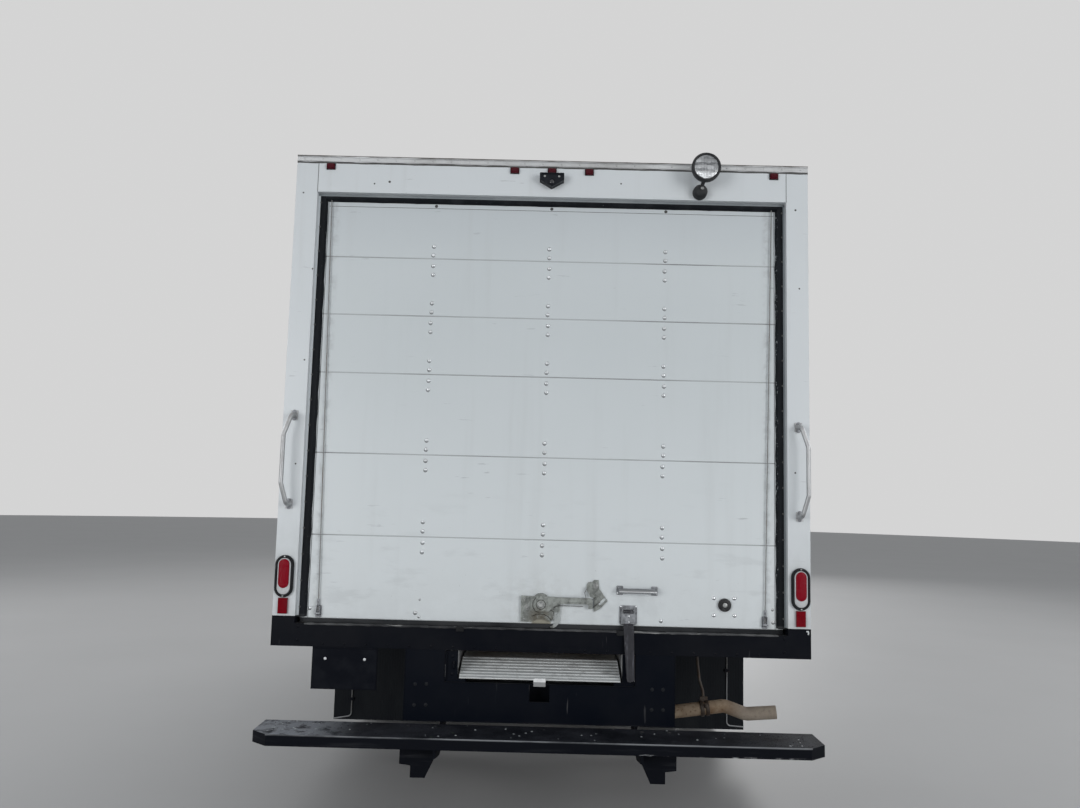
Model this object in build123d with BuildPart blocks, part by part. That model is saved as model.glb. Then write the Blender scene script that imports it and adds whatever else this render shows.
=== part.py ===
from build123d import *
import os
from math import atan2, cos, degrees, hypot, pi, radians, sin

# Box truck: a cutaway van cab and a dry-freight body on a ladder frame, with a roll-up
# rear door and a ramp that slides out from under the floor.
# Millimetres. +Y forward, +X to the kerb side, +Z up. The origin is on the ground below
# the middle of the truck's length and width.

os.makedirs("parts", exist_ok=True)

# ---- driving dimensions ------------------------------------------------------------------
BODY_WIDTH = 2438.0        # outside of the freight body
BODY_LENGTH = 4267.0       # rear frame to front wall
BODY_TOP = 3116.0          # roof edge above the ground
REAR_OVERHANG = 2250.0     # rear frame to rear axle
CAB_REACH = 1514.0         # front wall of the body to the front axle
FRONT_OVERHANG = 760.0     # front axle to bumper face
STEP_REACH = 241.0         # rear step beyond the rear frame
TYRE_DIAMETER = 770.0
TYRE_WIDTH = 222.0
RIM_RADIUS = 205.7         # bead seat of a 16 inch rim
TWIN_SPACING = 260.0       # between the centres of twin tyres
FRONT_TRACK = 1760.0
REAR_TRACK = 1922.0        # between the middles of the two twin sets
GAP = 0.3                  # seat clearance between pieces that carry each other
SHUT_GAP = 8.0             # round the doors and the hood
RUNNING = 0.05             # radial clearance of a shaft in its bore

# ---- stations along the truck ------------------------------------------------------------
OVERALL = STEP_REACH + BODY_LENGTH + CAB_REACH + FRONT_OVERHANG
REAR_Y = STEP_REACH - OVERALL / 2
REAR_AXLE_Y = REAR_Y + REAR_OVERHANG
BOX_FRONT_Y = REAR_Y + BODY_LENGTH
FRONT_AXLE_Y = BOX_FRONT_Y + CAB_REACH
FRONT_Y = OVERALL / 2
CAB_BACK = BOX_FRONT_Y + 25
AXLE_Z = TYRE_DIAMETER / 2
BODY_HALF = BODY_WIDTH / 2
SIDES = (("left", -1), ("right", 1))


def save(builder, name):
    """Label a finished piece and write its STEP file."""
    builder.part.label = name
    export_step(builder.part, f"parts/{name}.step")


def slab(x0, x1, y0, y1, z0, z1, mode=Mode.ADD):
    """Block between two opposite corners, in the part that is open."""
    with Locations(((x0 + x1) / 2, (y0 + y1) / 2, (z0 + z1) / 2)):
        Box(abs(x1 - x0), abs(y1 - y0), abs(z1 - z0), mode=mode)


def rod(start, end, radius, mode=Mode.ADD):
    """Round bar between two points, in the part that is open."""
    a = Vector(*start)
    b = Vector(*end)
    with BuildSketch(Plane(origin=a, z_dir=b - a)) as disc:
        Circle(radius)
    extrude(disc.sketch, amount=(b - a).length, mode=mode)


def facing_back(y):
    """Plane across the truck that looks rearwards: local x is +X, local y is +Z."""
    return Plane(origin=(0, y, 0), x_dir=(1, 0, 0), z_dir=(0, -1, 0))


def axle_plane(y):
    """Plane that holds an axle line: local x runs along the axle, local y is the radius."""
    return Plane(origin=(0, y, AXLE_Z), x_dir=(1, 0, 0), z_dir=(0, 0, 1))


def axle_line(y):
    return Axis((0, y, AXLE_Z), (1, 0, 0))


# ---- chassis frame: two channel rails and their crossmembers -----------------------------
RAIL_OUTER = 432.0
RAIL_TOP = 670.0
RAIL_HEIGHT = 150.0
RAIL_FLANGE = 64.0
RAIL_WALL = 6.0
RAIL_REAR_Y = REAR_Y + 40
RAIL_FRONT_Y = FRONT_Y - 110
CROSSMEMBER_HEIGHT = 90.0
CROSSMEMBER_WIDTH = 64.0
ENGINE_SUPPORT_Y = FRONT_AXLE_Y - 20
# crossmember stations, measured from the rear end of the rails
CROSSMEMBER_STEPS = (60, 900, 1500, 2950, 3750, RAIL_FRONT_Y - RAIL_REAR_Y - 70)

with BuildPart() as chassis_frame:
    for _, side in SIDES:
        with BuildSketch(facing_back(RAIL_FRONT_Y)):
            with BuildLine():
                web = side * RAIL_OUTER
                lip = side * (RAIL_OUTER - RAIL_FLANGE)
                inner = side * (RAIL_OUTER - RAIL_WALL)
                base = RAIL_TOP - RAIL_HEIGHT
                Polyline(
                    (web, base),
                    (web, RAIL_TOP),
                    (lip, RAIL_TOP),
                    (lip, RAIL_TOP - RAIL_WALL),
                    (inner, RAIL_TOP - RAIL_WALL),
                    (inner, base + RAIL_WALL),
                    (lip, base + RAIL_WALL),
                    (lip, base),
                    close=True,
                )
            make_face()
        extrude(amount=RAIL_FRONT_Y - RAIL_REAR_Y)
    reach = RAIL_OUTER - RAIL_WALL
    for step in CROSSMEMBER_STEPS:
        y = RAIL_REAR_Y + step
        low = RAIL_TOP - RAIL_WALL - CROSSMEMBER_HEIGHT
        with BuildSketch(Plane.YZ.offset(-reach)):
            with BuildLine():
                Polyline(
                    (y, low),
                    (y + CROSSMEMBER_WIDTH, low),
                    (y + CROSSMEMBER_WIDTH, low + RAIL_WALL),
                    (y + RAIL_WALL, low + RAIL_WALL),
                    (y + RAIL_WALL, RAIL_TOP - 2 * RAIL_WALL),
                    (y + CROSSMEMBER_WIDTH, RAIL_TOP - 2 * RAIL_WALL),
                    (y + CROSSMEMBER_WIDTH, RAIL_TOP - RAIL_WALL),
                    (y, RAIL_TOP - RAIL_WALL),
                    close=True,
                )
            make_face()
        extrude(amount=2 * reach)
    support_top = RAIL_TOP - RAIL_HEIGHT + 40
    slab(-reach, reach, ENGINE_SUPPORT_Y, ENGINE_SUPPORT_Y + 160, support_top - 34, support_top)
save(chassis_frame, "chassis_frame")

# ---- engine with its gearbox, and the radiator ahead of it -------------------------------
ENGINE_HALF = 270.0
ENGINE_REAR_Y = FRONT_AXLE_Y - 290
ENGINE_LENGTH = 640.0
ENGINE_HEIGHT = 520.0
GEARBOX_HALF = 140.0
GEARBOX_LENGTH = 900.0
GEARBOX_TOP = 660.0
GEARBOX_BOTTOM = 440.0
RADIATOR_Y = FRONT_Y - 230

with BuildPart() as engine:
    front = ENGINE_REAR_Y + ENGINE_LENGTH
    slab(-ENGINE_HALF, ENGINE_HALF, ENGINE_REAR_Y, front, support_top, support_top + ENGINE_HEIGHT)
    chamfer(engine.edges().filter_by(Axis.Y), 70)
    slab(-GEARBOX_HALF, GEARBOX_HALF, ENGINE_REAR_Y - GEARBOX_LENGTH, ENGINE_REAR_Y,
         GEARBOX_BOTTOM, GEARBOX_TOP)
    slab(-330, 330, RADIATOR_Y, RADIATOR_Y + 60, RAIL_TOP - RAIL_WALL, RAIL_TOP + 440)
save(engine, "engine")

# ---- fuel tank between the rails, behind the rear axle -----------------------------------
TANK_LENGTH = 900.0
TANK_HALF = 340.0
TANK_HEIGHT = 230.0
TANK_FRONT_Y = REAR_AXLE_Y - 420
TANK_TOP = RAIL_TOP - RAIL_WALL - CROSSMEMBER_HEIGHT - 30

with BuildPart() as fuel_tank:
    with BuildSketch(facing_back(TANK_FRONT_Y)):
        with Locations((0, TANK_TOP - TANK_HEIGHT / 2)):
            RectangleRounded(2 * TANK_HALF, TANK_HEIGHT, 55)
    extrude(amount=TANK_LENGTH)
    for y in (TANK_FRONT_Y - 180, TANK_FRONT_Y - TANK_LENGTH + 180):
        with BuildSketch(facing_back(y)):
            with Locations((0, TANK_TOP - TANK_HEIGHT / 2)):
                RectangleRounded(2 * TANK_HALF + 8, TANK_HEIGHT + 8, 59)
        extrude(amount=40)
        for _, side in SIDES:
            slab(side * (TANK_HALF - 10), side * (TANK_HALF + 4), y - 40, y,
                 TANK_TOP - TANK_HEIGHT / 2, RAIL_TOP - RAIL_HEIGHT)
            slab(side * (TANK_HALF - 10), side * (RAIL_OUTER - 8), y - 40, y,
                 RAIL_TOP - RAIL_HEIGHT - 12, RAIL_TOP - RAIL_HEIGHT)
save(fuel_tank, "fuel_tank")

# ---- rear axle, springs and propeller shaft ----------------------------------------------
AXLE_TUBE_RADIUS = 48.0
REAR_HUB_INNER = REAR_TRACK / 2 - 226     # inner face of the brake drum
REAR_SPINDLE_RADIUS = 36.0
SPRING_X = 500.0
SPRING_WIDTH = 64.0
SPRING_HALF = 640.0
SPRING_PIN_END = 526.0
LEAF = 11.0
LEAF_COUNT = 5
SEAT_Z = AXLE_Z + AXLE_TUBE_RADIUS + 14
BANJO_RADIUS = 165.0
PINION_REACH = 270.0

with BuildPart() as rear_axle:
    with BuildSketch(axle_plane(REAR_AXLE_Y)):
        with BuildLine():
            Polyline(
                (-REAR_HUB_INNER + 4, 0),
                (-REAR_HUB_INNER + 4, AXLE_TUBE_RADIUS),
                (-240, AXLE_TUBE_RADIUS),
                (-110, BANJO_RADIUS),
            )
            ThreePointArc((-110, BANJO_RADIUS), (0, BANJO_RADIUS + 14), (110, BANJO_RADIUS))
            Polyline(
                (110, BANJO_RADIUS),
                (240, AXLE_TUBE_RADIUS),
                (REAR_HUB_INNER - 4, AXLE_TUBE_RADIUS),
                (REAR_HUB_INNER - 4, 0),
                (-REAR_HUB_INNER + 4, 0),
            )
        make_face()
    revolve(axis=axle_line(REAR_AXLE_Y))
    rod((0, REAR_AXLE_Y + 60, AXLE_Z), (0, REAR_AXLE_Y + PINION_REACH, AXLE_Z), 66)
    for _, side in SIDES:
        rod((side * (REAR_HUB_INNER - 10), REAR_AXLE_Y, AXLE_Z),
            (side * (REAR_HUB_INNER + 150), REAR_AXLE_Y, AXLE_Z), REAR_SPINDLE_RADIUS)
        slab(side * (SPRING_X - 45), side * (SPRING_X + 45), REAR_AXLE_Y - 60, REAR_AXLE_Y + 60,
             AXLE_Z, SEAT_Z)
save(rear_axle, "rear_axle")

HANGER_Z = RAIL_TOP - RAIL_HEIGHT + 45

with BuildPart() as rear_springs:
    for _, side in SIDES:
        inner = side * (SPRING_X - SPRING_WIDTH / 2)
        for leaf in range(LEAF_COUNT):
            half = SPRING_HALF * (1 - 0.17 * leaf)
            sag = (HANGER_Z - 30 - SEAT_Z - LEAF_COUNT * LEAF) * (half / SPRING_HALF) ** 2
            low = SEAT_Z + (LEAF_COUNT - 1 - leaf) * LEAF
            with BuildSketch(Plane.YZ.offset(inner if side > 0 else inner - SPRING_WIDTH)):
                with BuildLine():
                    ThreePointArc(
                        (REAR_AXLE_Y - half, low + sag),
                        (REAR_AXLE_Y, low),
                        (REAR_AXLE_Y + half, low + sag),
                    )
                    Line((REAR_AXLE_Y + half, low + sag), (REAR_AXLE_Y + half, low + sag + LEAF))
                    ThreePointArc(
                        (REAR_AXLE_Y + half, low + sag + LEAF),
                        (REAR_AXLE_Y, low + LEAF),
                        (REAR_AXLE_Y - half, low + sag + LEAF),
                    )
                    Line((REAR_AXLE_Y - half, low + sag + LEAF), (REAR_AXLE_Y - half, low + sag))
                make_face()
            extrude(amount=SPRING_WIDTH)
        top = SEAT_Z + LEAF_COUNT * LEAF
        slab(side * (SPRING_X - 44), side * (SPRING_X + 44), REAR_AXLE_Y - 50, REAR_AXLE_Y + 50,
             top - 3, top + 16)
        for y in (REAR_AXLE_Y - SPRING_HALF, REAR_AXLE_Y + SPRING_HALF):
            rod((side * RAIL_OUTER, y, HANGER_Z - 24), (side * SPRING_PIN_END, y, HANGER_Z - 24), 20)
            slab(side * RAIL_OUTER, side * (RAIL_OUTER + 12), y - 50, y + 50, HANGER_Z - 60, HANGER_Z + 70)
save(rear_springs, "rear_springs")

SHAFT_RADIUS = 44.0
YOKE_LENGTH = 110.0
SHAFT_FRONT_Y = ENGINE_REAR_Y - GEARBOX_LENGTH - GAP
SHAFT_REAR_Y = REAR_AXLE_Y + PINION_REACH + GAP

with BuildPart() as propeller_shaft:
    front_z = (GEARBOX_TOP + GEARBOX_BOTTOM) / 2
    rod((0, SHAFT_FRONT_Y, front_z), (0, SHAFT_FRONT_Y - YOKE_LENGTH, front_z), SHAFT_RADIUS + 12)
    rod((0, SHAFT_REAR_Y, AXLE_Z), (0, SHAFT_REAR_Y + YOKE_LENGTH, AXLE_Z), SHAFT_RADIUS + 12)
    rod((0, SHAFT_FRONT_Y - YOKE_LENGTH + 30, front_z), (0, SHAFT_REAR_Y + YOKE_LENGTH - 30, AXLE_Z),
        SHAFT_RADIUS)
save(propeller_shaft, "propeller_shaft")

# ---- exhaust: pipe, silencer and the tail pipe that turns out behind the rear wheels -----
PIPE_RADIUS = 31.0
PIPE_WALL = 3.0
TAIL_BORE = 60.0
PIPE_X = 564.0
TAIL_Y = REAR_Y + 285
TAIL_END_X = BODY_HALF - 93
SILENCER_LENGTH = 620.0
SILENCER_FRONT_Y = REAR_AXLE_Y + 1650
OVER_AXLE_Z = 590.0

with BuildPart() as exhaust:
    with BuildLine() as tail_path:
        FilletPolyline(
            (PIPE_X, SILENCER_FRONT_Y - SILENCER_LENGTH + 5, 500),
            (PIPE_X, REAR_AXLE_Y + 500, 500),
            (PIPE_X, REAR_AXLE_Y + 260, OVER_AXLE_Z),
            (PIPE_X, REAR_AXLE_Y - 330, OVER_AXLE_Z),
            (PIPE_X, TAIL_Y + 560, 505),
            (PIPE_X + 10, TAIL_Y, 500),
            (TAIL_END_X - 240, TAIL_Y, 544),
            (TAIL_END_X - 141, TAIL_Y - 14, 512),
            (TAIL_END_X, TAIL_Y - 34, 528),
            radius=60,
        )
    with BuildSketch(Plane(origin=tail_path.line @ 0, z_dir=tail_path.line % 0)):
        Circle(PIPE_RADIUS)
    sweep(path=tail_path.line)
    with BuildSketch(Plane(origin=tail_path.line @ 1, z_dir=tail_path.line % 1)):
        Circle(PIPE_RADIUS - PIPE_WALL)
    extrude(amount=-TAIL_BORE, mode=Mode.SUBTRACT)
    with BuildSketch(facing_back(SILENCER_FRONT_Y)):
        with Locations((PIPE_X, 500)):
            Ellipse(115, 85)
    extrude(amount=SILENCER_LENGTH)
    with BuildLine() as front_path:
        FilletPolyline(
            (PIPE_X, SILENCER_FRONT_Y - 5, 480),
            (PIPE_X, ENGINE_REAR_Y - 170, 480),
            (GEARBOX_HALF + GAP, ENGINE_REAR_Y - 170, 480),
            radius=90,
        )
    with BuildSketch(Plane(origin=front_path.line @ 0, z_dir=front_path.line % 0)):
        Circle(PIPE_RADIUS)
    sweep(path=front_path.line)
save(exhaust, "exhaust")

# ---- wheels: one tyre profile and one rim profile, turned about their axles --------------
TYRE_RADIUS = TYRE_DIAMETER / 2
BEAD_HALF = 80.0
RIM_HALF = 86.0
FLANGE_HEIGHT = 13.0
DISC_OFFSET = TWIN_SPACING / 2


def tyre(y, x):
    """Solid of one tyre, its tread crowned and its sidewalls bowed."""
    half = TYRE_WIDTH / 2
    bead = RIM_RADIUS + GAP
    with BuildSketch(axle_plane(y)) as profile:
        with BuildLine():
            for s in (-1, 1):
                Line((x + s * BEAD_HALF, bead), (x + s * BEAD_HALF, bead + FLANGE_HEIGHT + 4))
                ThreePointArc(
                    (x + s * BEAD_HALF, bead + FLANGE_HEIGHT + 4),
                    (x + s * half, (bead + TYRE_RADIUS) / 2 - 3),
                    (x + s * (half - 12), TYRE_RADIUS - 24),
                )
                ThreePointArc(
                    (x + s * (half - 12), TYRE_RADIUS - 24),
                    (x + s * (half - 18), TYRE_RADIUS - 9),
                    (x + s * (half - 34), TYRE_RADIUS - 4),
                )
            ThreePointArc(
                (x + half - 34, TYRE_RADIUS - 4),
                (x, TYRE_RADIUS),
                (x - half + 34, TYRE_RADIUS - 4),
            )
            Line((x - BEAD_HALF, bead), (x + BEAD_HALF, bead))
        make_face()
    revolve(profile.sketch, axis=axle_line(y))


def rim(y, x, out):
    """Steel rim about its tyre's centre plane, its disc dished towards out."""
    with BuildSketch(axle_plane(y)) as profile:
        with BuildLine():
            Polyline(
                (x - out * RIM_HALF, RIM_RADIUS + FLANGE_HEIGHT),
                (x - out * (RIM_HALF - 5), RIM_RADIUS + FLANGE_HEIGHT),
                (x - out * (BEAD_HALF + GAP), RIM_RADIUS),
                (x + out * (BEAD_HALF + GAP), RIM_RADIUS),
                (x + out * (RIM_HALF - 5), RIM_RADIUS + FLANGE_HEIGHT),
                (x + out * RIM_HALF, RIM_RADIUS + FLANGE_HEIGHT),
                (x + out * RIM_HALF, RIM_RADIUS - 7),
                (x + out * 62, RIM_RADIUS - 10),
                (x + out * 52, RIM_RADIUS - 22),
                (x + out * (DISC_OFFSET - 14), 128),
                (x + out * DISC_OFFSET, 118),
                (x + out * DISC_OFFSET, 62),
                (x + out * (DISC_OFFSET - 11), 62),
                (x + out * (DISC_OFFSET - 11), 116),
                (x + out * (DISC_OFFSET - 26), 122),
                (x + out * 38, RIM_RADIUS - 22),
                (x + out * 30, RIM_RADIUS - 10),
                (x - out * RIM_HALF, RIM_RADIUS - 7),
                close=True,
            )
        make_face()
    revolve(profile.sketch, axis=axle_line(y))
    holes = Plane(origin=(x, y, AXLE_Z), x_dir=(0, 1, 0), z_dir=(out, 0, 0))
    with BuildSketch(holes.offset(40)) as vents:
        with PolarLocations(152, 8):
            Circle(17)
    extrude(vents.sketch, amount=120, mode=Mode.SUBTRACT)


# ---- rear wheels: twin tyres on each side, with their drum and hub -----------------------
for name, side in SIDES:
    inner_x = side * (REAR_TRACK - TWIN_SPACING) / 2
    outer_x = side * (REAR_TRACK + TWIN_SPACING) / 2
    with BuildPart() as rear_tyres:
        tyre(REAR_AXLE_Y, inner_x)
        tyre(REAR_AXLE_Y, outer_x)
    save(rear_tyres, f"rear_tyres_{name}")

    face = REAR_TRACK / 2
    with BuildPart() as rear_wheels:
        rim(REAR_AXLE_Y, inner_x, side)
        rim(REAR_AXLE_Y, outer_x, -side)
        with BuildSketch(axle_plane(REAR_AXLE_Y)):
            with BuildLine():
                Polyline(
                    (side * REAR_HUB_INNER, REAR_SPINDLE_RADIUS + RUNNING),
                    (side * REAR_HUB_INNER, 168),
                    (side * (face - 60), 168),
                    (side * (face - 60), 100),
                    (side * (face - DISC_OFFSET / 10), 100),
                    (side * (face - DISC_OFFSET / 10), 62.5),
                    (side * (face + 95), 58),
                    (side * (face + 100), 52),
                    (side * (face + 100), 0),
                    (side * (REAR_HUB_INNER + 156), 0),
                    (side * (REAR_HUB_INNER + 156), REAR_SPINDLE_RADIUS + RUNNING),
                    close=True,
                )
            make_face()
        revolve(axis=axle_line(REAR_AXLE_Y))
    save(rear_wheels, f"rear_wheels_{name}")

# ---- front axle beam, kingpins, knuckles and wheels --------------------------------------
KINGPIN_X = 800.0
KINGPIN_RADIUS = 16.0
BOSS_RADIUS = 34.0
BOSS_HALF = 52.0
EAR = 30.0
FRONT_SPINDLE_RADIUS = 30.0
SPINDLE_END = FRONT_TRACK / 2 + 95
COIL_X = 520.0
COIL_RADIUS = 58.0
BEAM_Z = AXLE_Z - 70

with BuildPart() as front_axle:
    with BuildSketch(Plane.XZ.offset(-FRONT_AXLE_Y)):
        with BuildLine():
            Polyline(
                (-KINGPIN_X, AXLE_Z + 32),
                (-KINGPIN_X + 70, AXLE_Z + 32),
                (-430, BEAM_Z + 40),
                (430, BEAM_Z + 40),
                (KINGPIN_X - 70, AXLE_Z + 32),
                (KINGPIN_X, AXLE_Z + 32),
                (KINGPIN_X, AXLE_Z - 32),
                (KINGPIN_X - 80, AXLE_Z - 32),
                (440, BEAM_Z - 40),
                (-440, BEAM_Z - 40),
                (-KINGPIN_X + 80, AXLE_Z - 32),
                (-KINGPIN_X, AXLE_Z - 32),
                close=True,
            )
        make_face()
    extrude(amount=28, both=True)
    for _, side in SIDES:
        foot = (side * KINGPIN_X, FRONT_AXLE_Y, AXLE_Z - BOSS_HALF)
        head = (side * KINGPIN_X, FRONT_AXLE_Y, AXLE_Z + BOSS_HALF)
        rod(foot, head, BOSS_RADIUS)
        rod(foot, head, KINGPIN_RADIUS + RUNNING, mode=Mode.SUBTRACT)
        rod((side * COIL_X, FRONT_AXLE_Y, AXLE_Z - 20), (side * COIL_X, FRONT_AXLE_Y, RAIL_TOP - 70),
            COIL_RADIUS)
        slab(side * RAIL_OUTER, side * (COIL_X + 62), FRONT_AXLE_Y - 70, FRONT_AXLE_Y + 70,
             RAIL_TOP - 75, RAIL_TOP - 60)
save(front_axle, "front_axle")

for name, side in SIDES:
    x = side * KINGPIN_X
    with BuildPart() as knuckle:
        for s in (-1, 1):
            rod((x, FRONT_AXLE_Y, AXLE_Z + s * (BOSS_HALF + GAP)),
                (x, FRONT_AXLE_Y, AXLE_Z + s * (BOSS_HALF + EAR)), BOSS_RADIUS)
            slab(x, x + side * 62, FRONT_AXLE_Y - BOSS_RADIUS, FRONT_AXLE_Y + BOSS_RADIUS,
                 AXLE_Z + s * (BOSS_HALF + GAP), AXLE_Z + s * (BOSS_HALF + EAR))
        slab(x + side * (BOSS_RADIUS + 8), x + side * 62, FRONT_AXLE_Y - 50, FRONT_AXLE_Y + 50,
             AXLE_Z - BOSS_HALF - EAR, AXLE_Z + BOSS_HALF + EAR)
        rod((x, FRONT_AXLE_Y, AXLE_Z - BOSS_HALF - EAR), (x, FRONT_AXLE_Y, AXLE_Z + BOSS_HALF + EAR),
            KINGPIN_RADIUS)
        rod((x + side * 50, FRONT_AXLE_Y, AXLE_Z), (side * SPINDLE_END, FRONT_AXLE_Y, AXLE_Z),
            FRONT_SPINDLE_RADIUS)
    save(knuckle, f"knuckle_{name}")

    centre = side * FRONT_TRACK / 2
    with BuildPart() as front_tyre:
        tyre(FRONT_AXLE_Y, centre)
    save(front_tyre, f"front_tyre_{name}")

    flange = centre + side * (DISC_OFFSET - 11)
    rotor = x + side * 68
    bore = FRONT_SPINDLE_RADIUS + RUNNING
    with BuildPart() as front_wheel:
        rim(FRONT_AXLE_Y, centre, side)
        with BuildSketch(axle_plane(FRONT_AXLE_Y)):
            with BuildLine():
                Polyline(
                    (rotor, bore),
                    (rotor, 152),
                    (rotor + side * 26, 152),
                    (rotor + side * 26, 66),
                    (flange - side * 14, 66),
                    (flange - side * 14, 112),
                    (flange, 112),
                    (flange, 62.5),
                    (flange + side * 40, 56),
                    (flange + side * 46, 50),
                    (flange + side * 46, 0),
                    (side * (SPINDLE_END + 6), 0),
                    (side * (SPINDLE_END + 6), bore),
                    close=True,
                )
            make_face()
        revolve(axis=axle_line(FRONT_AXLE_Y))
    save(front_wheel, f"front_wheel_{name}")

# ---- cab: one outer form and one inner form, cut into the panels that meet ---------------
CAB_HALF = 1000.0
CAB_WALL = 45.0
CAB_BOTTOM = 520.0
BELT_Z = 1330.0
ROOF_HALF = 800.0
ROOF_Z = 2085.0
ROOF_FRONT_Y = CAB_BACK + 800
COWL_Y = FRONT_AXLE_Y - 200
COWL_Z = 1430.0
HOOD_FRONT_Y = FRONT_Y - 140
HOOD_FRONT_Z = 1175.0
NOSE_Y = FRONT_Y - 62
DOOR_REAR_Y = CAB_BACK + 120
DOOR_FRONT_Y = FRONT_AXLE_Y - 405
DOOR_BOTTOM = 620.0
DOOR_TOP = 1968.0
ARCH_RADIUS = 445.0
CAB_FLOOR_Z = 690.0
CAB_FLOOR_THICK = 40.0
HOOD_HALF = 840.0
NOSE_DEPTH = 85.0


def cab_form(inset, bottom):
    """Outer form of the cab, or its inside when inset by the wall."""
    with BuildPart() as form:
        with BuildSketch(Plane.YZ):
            with BuildLine():
                Polyline(
                    (CAB_BACK + inset, bottom),
                    (CAB_BACK + inset, ROOF_Z - 30 - inset),
                    (CAB_BACK + 330, ROOF_Z - inset),
                    (ROOF_FRONT_Y - 100, ROOF_Z - 8 - inset),
                )
                ThreePointArc(
                    (ROOF_FRONT_Y - 100, ROOF_Z - 8 - inset),
                    (ROOF_FRONT_Y - 16 - inset * 0.3, ROOF_Z - 34 - inset),
                    (ROOF_FRONT_Y + 60 - inset * 0.6, ROOF_Z - 98 - inset * 0.8),
                )
                Polyline(
                    (ROOF_FRONT_Y + 60 - inset * 0.6, ROOF_Z - 98 - inset * 0.8),
                    (COWL_Y - inset * 0.6, COWL_Z - inset * 0.8),
                    (HOOD_FRONT_Y - 150, HOOD_FRONT_Z + 52 - inset),
                )
                ThreePointArc(
                    (HOOD_FRONT_Y - 150, HOOD_FRONT_Z + 52 - inset),
                    (HOOD_FRONT_Y - inset * 0.5, HOOD_FRONT_Z - inset * 0.8),
                    (NOSE_Y - inset, HOOD_FRONT_Z - 90 - inset * 0.5),
                )
                Polyline(
                    (NOSE_Y - inset, HOOD_FRONT_Z - 90 - inset * 0.5),
                    (NOSE_Y - inset, bottom),
                    (CAB_BACK + inset, bottom),
                )
            make_face()
        extrude(amount=BODY_HALF, both=True)
        with BuildSketch(Plane.XZ):
            with BuildLine():
                for s in (-1, 1):
                    Polyline(
                        (0, bottom),
                        (s * (CAB_HALF - inset), bottom),
                        (s * (CAB_HALF - inset), BELT_Z),
                        (s * (ROOF_HALF + 80 - inset), ROOF_Z - 110 - inset * 0.3),
                    )
                    ThreePointArc(
                        (s * (ROOF_HALF + 80 - inset), ROOF_Z - 110 - inset * 0.3),
                        (s * (ROOF_HALF + 46 - inset * 0.8), ROOF_Z - 42 - inset * 0.7),
                        (s * (ROOF_HALF - 40 - inset * 0.4), ROOF_Z - 12 - inset),
                    )
                ThreePointArc(
                    (ROOF_HALF - 40 - inset * 0.4, ROOF_Z - 12 - inset),
                    (0, ROOF_Z + 4 - inset),
                    (-ROOF_HALF + 40 + inset * 0.4, ROOF_Z - 12 - inset),
                )
            make_face()
        extrude(amount=2 * OVERALL, both=True, mode=Mode.INTERSECT)
        with BuildSketch(Plane.XY):
            with BuildLine():
                for s in (-1, 1):
                    Polyline(
                        (0, CAB_BACK - inset),
                        (s * (CAB_HALF - inset), CAB_BACK - inset),
                        (s * (CAB_HALF - inset), NOSE_Y - 330),
                    )
                    ThreePointArc(
                        (s * (CAB_HALF - inset), NOSE_Y - 330),
                        (s * (CAB_HALF - 22 - inset), NOSE_Y - 130 - inset * 0.5),
                        (s * (CAB_HALF - 130 - inset * 0.6), NOSE_Y - 22 - inset),
                    )
                ThreePointArc(
                    (CAB_HALF - 130 - inset * 0.6, NOSE_Y - 22 - inset),
                    (0, NOSE_Y - inset),
                    (-CAB_HALF + 130 + inset * 0.6, NOSE_Y - 22 - inset),
                )
            make_face()
        extrude(amount=2 * BODY_TOP, both=True, mode=Mode.INTERSECT)
    return form.part


CAB_OUTER = cab_form(0, CAB_BOTTOM)
CAB_INNER = cab_form(CAB_WALL, CAB_BOTTOM - 100)

with BuildPart() as cab_skin:
    add(CAB_OUTER)
    add(CAB_INNER, mode=Mode.SUBTRACT)
CAB_SKIN = cab_skin.part


SCREEN_TOP_Y = ROOF_FRONT_Y + 60
SCREEN_TOP_Z = ROOF_Z - 98
SCREEN_LEAN = (COWL_Y - SCREEN_TOP_Y) / (SCREEN_TOP_Z - COWL_Z)
PILLAR_BACK = 110.0
WINDOW_SILL = 1370.0
WINDOW_FRAME = 62.0
GLASS = 5.0


def screen_y(z):
    """Station of the windscreen's outer face at a height."""
    return COWL_Y - (z - COWL_Z) * SCREEN_LEAN


def screen_z(y):
    """Height of the windscreen's outer face at a station."""
    return COWL_Z + (COWL_Y - y) / SCREEN_LEAN


def door_outline(grow, low):
    """Side view of a cab door, grown all round by an amount, down to a height."""
    front = DOOR_FRONT_Y + grow
    high = DOOR_TOP + grow
    back = PILLAR_BACK - grow * hypot(1, SCREEN_LEAN)
    with BuildLine() as outline:
        Polyline(
            (DOOR_REAR_Y - grow, low),
            (front, low),
            (front, screen_z(front + back)),
            (screen_y(high) - back, high),
            (DOOR_REAR_Y - grow, high),
            close=True,
        )
    make_face(outline.edges())


HINGE_X = CAB_HALF - 17
HINGE_SET = 14.0           # hinge axis ahead of the post's edge
HINGE_Y = DOOR_FRONT_Y + SHUT_GAP + HINGE_SET
HINGE_HEIGHTS = (820.0, 1240.0)
HINGE_RADIUS = 11.0
HINGE_PIN = 5.0
HINGE_HALF = 45.0
HINGE_EYE_HALF = 22.0
POST_FRONT_Y = DOOR_FRONT_Y + SHUT_GAP + 46
BULKHEAD_Y = POST_FRONT_Y + 2
COWL_EDGE_Y = COWL_Y + 12
HOOD_REAR_Y = COWL_EDGE_Y + 22
HOOD_SLOPE = (COWL_Z - HOOD_FRONT_Z - 52) / (HOOD_FRONT_Y - 150 - COWL_Y)
HOOD_HINGE_Y = HOOD_REAR_Y - 8
HOOD_HINGE_Z = COWL_Z - HOOD_SLOPE * (HOOD_HINGE_Y - COWL_Y) - 12
HOOD_HINGE_X = 620.0
HOOD_EYE_HALF = 15.0
SCREEN_WIDTH = 1700.0


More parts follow.
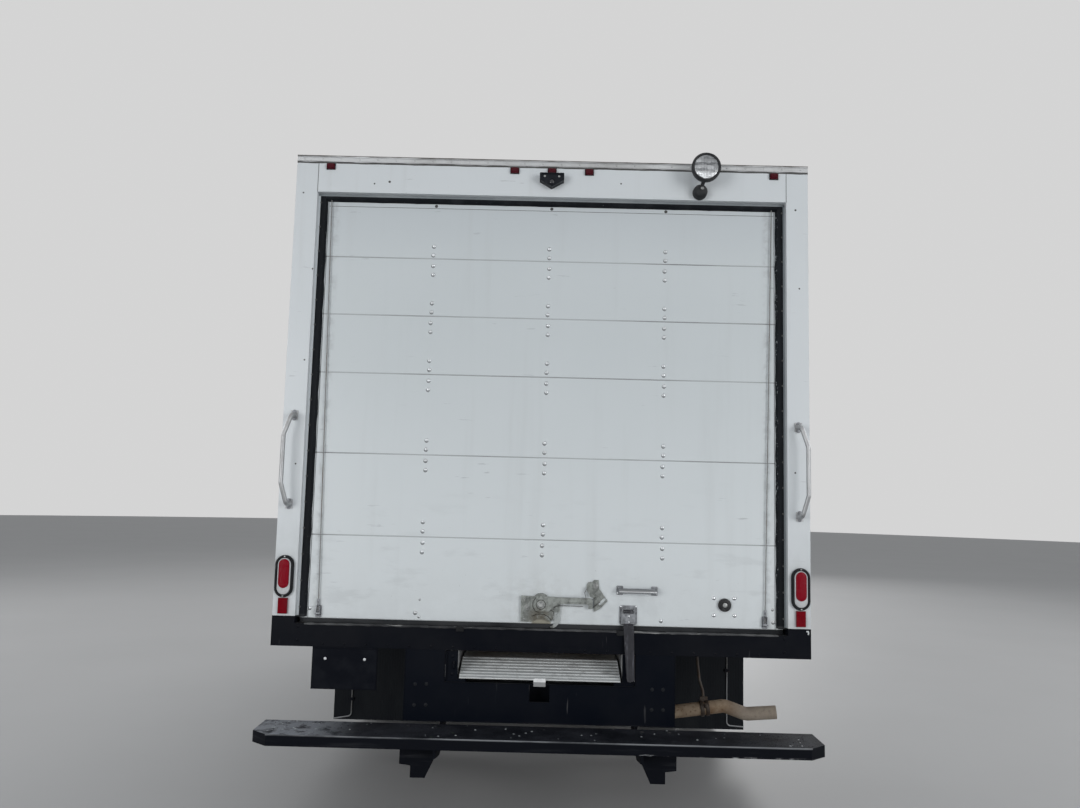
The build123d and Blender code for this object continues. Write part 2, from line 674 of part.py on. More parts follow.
def hinge_pocket(side, z):
    """Room round one door hinge, open to the outside."""
    x = side * HINGE_X
    rod((x, HINGE_Y, z - HINGE_HALF - 5), (x, HINGE_Y, z + HINGE_HALF + 5), HINGE_RADIUS + 6,
        mode=Mode.SUBTRACT)
    slab(x, x + side * 40, HINGE_Y - HINGE_RADIUS - 6, HINGE_Y + HINGE_RADIUS + 6,
         z - HINGE_HALF - 5, z + HINGE_HALF + 5, mode=Mode.SUBTRACT)


def wheel_arch(mode=Mode.SUBTRACT):
    """Round room over the front wheels, right across the truck."""
    rod((-BODY_HALF, FRONT_AXLE_Y, AXLE_Z), (BODY_HALF, FRONT_AXLE_Y, AXLE_Z), ARCH_RADIUS, mode=mode)


# cab shell: back wall, roof, pillars, rockers and cowl, with the door and screen openings cut
screen_plane = Plane(
    origin=(0, (COWL_Y + SCREEN_TOP_Y) / 2, (COWL_Z + SCREEN_TOP_Z) / 2),
    x_dir=(-1, 0, 0),
    z_dir=(0, 1, SCREEN_LEAN),
)
SCREEN_HEIGHT = hypot(COWL_Y - SCREEN_TOP_Y, SCREEN_TOP_Z - COWL_Z) - 90

with BuildPart() as cab_shell:
    add(CAB_SKIN)
    slab(-BODY_HALF, BODY_HALF, POST_FRONT_Y, FRONT_Y, 0, BELT_Z, mode=Mode.SUBTRACT)
    slab(-BODY_HALF, BODY_HALF, COWL_EDGE_Y, FRONT_Y, 0, BODY_TOP, mode=Mode.SUBTRACT)
    with BuildSketch(Plane.YZ):
        door_outline(SHUT_GAP, DOOR_BOTTOM - SHUT_GAP)
    extrude(amount=BODY_HALF, both=True, mode=Mode.SUBTRACT)
    with BuildSketch(screen_plane) as screen_opening:
        Trapezoid(SCREEN_WIDTH, SCREEN_HEIGHT, 82)
        fillet(screen_opening.vertices(), 45)
    extrude(amount=90, both=True, mode=Mode.SUBTRACT)
    wheel_arch()
    slab(-RAIL_OUTER - 20, RAIL_OUTER + 20, 0, BULKHEAD_Y, 0, RAIL_TOP + 12, mode=Mode.SUBTRACT)
    for _, side in SIDES:
        x = side * HOOD_HINGE_X
        rod((x - HOOD_EYE_HALF - 2, HOOD_HINGE_Y, HOOD_HINGE_Z),
            (x + HOOD_EYE_HALF + 2, HOOD_HINGE_Y, HOOD_HINGE_Z), HINGE_RADIUS + 6, mode=Mode.SUBTRACT)
        for s in (-1, 1):
            near = x + s * (HOOD_EYE_HALF + 1)
            far = x + s * (HOOD_EYE_HALF + 11)
            rod((near, HOOD_HINGE_Y, HOOD_HINGE_Z), (far, HOOD_HINGE_Y, HOOD_HINGE_Z), HINGE_RADIUS)
            slab(near, far, COWL_EDGE_Y - 8, HOOD_HINGE_Y, HOOD_HINGE_Z - 9, HOOD_HINGE_Z + 5)
        rod((x - HOOD_EYE_HALF - 11, HOOD_HINGE_Y, HOOD_HINGE_Z),
            (x + HOOD_EYE_HALF + 11, HOOD_HINGE_Y, HOOD_HINGE_Z), HINGE_PIN)
    for _, side in SIDES:
        for z in HINGE_HEIGHTS:
            hinge_pocket(side, z)
            x = side * HINGE_X
            for s in (-1, 1):
                near = z + s * (HINGE_EYE_HALF + 1)
                far = z + s * HINGE_HALF
                rod((x, HINGE_Y, near), (x, HINGE_Y, far), HINGE_RADIUS)
                slab(x - side * 9, x + side * 3, HINGE_Y, HINGE_Y + 22, near, far)
            rod((x, HINGE_Y, z - HINGE_HALF), (x, HINGE_Y, z + HINGE_HALF), HINGE_PIN)
save(cab_shell, "cab_shell")

with BuildPart() as windscreen:
    with BuildSketch(screen_plane.offset(-12)) as screen_glass:
        Trapezoid(SCREEN_WIDTH - 2 * GAP, SCREEN_HEIGHT - 2 * GAP, 82)
        fillet(screen_glass.vertices(), 45)
    extrude(amount=-GLASS)
save(windscreen, "windscreen")

# cab floor with the toe board, bulkhead and the engine cover between the seats
FLOOR_TOP = CAB_FLOOR_Z + CAB_FLOOR_THICK
COVER_HALF = 310.0
COVER_REAR_Y = ENGINE_REAR_Y - 420
COVER_TOP = 1080.0
SIDE_INNER = CAB_HALF - CAB_WALL

with BuildPart() as cab_floor:
    slab(-SIDE_INNER, SIDE_INNER, CAB_BACK + CAB_WALL, BULKHEAD_Y, CAB_FLOOR_Z, FLOOR_TOP)
    slab(-SIDE_INNER, SIDE_INNER, BULKHEAD_Y - 40, BULKHEAD_Y, CAB_FLOOR_Z, BELT_Z)
    with BuildSketch(Plane.YZ):
        with BuildLine():
            Polyline(
                (BULKHEAD_Y - 30, FLOOR_TOP),
                (COVER_REAR_Y, FLOOR_TOP),
                (COVER_REAR_Y + 60, COVER_TOP - 120),
                (COVER_REAR_Y + 160, COVER_TOP),
                (BULKHEAD_Y - 30, COVER_TOP + 60),
                close=True,
            )
        make_face()
    extrude(amount=COVER_HALF, both=True)
    fillet(cab_floor.edges().filter_by(Axis.Y).group_by(Axis.Z)[-1], 40)
    with BuildSketch(Plane.YZ):
        with BuildLine():
            Polyline(
                (BULKHEAD_Y - 40, FLOOR_TOP),
                (BULKHEAD_Y - 220, FLOOR_TOP),
                (BULKHEAD_Y - 40, FLOOR_TOP + 160),
                close=True,
            )
        make_face()
    extrude(amount=SIDE_INNER, both=True)
    for y in (CAB_BACK + 180, BULKHEAD_Y - 150):
        for _, side in SIDES:
            rod((side * (RAIL_OUTER - 36), y, RAIL_TOP), (side * (RAIL_OUTER - 36), y, CAB_FLOOR_Z + 5), 32)
save(cab_floor, "cab_floor")

# fenders: outer skin with the shoulder beside the hood, arch cut and lined
FENDER_FRONT_Y = NOSE_Y - NOSE_DEPTH
LINER = 6.0
with BuildPart() as front_fenders:
    add(CAB_SKIN)
    slab(-BODY_HALF, BODY_HALF, CAB_BACK - 10, POST_FRONT_Y + GAP, 0, BODY_TOP, mode=Mode.SUBTRACT)
    slab(-BODY_HALF, BODY_HALF, 0, COWL_EDGE_Y + GAP, BELT_Z, BODY_TOP, mode=Mode.SUBTRACT)
    slab(-BODY_HALF, BODY_HALF, FENDER_FRONT_Y, FRONT_Y, 0, BODY_TOP, mode=Mode.SUBTRACT)
    slab(-HOOD_HALF - SHUT_GAP, HOOD_HALF + SHUT_GAP, 0, FRONT_Y, 0, BODY_TOP, mode=Mode.SUBTRACT)
    for _, side in SIDES:
        x0 = side * 560
        x1 = side * (CAB_HALF - CAB_WALL + 10)
        rod((x0, FRONT_AXLE_Y, AXLE_Z), (x1, FRONT_AXLE_Y, AXLE_Z), ARCH_RADIUS + LINER)
    slab(-BODY_HALF, BODY_HALF, CAB_BACK, POST_FRONT_Y + GAP, 0, BODY_TOP, mode=Mode.SUBTRACT)
    slab(-BODY_HALF, BODY_HALF, 0, FRONT_Y, -AXLE_Z, CAB_BOTTOM, mode=Mode.SUBTRACT)
    wheel_arch()
save(front_fenders, "front_fenders")

# hood: top skin between the fenders, hinged at the cowl
BULGE = 14.0
BULGE_WIDTH = 900.0
BULGE_LENGTH = 500.0
HOOD_EDGE_Y = FENDER_FRONT_Y - SHUT_GAP
HOOD_EDGE_Z = COWL_Z - HOOD_SLOPE * (HOOD_EDGE_Y - COWL_Y)
HOOD_REACH = hypot(HOOD_EDGE_Y - HOOD_HINGE_Y, HOOD_EDGE_Z - HOOD_HINGE_Z)
with BuildPart() as hood:
    add(CAB_SKIN)
    slab(-BODY_HALF, BODY_HALF, CAB_BACK - 10, HOOD_REAR_Y, 0, BODY_TOP, mode=Mode.SUBTRACT)
    slab(-BODY_HALF, BODY_HALF, HOOD_EDGE_Y, FRONT_Y, 0, BODY_TOP, mode=Mode.SUBTRACT)
    slab(-BODY_HALF, BODY_HALF, 0, FRONT_Y, 0, 1080, mode=Mode.SUBTRACT)
    slab(-HOOD_HALF, HOOD_HALF, CAB_BACK, FRONT_Y, 0, BODY_TOP, mode=Mode.INTERSECT)
    # front edge round the hinge line, so that the hood lifts clear of the nose
    rod((-BODY_HALF, HOOD_HINGE_Y, HOOD_HINGE_Z), (BODY_HALF, HOOD_HINGE_Y, HOOD_HINGE_Z), HOOD_REACH,
        mode=Mode.INTERSECT)
    # raised middle, wider at the cowl, on the hood's slope
    middle_y = HOOD_REAR_Y + 60 + BULGE_LENGTH / 2
    middle_z = COWL_Z - HOOD_SLOPE * (middle_y - COWL_Y)
    with BuildSketch(Plane(origin=(0, middle_y, middle_z - 2), x_dir=(-1, 0, 0),
                           z_dir=(0, HOOD_SLOPE, 1))):
        Trapezoid(BULGE_WIDTH, BULGE_LENGTH, 83)
    extrude(amount=BULGE + 2, taper=50)
    for _, side in SIDES:
        x = side * HOOD_HINGE_X
        for s in (-1, 1):
            rod((x + s * (HOOD_EYE_HALF - 1), HOOD_HINGE_Y, HOOD_HINGE_Z),
                (x + s * (HOOD_EYE_HALF + 17), HOOD_HINGE_Y, HOOD_HINGE_Z), HINGE_RADIUS + 6,
                mode=Mode.SUBTRACT)
        ends = [(x + s * HOOD_EYE_HALF, HOOD_HINGE_Y, HOOD_HINGE_Z) for s in (-1, 1)]
        rod(*ends, HINGE_RADIUS)
        slab(x - HOOD_EYE_HALF, x + HOOD_EYE_HALF, HOOD_HINGE_Y, HOOD_REAR_Y + 12,
             HOOD_HINGE_Z - 9, HOOD_HINGE_Z + 5)
        rod(*ends, HINGE_PIN + RUNNING, mode=Mode.SUBTRACT)
save(hood, "hood")

# nose panel with its grille bars and lamp recesses, headlamps, and the bumper
GRILLE_HALF = 560.0
GRILLE_LOW = 830.0
GRILLE_HIGH = 1040.0
LAMP_X = 770.0
LAMP_WIDTH = 270.0
LAMP_HEIGHT = 175.0
LAMP_Z = (GRILLE_LOW + GRILLE_HIGH) / 2
NOSE_BOTTOM = 740.0
BAR_PITCH = 42.0
BAR = 12.0
with BuildPart() as grille:
    add(CAB_SKIN)
    slab(-BODY_HALF, BODY_HALF, CAB_BACK - 10, FENDER_FRONT_Y + GAP, 0, BODY_TOP, mode=Mode.SUBTRACT)
    slab(-BODY_HALF, BODY_HALF, 0, FRONT_Y, 0, NOSE_BOTTOM, mode=Mode.SUBTRACT)
    slab(-GRILLE_HALF, GRILLE_HALF, FENDER_FRONT_Y, FRONT_Y, GRILLE_LOW, GRILLE_HIGH,
         mode=Mode.SUBTRACT)
    for _, side in SIDES:
        x = side * LAMP_X
        slab(x - LAMP_WIDTH / 2, x + LAMP_WIDTH / 2, FENDER_FRONT_Y, FRONT_Y,
             LAMP_Z - LAMP_HEIGHT / 2, LAMP_Z + LAMP_HEIGHT / 2, mode=Mode.SUBTRACT)
    bar_y = NOSE_Y - CAB_WALL + 4
    for row in range(int((GRILLE_HIGH - GRILLE_LOW) / BAR_PITCH)):
        z = GRILLE_LOW + BAR_PITCH * (row + 0.75)
        slab(-GRILLE_HALF - 5, GRILLE_HALF + 5, bar_y, bar_y + 24, z, z + BAR)
    for column in (-0.6, -0.2, 0.2, 0.6):
        x = column * GRILLE_HALF
        slab(x - 8, x + 8, bar_y, bar_y + 20, GRILLE_LOW - 5, GRILLE_HIGH + 5)
save(grille, "grille")

with BuildPart() as headlamps:
    for _, side in SIDES:
        x = side * LAMP_X
        with BuildSketch(facing_back(NOSE_Y)):
            with Locations((x, LAMP_Z)):
                RectangleRounded(LAMP_WIDTH - 2 * GAP, LAMP_HEIGHT - 2 * GAP, 24)
        extrude(amount=NOSE_DEPTH - 20)
    add(CAB_OUTER, mode=Mode.INTERSECT)
save(headlamps, "headlamps")

BUMPER_HALF = 985.0
BUMPER_LOW = 440.0
BUMPER_HIGH = 700.0
BUMPER_WALL = 5.0
with BuildPart() as front_bumper:
    with BuildSketch(Plane.XY.offset(BUMPER_LOW)):
        with BuildLine():
            Line((-BUMPER_HALF, FRONT_Y - 140), (-BUMPER_HALF, FRONT_Y - 110))
            ThreePointArc((-BUMPER_HALF, FRONT_Y - 110), (-BUMPER_HALF + 26, FRONT_Y - 52),
                          (-BUMPER_HALF + 90, FRONT_Y - 22))
            ThreePointArc((-BUMPER_HALF + 90, FRONT_Y - 22), (0, FRONT_Y),
                          (BUMPER_HALF - 90, FRONT_Y - 22))
            ThreePointArc((BUMPER_HALF - 90, FRONT_Y - 22), (BUMPER_HALF - 26, FRONT_Y - 52),
                          (BUMPER_HALF, FRONT_Y - 110))
            Polyline((BUMPER_HALF, FRONT_Y - 110), (BUMPER_HALF, FRONT_Y - 140),
                     (-BUMPER_HALF, FRONT_Y - 140))
        make_face()
    extrude(amount=BUMPER_HIGH - BUMPER_LOW)
    fillet(front_bumper.edges().group_by(Axis.Z)[-1].filter_by_position(Axis.Y, FRONT_Y - 120, FRONT_Y), 18)
    back = front_bumper.faces().sort_by(Axis.Y)[0]
    offset(amount=-BUMPER_WALL, openings=back)
    for _, side in SIDES:
        slab(side * (RAIL_OUTER - 60), side * RAIL_OUTER, RAIL_FRONT_Y, FRONT_Y - 7,
             RAIL_TOP - RAIL_HEIGHT, RAIL_TOP - 20)
save(front_bumper, "front_bumper")

# cab doors: hollow panels with their glass and mirror
EYE_WEB = SHUT_GAP + HINGE_SET + 8
GLASS_DEPTH = 18.0
SIDE_LEAN = (CAB_HALF - ROOF_HALF - 80) / (ROOF_Z - 110 - BELT_Z)
MIRROR_X = 1200.0
MIRROR_Y = DOOR_FRONT_Y - 70
MIRROR_Z = 1540.0
MIRROR_WIDTH = 200.0
MIRROR_HEIGHT = 370.0
MIRROR_DEPTH = 70.0
MIRROR_FOOT_Y = DOOR_FRONT_Y - 31


def side_x(z):
    """Outer face of the cab's side above the belt, measured across the truck."""
    return CAB_HALF - (z - BELT_Z) * SIDE_LEAN


for name, side in SIDES:
    with BuildPart() as cab_door:
        add(CAB_SKIN)
        with BuildSketch(Plane.YZ):
            door_outline(0, DOOR_BOTTOM)
        extrude(amount=side * BODY_HALF, mode=Mode.INTERSECT)
        with BuildSketch(Plane.YZ):
            with BuildLine():
                top = DOOR_TOP - WINDOW_FRAME
                back = PILLAR_BACK + WINDOW_FRAME * hypot(1, SCREEN_LEAN)
                front = DOOR_FRONT_Y - WINDOW_FRAME
                Polyline(
                    (DOOR_REAR_Y + WINDOW_FRAME, WINDOW_SILL),
                    (front, WINDOW_SILL),
                    (front, screen_z(front + back)),
                    (screen_y(top) - back, top),
                    (DOOR_REAR_Y + WINDOW_FRAME, top),
                    close=True,
                )
            make_face()
        extrude(amount=side * BODY_HALF, mode=Mode.SUBTRACT)
        for z in HINGE_HEIGHTS:
            x = side * HINGE_X
            low = z - HINGE_EYE_HALF
            high = z + HINGE_EYE_HALF
            rod((x, HINGE_Y, low), (x, HINGE_Y, high), HINGE_RADIUS)
            slab(x - side * 9, x + side * 3, HINGE_Y - EYE_WEB, HINGE_Y, low, high)
            rod((x, HINGE_Y, low), (x, HINGE_Y, high), HINGE_PIN + RUNNING, mode=Mode.SUBTRACT)
    save(cab_door, f"cab_door_{name}")

for name, side in SIDES:
    with BuildPart() as door_glass:
        with BuildSketch(Plane.YZ):
            with BuildLine():
                top = DOOR_TOP - WINDOW_FRAME - GAP
                back = PILLAR_BACK + (WINDOW_FRAME + GAP) * hypot(1, SCREEN_LEAN)
                front = DOOR_FRONT_Y - WINDOW_FRAME - GAP
                Polyline(
                    (DOOR_REAR_Y + WINDOW_FRAME + GAP, WINDOW_SILL + GAP),
                    (front, WINDOW_SILL + GAP),
                    (front, screen_z(front + back)),
                    (screen_y(top) - back, top),
                    (DOOR_REAR_Y + WINDOW_FRAME + GAP, top),
                    close=True,
                )
            make_face()
        extrude(amount=side * BODY_HALF)
        with BuildSketch(Plane.XZ):
            with BuildLine():
                outer_low = side_x(WINDOW_SILL - 50) - GLASS_DEPTH
                outer_high = side_x(DOOR_TOP) - GLASS_DEPTH
                Polyline(
                    (side * outer_low, WINDOW_SILL - 50),
                    (side * outer_high, DOOR_TOP),
                    (side * (outer_high - GLASS), DOOR_TOP),
                    (side * (outer_low - GLASS), WINDOW_SILL - 50),
                    close=True,
                )
            make_face()
        extrude(amount=2 * OVERALL, both=True, mode=Mode.INTERSECT)
    save(door_glass, f"door_glass_{name}")

    x = side * MIRROR_X
    with BuildPart() as mirror:
        with BuildSketch(facing_back(MIRROR_Y + MIRROR_DEPTH / 2)):
            with Locations((x, MIRROR_Z)):
                RectangleRounded(MIRROR_WIDTH, MIRROR_HEIGHT, 34)
        extrude(amount=MIRROR_DEPTH)
        fillet(mirror.faces().sort_by(Axis.Y)[-1].edges(), 20)
        for z in (MIRROR_Z - 110, MIRROR_Z + 90):
            rod((side * 940, MIRROR_FOOT_Y, z), (x - side * MIRROR_WIDTH / 2 + side * 30, MIRROR_Y, z), 11)
            slab(side * 940, side * (CAB_HALF + 4), MIRROR_FOOT_Y - 22, MIRROR_FOOT_Y + 22, z - 20, z + 20)
        add(CAB_OUTER, mode=Mode.SUBTRACT)
    save(mirror, f"mirror_{name}")

# ---- cab interior ------------------------------------------------------------------------
SEAT_X = 560.0
SEAT_WIDTH = 500.0
SEAT_REAR_Y = CAB_BACK + 150
with BuildPart() as seats:
    for _, side in SIDES:
        with BuildSketch(Plane.YZ.offset(side * SEAT_X)):
            with BuildLine():
                Polyline(
                    (SEAT_REAR_Y + 110, FLOOR_TOP + GAP),
                    (SEAT_REAR_Y + 560, FLOOR_TOP + GAP),
                    (SEAT_REAR_Y + 620, FLOOR_TOP + 330),
                    (SEAT_REAR_Y + 560, FLOOR_TOP + 390),
                    (SEAT_REAR_Y + 190, FLOOR_TOP + 360),
                    (SEAT_REAR_Y + 90, FLOOR_TOP + 980),
                    (SEAT_REAR_Y, FLOOR_TOP + 980),
                    (SEAT_REAR_Y + 60, FLOOR_TOP + 260),
                    close=True,
                )
            make_face()
        extrude(amount=SEAT_WIDTH / 2, both=True)
save(seats, "seats")

DASH_HALF = 930.0
DASH_BACK = BULKHEAD_Y - 40 - GAP
with BuildPart() as dashboard:
    with BuildSketch(Plane.YZ):
        with BuildLine():
            Polyline(
                (DASH_BACK, COVER_TOP + 70),
                (DASH_BACK - 190, COVER_TOP + 90),
                (DASH_BACK - 235, COVER_TOP + 150),
            )
            ThreePointArc((DASH_BACK - 235, COVER_TOP + 150), (DASH_BACK - 190, COVER_TOP + 222),
                          (DASH_BACK - 110, COVER_TOP + 250))
            Polyline((DASH_BACK - 110, COVER_TOP + 250), (DASH_BACK, COVER_TOP + 250),
                     (DASH_BACK, COVER_TOP + 70))
        make_face()
    extrude(amount=DASH_HALF, both=True)
save(dashboard, "dashboard")

STEERING_X = -SEAT_X + 40
STEERING_RADIUS = 195.0
STEERING_TILT = 38.0
with BuildPart() as steering_wheel:
    hub = Vector(STEERING_X, DASH_BACK - 320, COVER_TOP + 250)
    lean = Vector(0, cos(radians(STEERING_TILT)), -sin(radians(STEERING_TILT)))
    with Locations(Plane(origin=hub, z_dir=lean)):
        Torus(STEERING_RADIUS, 14)
        with PolarLocations(STEERING_RADIUS / 2, 4, start_angle=45):
            Box(STEERING_RADIUS, 26, 10)
    rod(hub - lean * 24, hub + lean * 40, 52)
    rod(hub, hub + lean * 200, 30)
    add(dashboard.part, mode=Mode.SUBTRACT)
save(steering_wheel, "steering_wheel")

# ---- freight body: floor, walls, roof ----------------------------------------------------
BODY_WALL = 40.0
BOARD_TOP = 925.0
BOARD = 30.0
SILL_HEIGHT = 76.0
SILL_WIDTH = 50.0
SILL_PITCH = 305.0
SILL_LOW = BOARD_TOP - BOARD - SILL_HEIGHT
BOTTOM_RAIL_TOP = 952.0
TOP_RAIL_LOW = 3040.0
ROOF_SHEET_Z = 3082.0
REAR_FRAME_DEPTH = 90.0
POST_WIDTH = 103.0
HEADER_LOW = 2937.0
HEADER_DEPTH = 38.0
CORNER_RADIUS = 60.0
CORNER_RETURN = 110.0
SLEEPER_HALF_OUT = RAIL_OUTER
SLEEPER_WIDTH = 58.0
BODY_REAR_Y = REAR_Y + REAR_FRAME_DEPTH
SIDE_IN = BODY_HALF - BODY_WALL

with BuildPart() as box_floor:
    slab(-SIDE_IN, SIDE_IN, BODY_REAR_Y, BOX_FRONT_Y - BODY_WALL, BOARD_TOP - BOARD, BOARD_TOP)
save(box_floor, "box_floor")

# cross sills under the boards, one folded I section after another
SILL_COUNT = int((BOX_FRONT_Y - BODY_WALL - BODY_REAR_Y - SILL_WIDTH) / SILL_PITCH) + 1
SILL_WEB = 6.0
with BuildPart() as cross_sills:
    for sill in range(SILL_COUNT):
        y = BODY_REAR_Y + sill * SILL_PITCH + SILL_WIDTH / 2
        with BuildSketch(Plane.YZ.offset(-SIDE_IN)):
            with Locations((y, BOARD_TOP - BOARD - SILL_HEIGHT / 2)):
                Rectangle(SILL_WIDTH, SILL_HEIGHT)
            with Locations((y - SILL_WIDTH / 4 - SILL_WEB / 4, BOARD_TOP - BOARD - SILL_HEIGHT / 2),
                           (y + SILL_WIDTH / 4 + SILL_WEB / 4, BOARD_TOP - BOARD - SILL_HEIGHT / 2)):
                Rectangle(SILL_WIDTH / 2 - SILL_WEB / 2, SILL_HEIGHT - 2 * SILL_WEB, mode=Mode.SUBTRACT)
        extrude(amount=2 * SIDE_IN)
save(cross_sills, "cross_sills")

# long rails of the body: sleepers on the chassis, and the bottom rails along the sides
with BuildPart() as floor_rails:
    for _, side in SIDES:
        slab(side * SIDE_IN, side * BODY_HALF, BODY_REAR_Y, BOX_FRONT_Y - CORNER_RETURN,
             SILL_LOW, BOTTOM_RAIL_TOP)
        slab(side * (SLEEPER_HALF_OUT - SLEEPER_WIDTH), side * SLEEPER_HALF_OUT,
             BODY_REAR_Y, BOX_FRONT_Y - BODY_WALL - 30, RAIL_TOP, SILL_LOW)
save(floor_rails, "floor_rails")

with BuildPart() as side_walls:
    for _, side in SIDES:
        slab(side * SIDE_IN, side * BODY_HALF, BODY_REAR_Y, BOX_FRONT_Y - CORNER_RETURN,
             BOTTOM_RAIL_TOP, TOP_RAIL_LOW)
save(side_walls, "side_walls")

with BuildPart() as front_wall:
    with BuildSketch(Plane.XY.offset(SILL_LOW)):
        with Locations((0, BOX_FRONT_Y - CORNER_RETURN)):
            RectangleRounded(BODY_WIDTH, 2 * CORNER_RETURN, CORNER_RADIUS)
        with Locations((0, BOX_FRONT_Y - CORNER_RETURN)):
            Rectangle(2 * SIDE_IN, 2 * (CORNER_RETURN - BODY_WALL), mode=Mode.SUBTRACT)
        with Locations((0, BOX_FRONT_Y - 1.5 * CORNER_RETURN)):
            Rectangle(2 * BODY_WIDTH, CORNER_RETURN, mode=Mode.SUBTRACT)
    extrude(amount=TOP_RAIL_LOW - SILL_LOW)
save(front_wall, "front_wall")

with BuildPart() as box_roof:
    with BuildSketch(Plane.XY.offset(TOP_RAIL_LOW)):
        with Locations((0, BOX_FRONT_Y - CORNER_RETURN)):
            RectangleRounded(BODY_WIDTH, 2 * CORNER_RETURN, CORNER_RADIUS)
        with Locations((0, (BODY_REAR_Y + BOX_FRONT_Y - CORNER_RETURN) / 2)):
            Rectangle(BODY_WIDTH, BOX_FRONT_Y - CORNER_RETURN - BODY_REAR_Y)
        with Locations((0, (BODY_REAR_Y + BOX_FRONT_Y - BODY_WALL) / 2)):
            Rectangle(2 * SIDE_IN, BOX_FRONT_Y - BODY_WALL - BODY_REAR_Y, mode=Mode.SUBTRACT)
    extrude(amount=BODY_TOP - 14 - TOP_RAIL_LOW)
    slab(-SIDE_IN, SIDE_IN, BODY_REAR_Y, BOX_FRONT_Y - BODY_WALL, ROOF_SHEET_Z, ROOF_SHEET_Z + 12)
    slab(-BODY_HALF, BODY_HALF, REAR_Y, BODY_REAR_Y, ROOF_SHEET_Z, BODY_TOP)
save(box_roof, "box_roof")

# ---- rear frame: white posts and header round the door, black sill and corner shoes below ----
OPENING_HALF = BODY_HALF - POST_WIDTH
with BuildPart() as rear_frame:
    with BuildSketch(facing_back(BODY_REAR_Y)):
        with BuildLine():
            Polyline(
                (-BODY_HALF, BOTTOM_RAIL_TOP),
                (-BODY_HALF, ROOF_SHEET_Z),
                (BODY_HALF, ROOF_SHEET_Z),
                (BODY_HALF, BOTTOM_RAIL_TOP),
                (OPENING_HALF, BOTTOM_RAIL_TOP),
                (OPENING_HALF, HEADER_LOW),
                (-OPENING_HALF, HEADER_LOW),
                (-OPENING_HALF, BOTTOM_RAIL_TOP),
                close=True,
            )
        make_face()
    extrude(amount=REAR_FRAME_DEPTH)
    slab(-OPENING_HALF, OPENING_HALF, REAR_Y + HEADER_DEPTH, BODY_REAR_Y, HEADER_LOW,
         ROOF_SHEET_Z - 50, mode=Mode.SUBTRACT)
save(rear_frame, "rear_frame")

REAR_SILL_TOP = 920.0
with BuildPart() as rear_sill:
    slab(-BODY_HALF, BODY_HALF, REAR_Y, BODY_REAR_Y, SILL_LOW, REAR_SILL_TOP)
    for _, side in SIDES:
        slab(side * OPENING_HALF, side * BODY_HALF, REAR_Y, BODY_REAR_Y, SILL_LOW, BOTTOM_RAIL_TOP)
    slab(-BODY_HALF + 60, BODY_HALF - 60, REAR_Y + 8, BODY_REAR_Y, SILL_LOW, REAR_SILL_TOP - 8,
         mode=Mode.SUBTRACT)
    for x in (-SIDE_IN, -700, -240, 240, 700, SIDE_IN):
        slab(x - 4, x + 4, REAR_Y + 4, BODY_REAR_Y, SILL_LOW, REAR_SILL_TOP - 4)
save(rear_sill, "rear_sill")

# ---- roll-up door: six panels, hinged together inside, with rubber seals round the opening ----
DOOR_FACE_Y = REAR_Y + 45
PANEL = 28.0
DOOR_HALF = OPENING_HALF - 11
PANEL_JOINTS = (939.0, 1318.0, 1697.0, 2076.0, 2355.0, 2634.0, 2955.0)
JOINT = 2.0
HINGE_COLUMNS = (-556.0, -2.0, 550.0)
with BuildPart() as roll_door:
    for low, high in zip(PANEL_JOINTS[:-1], PANEL_JOINTS[1:]):
        with BuildSketch(Plane.YZ.offset(-DOOR_HALF)):
            with BuildLine():
                Polyline(
                    (DOOR_FACE_Y + 2, low + JOINT / 2),
                    (DOOR_FACE_Y, low + JOINT / 2 + 3),
                    (DOOR_FACE_Y, high - JOINT / 2 - 3),
                    (DOOR_FACE_Y + 2, high - JOINT / 2),
                    (DOOR_FACE_Y + PANEL, high - JOINT / 2),
                    (DOOR_FACE_Y + PANEL, low + JOINT / 2),
                    close=True,
                )
            make_face()
        extrude(amount=2 * DOOR_HALF)
    for z in PANEL_JOINTS[1:-1]:
        for x in HINGE_COLUMNS:
            slab(x - 32, x + 32, DOOR_FACE_Y + PANEL, DOOR_FACE_Y + PANEL + 4, z - 80, z + 80)
            rod((x - 32, DOOR_FACE_Y + PANEL + 4, z), (x + 32, DOOR_FACE_Y + PANEL + 4, z), 7)
save(roll_door, "roll_door")

SEAL_WIDTH = 34.0
SEAL_DEPTH = 14.0
with BuildPart() as door_seals:
    face = DOOR_FACE_Y - GAP
    for _, side in SIDES:
        slab(side * (OPENING_HALF - SEAL_WIDTH), side * OPENING_HALF, face - SEAL_DEPTH, face,
             REAR_SILL_TOP + 25, HEADER_LOW - 2)
    slab(-OPENING_HALF + SEAL_WIDTH + 1, OPENING_HALF - SEAL_WIDTH - 1, face - SEAL_DEPTH, face,
         HEADER_LOW - 25, HEADER_LOW)
    slab(-DOOR_HALF, DOOR_HALF, DOOR_FACE_Y + 2, DOOR_FACE_Y + PANEL - 2,
         REAR_SILL_TOP, PANEL_JOINTS[0] + JOINT / 2)
save(door_seals, "door_seals")

# ---- door latch: housing with its claw, lever on the pivot boss, and the keeper of the lever ----
LATCH_Y = DOOR_FACE_Y
PIVOT = (-3.0, 1028.0)
LATCH_PAN = 12.0           # face of the housing above the door
LATCH_SHEET = 4.0
CLAW = 7.0
CLAW_TIP_Z = REAR_SILL_TOP + 3
LEVER_DEPTH = 23.0
LEVER = 9.0


def on_door(depth=0.0):
    """Plane parallel to the door's outer face, a distance out from it, seen from behind."""
    return facing_back(LATCH_Y - depth)


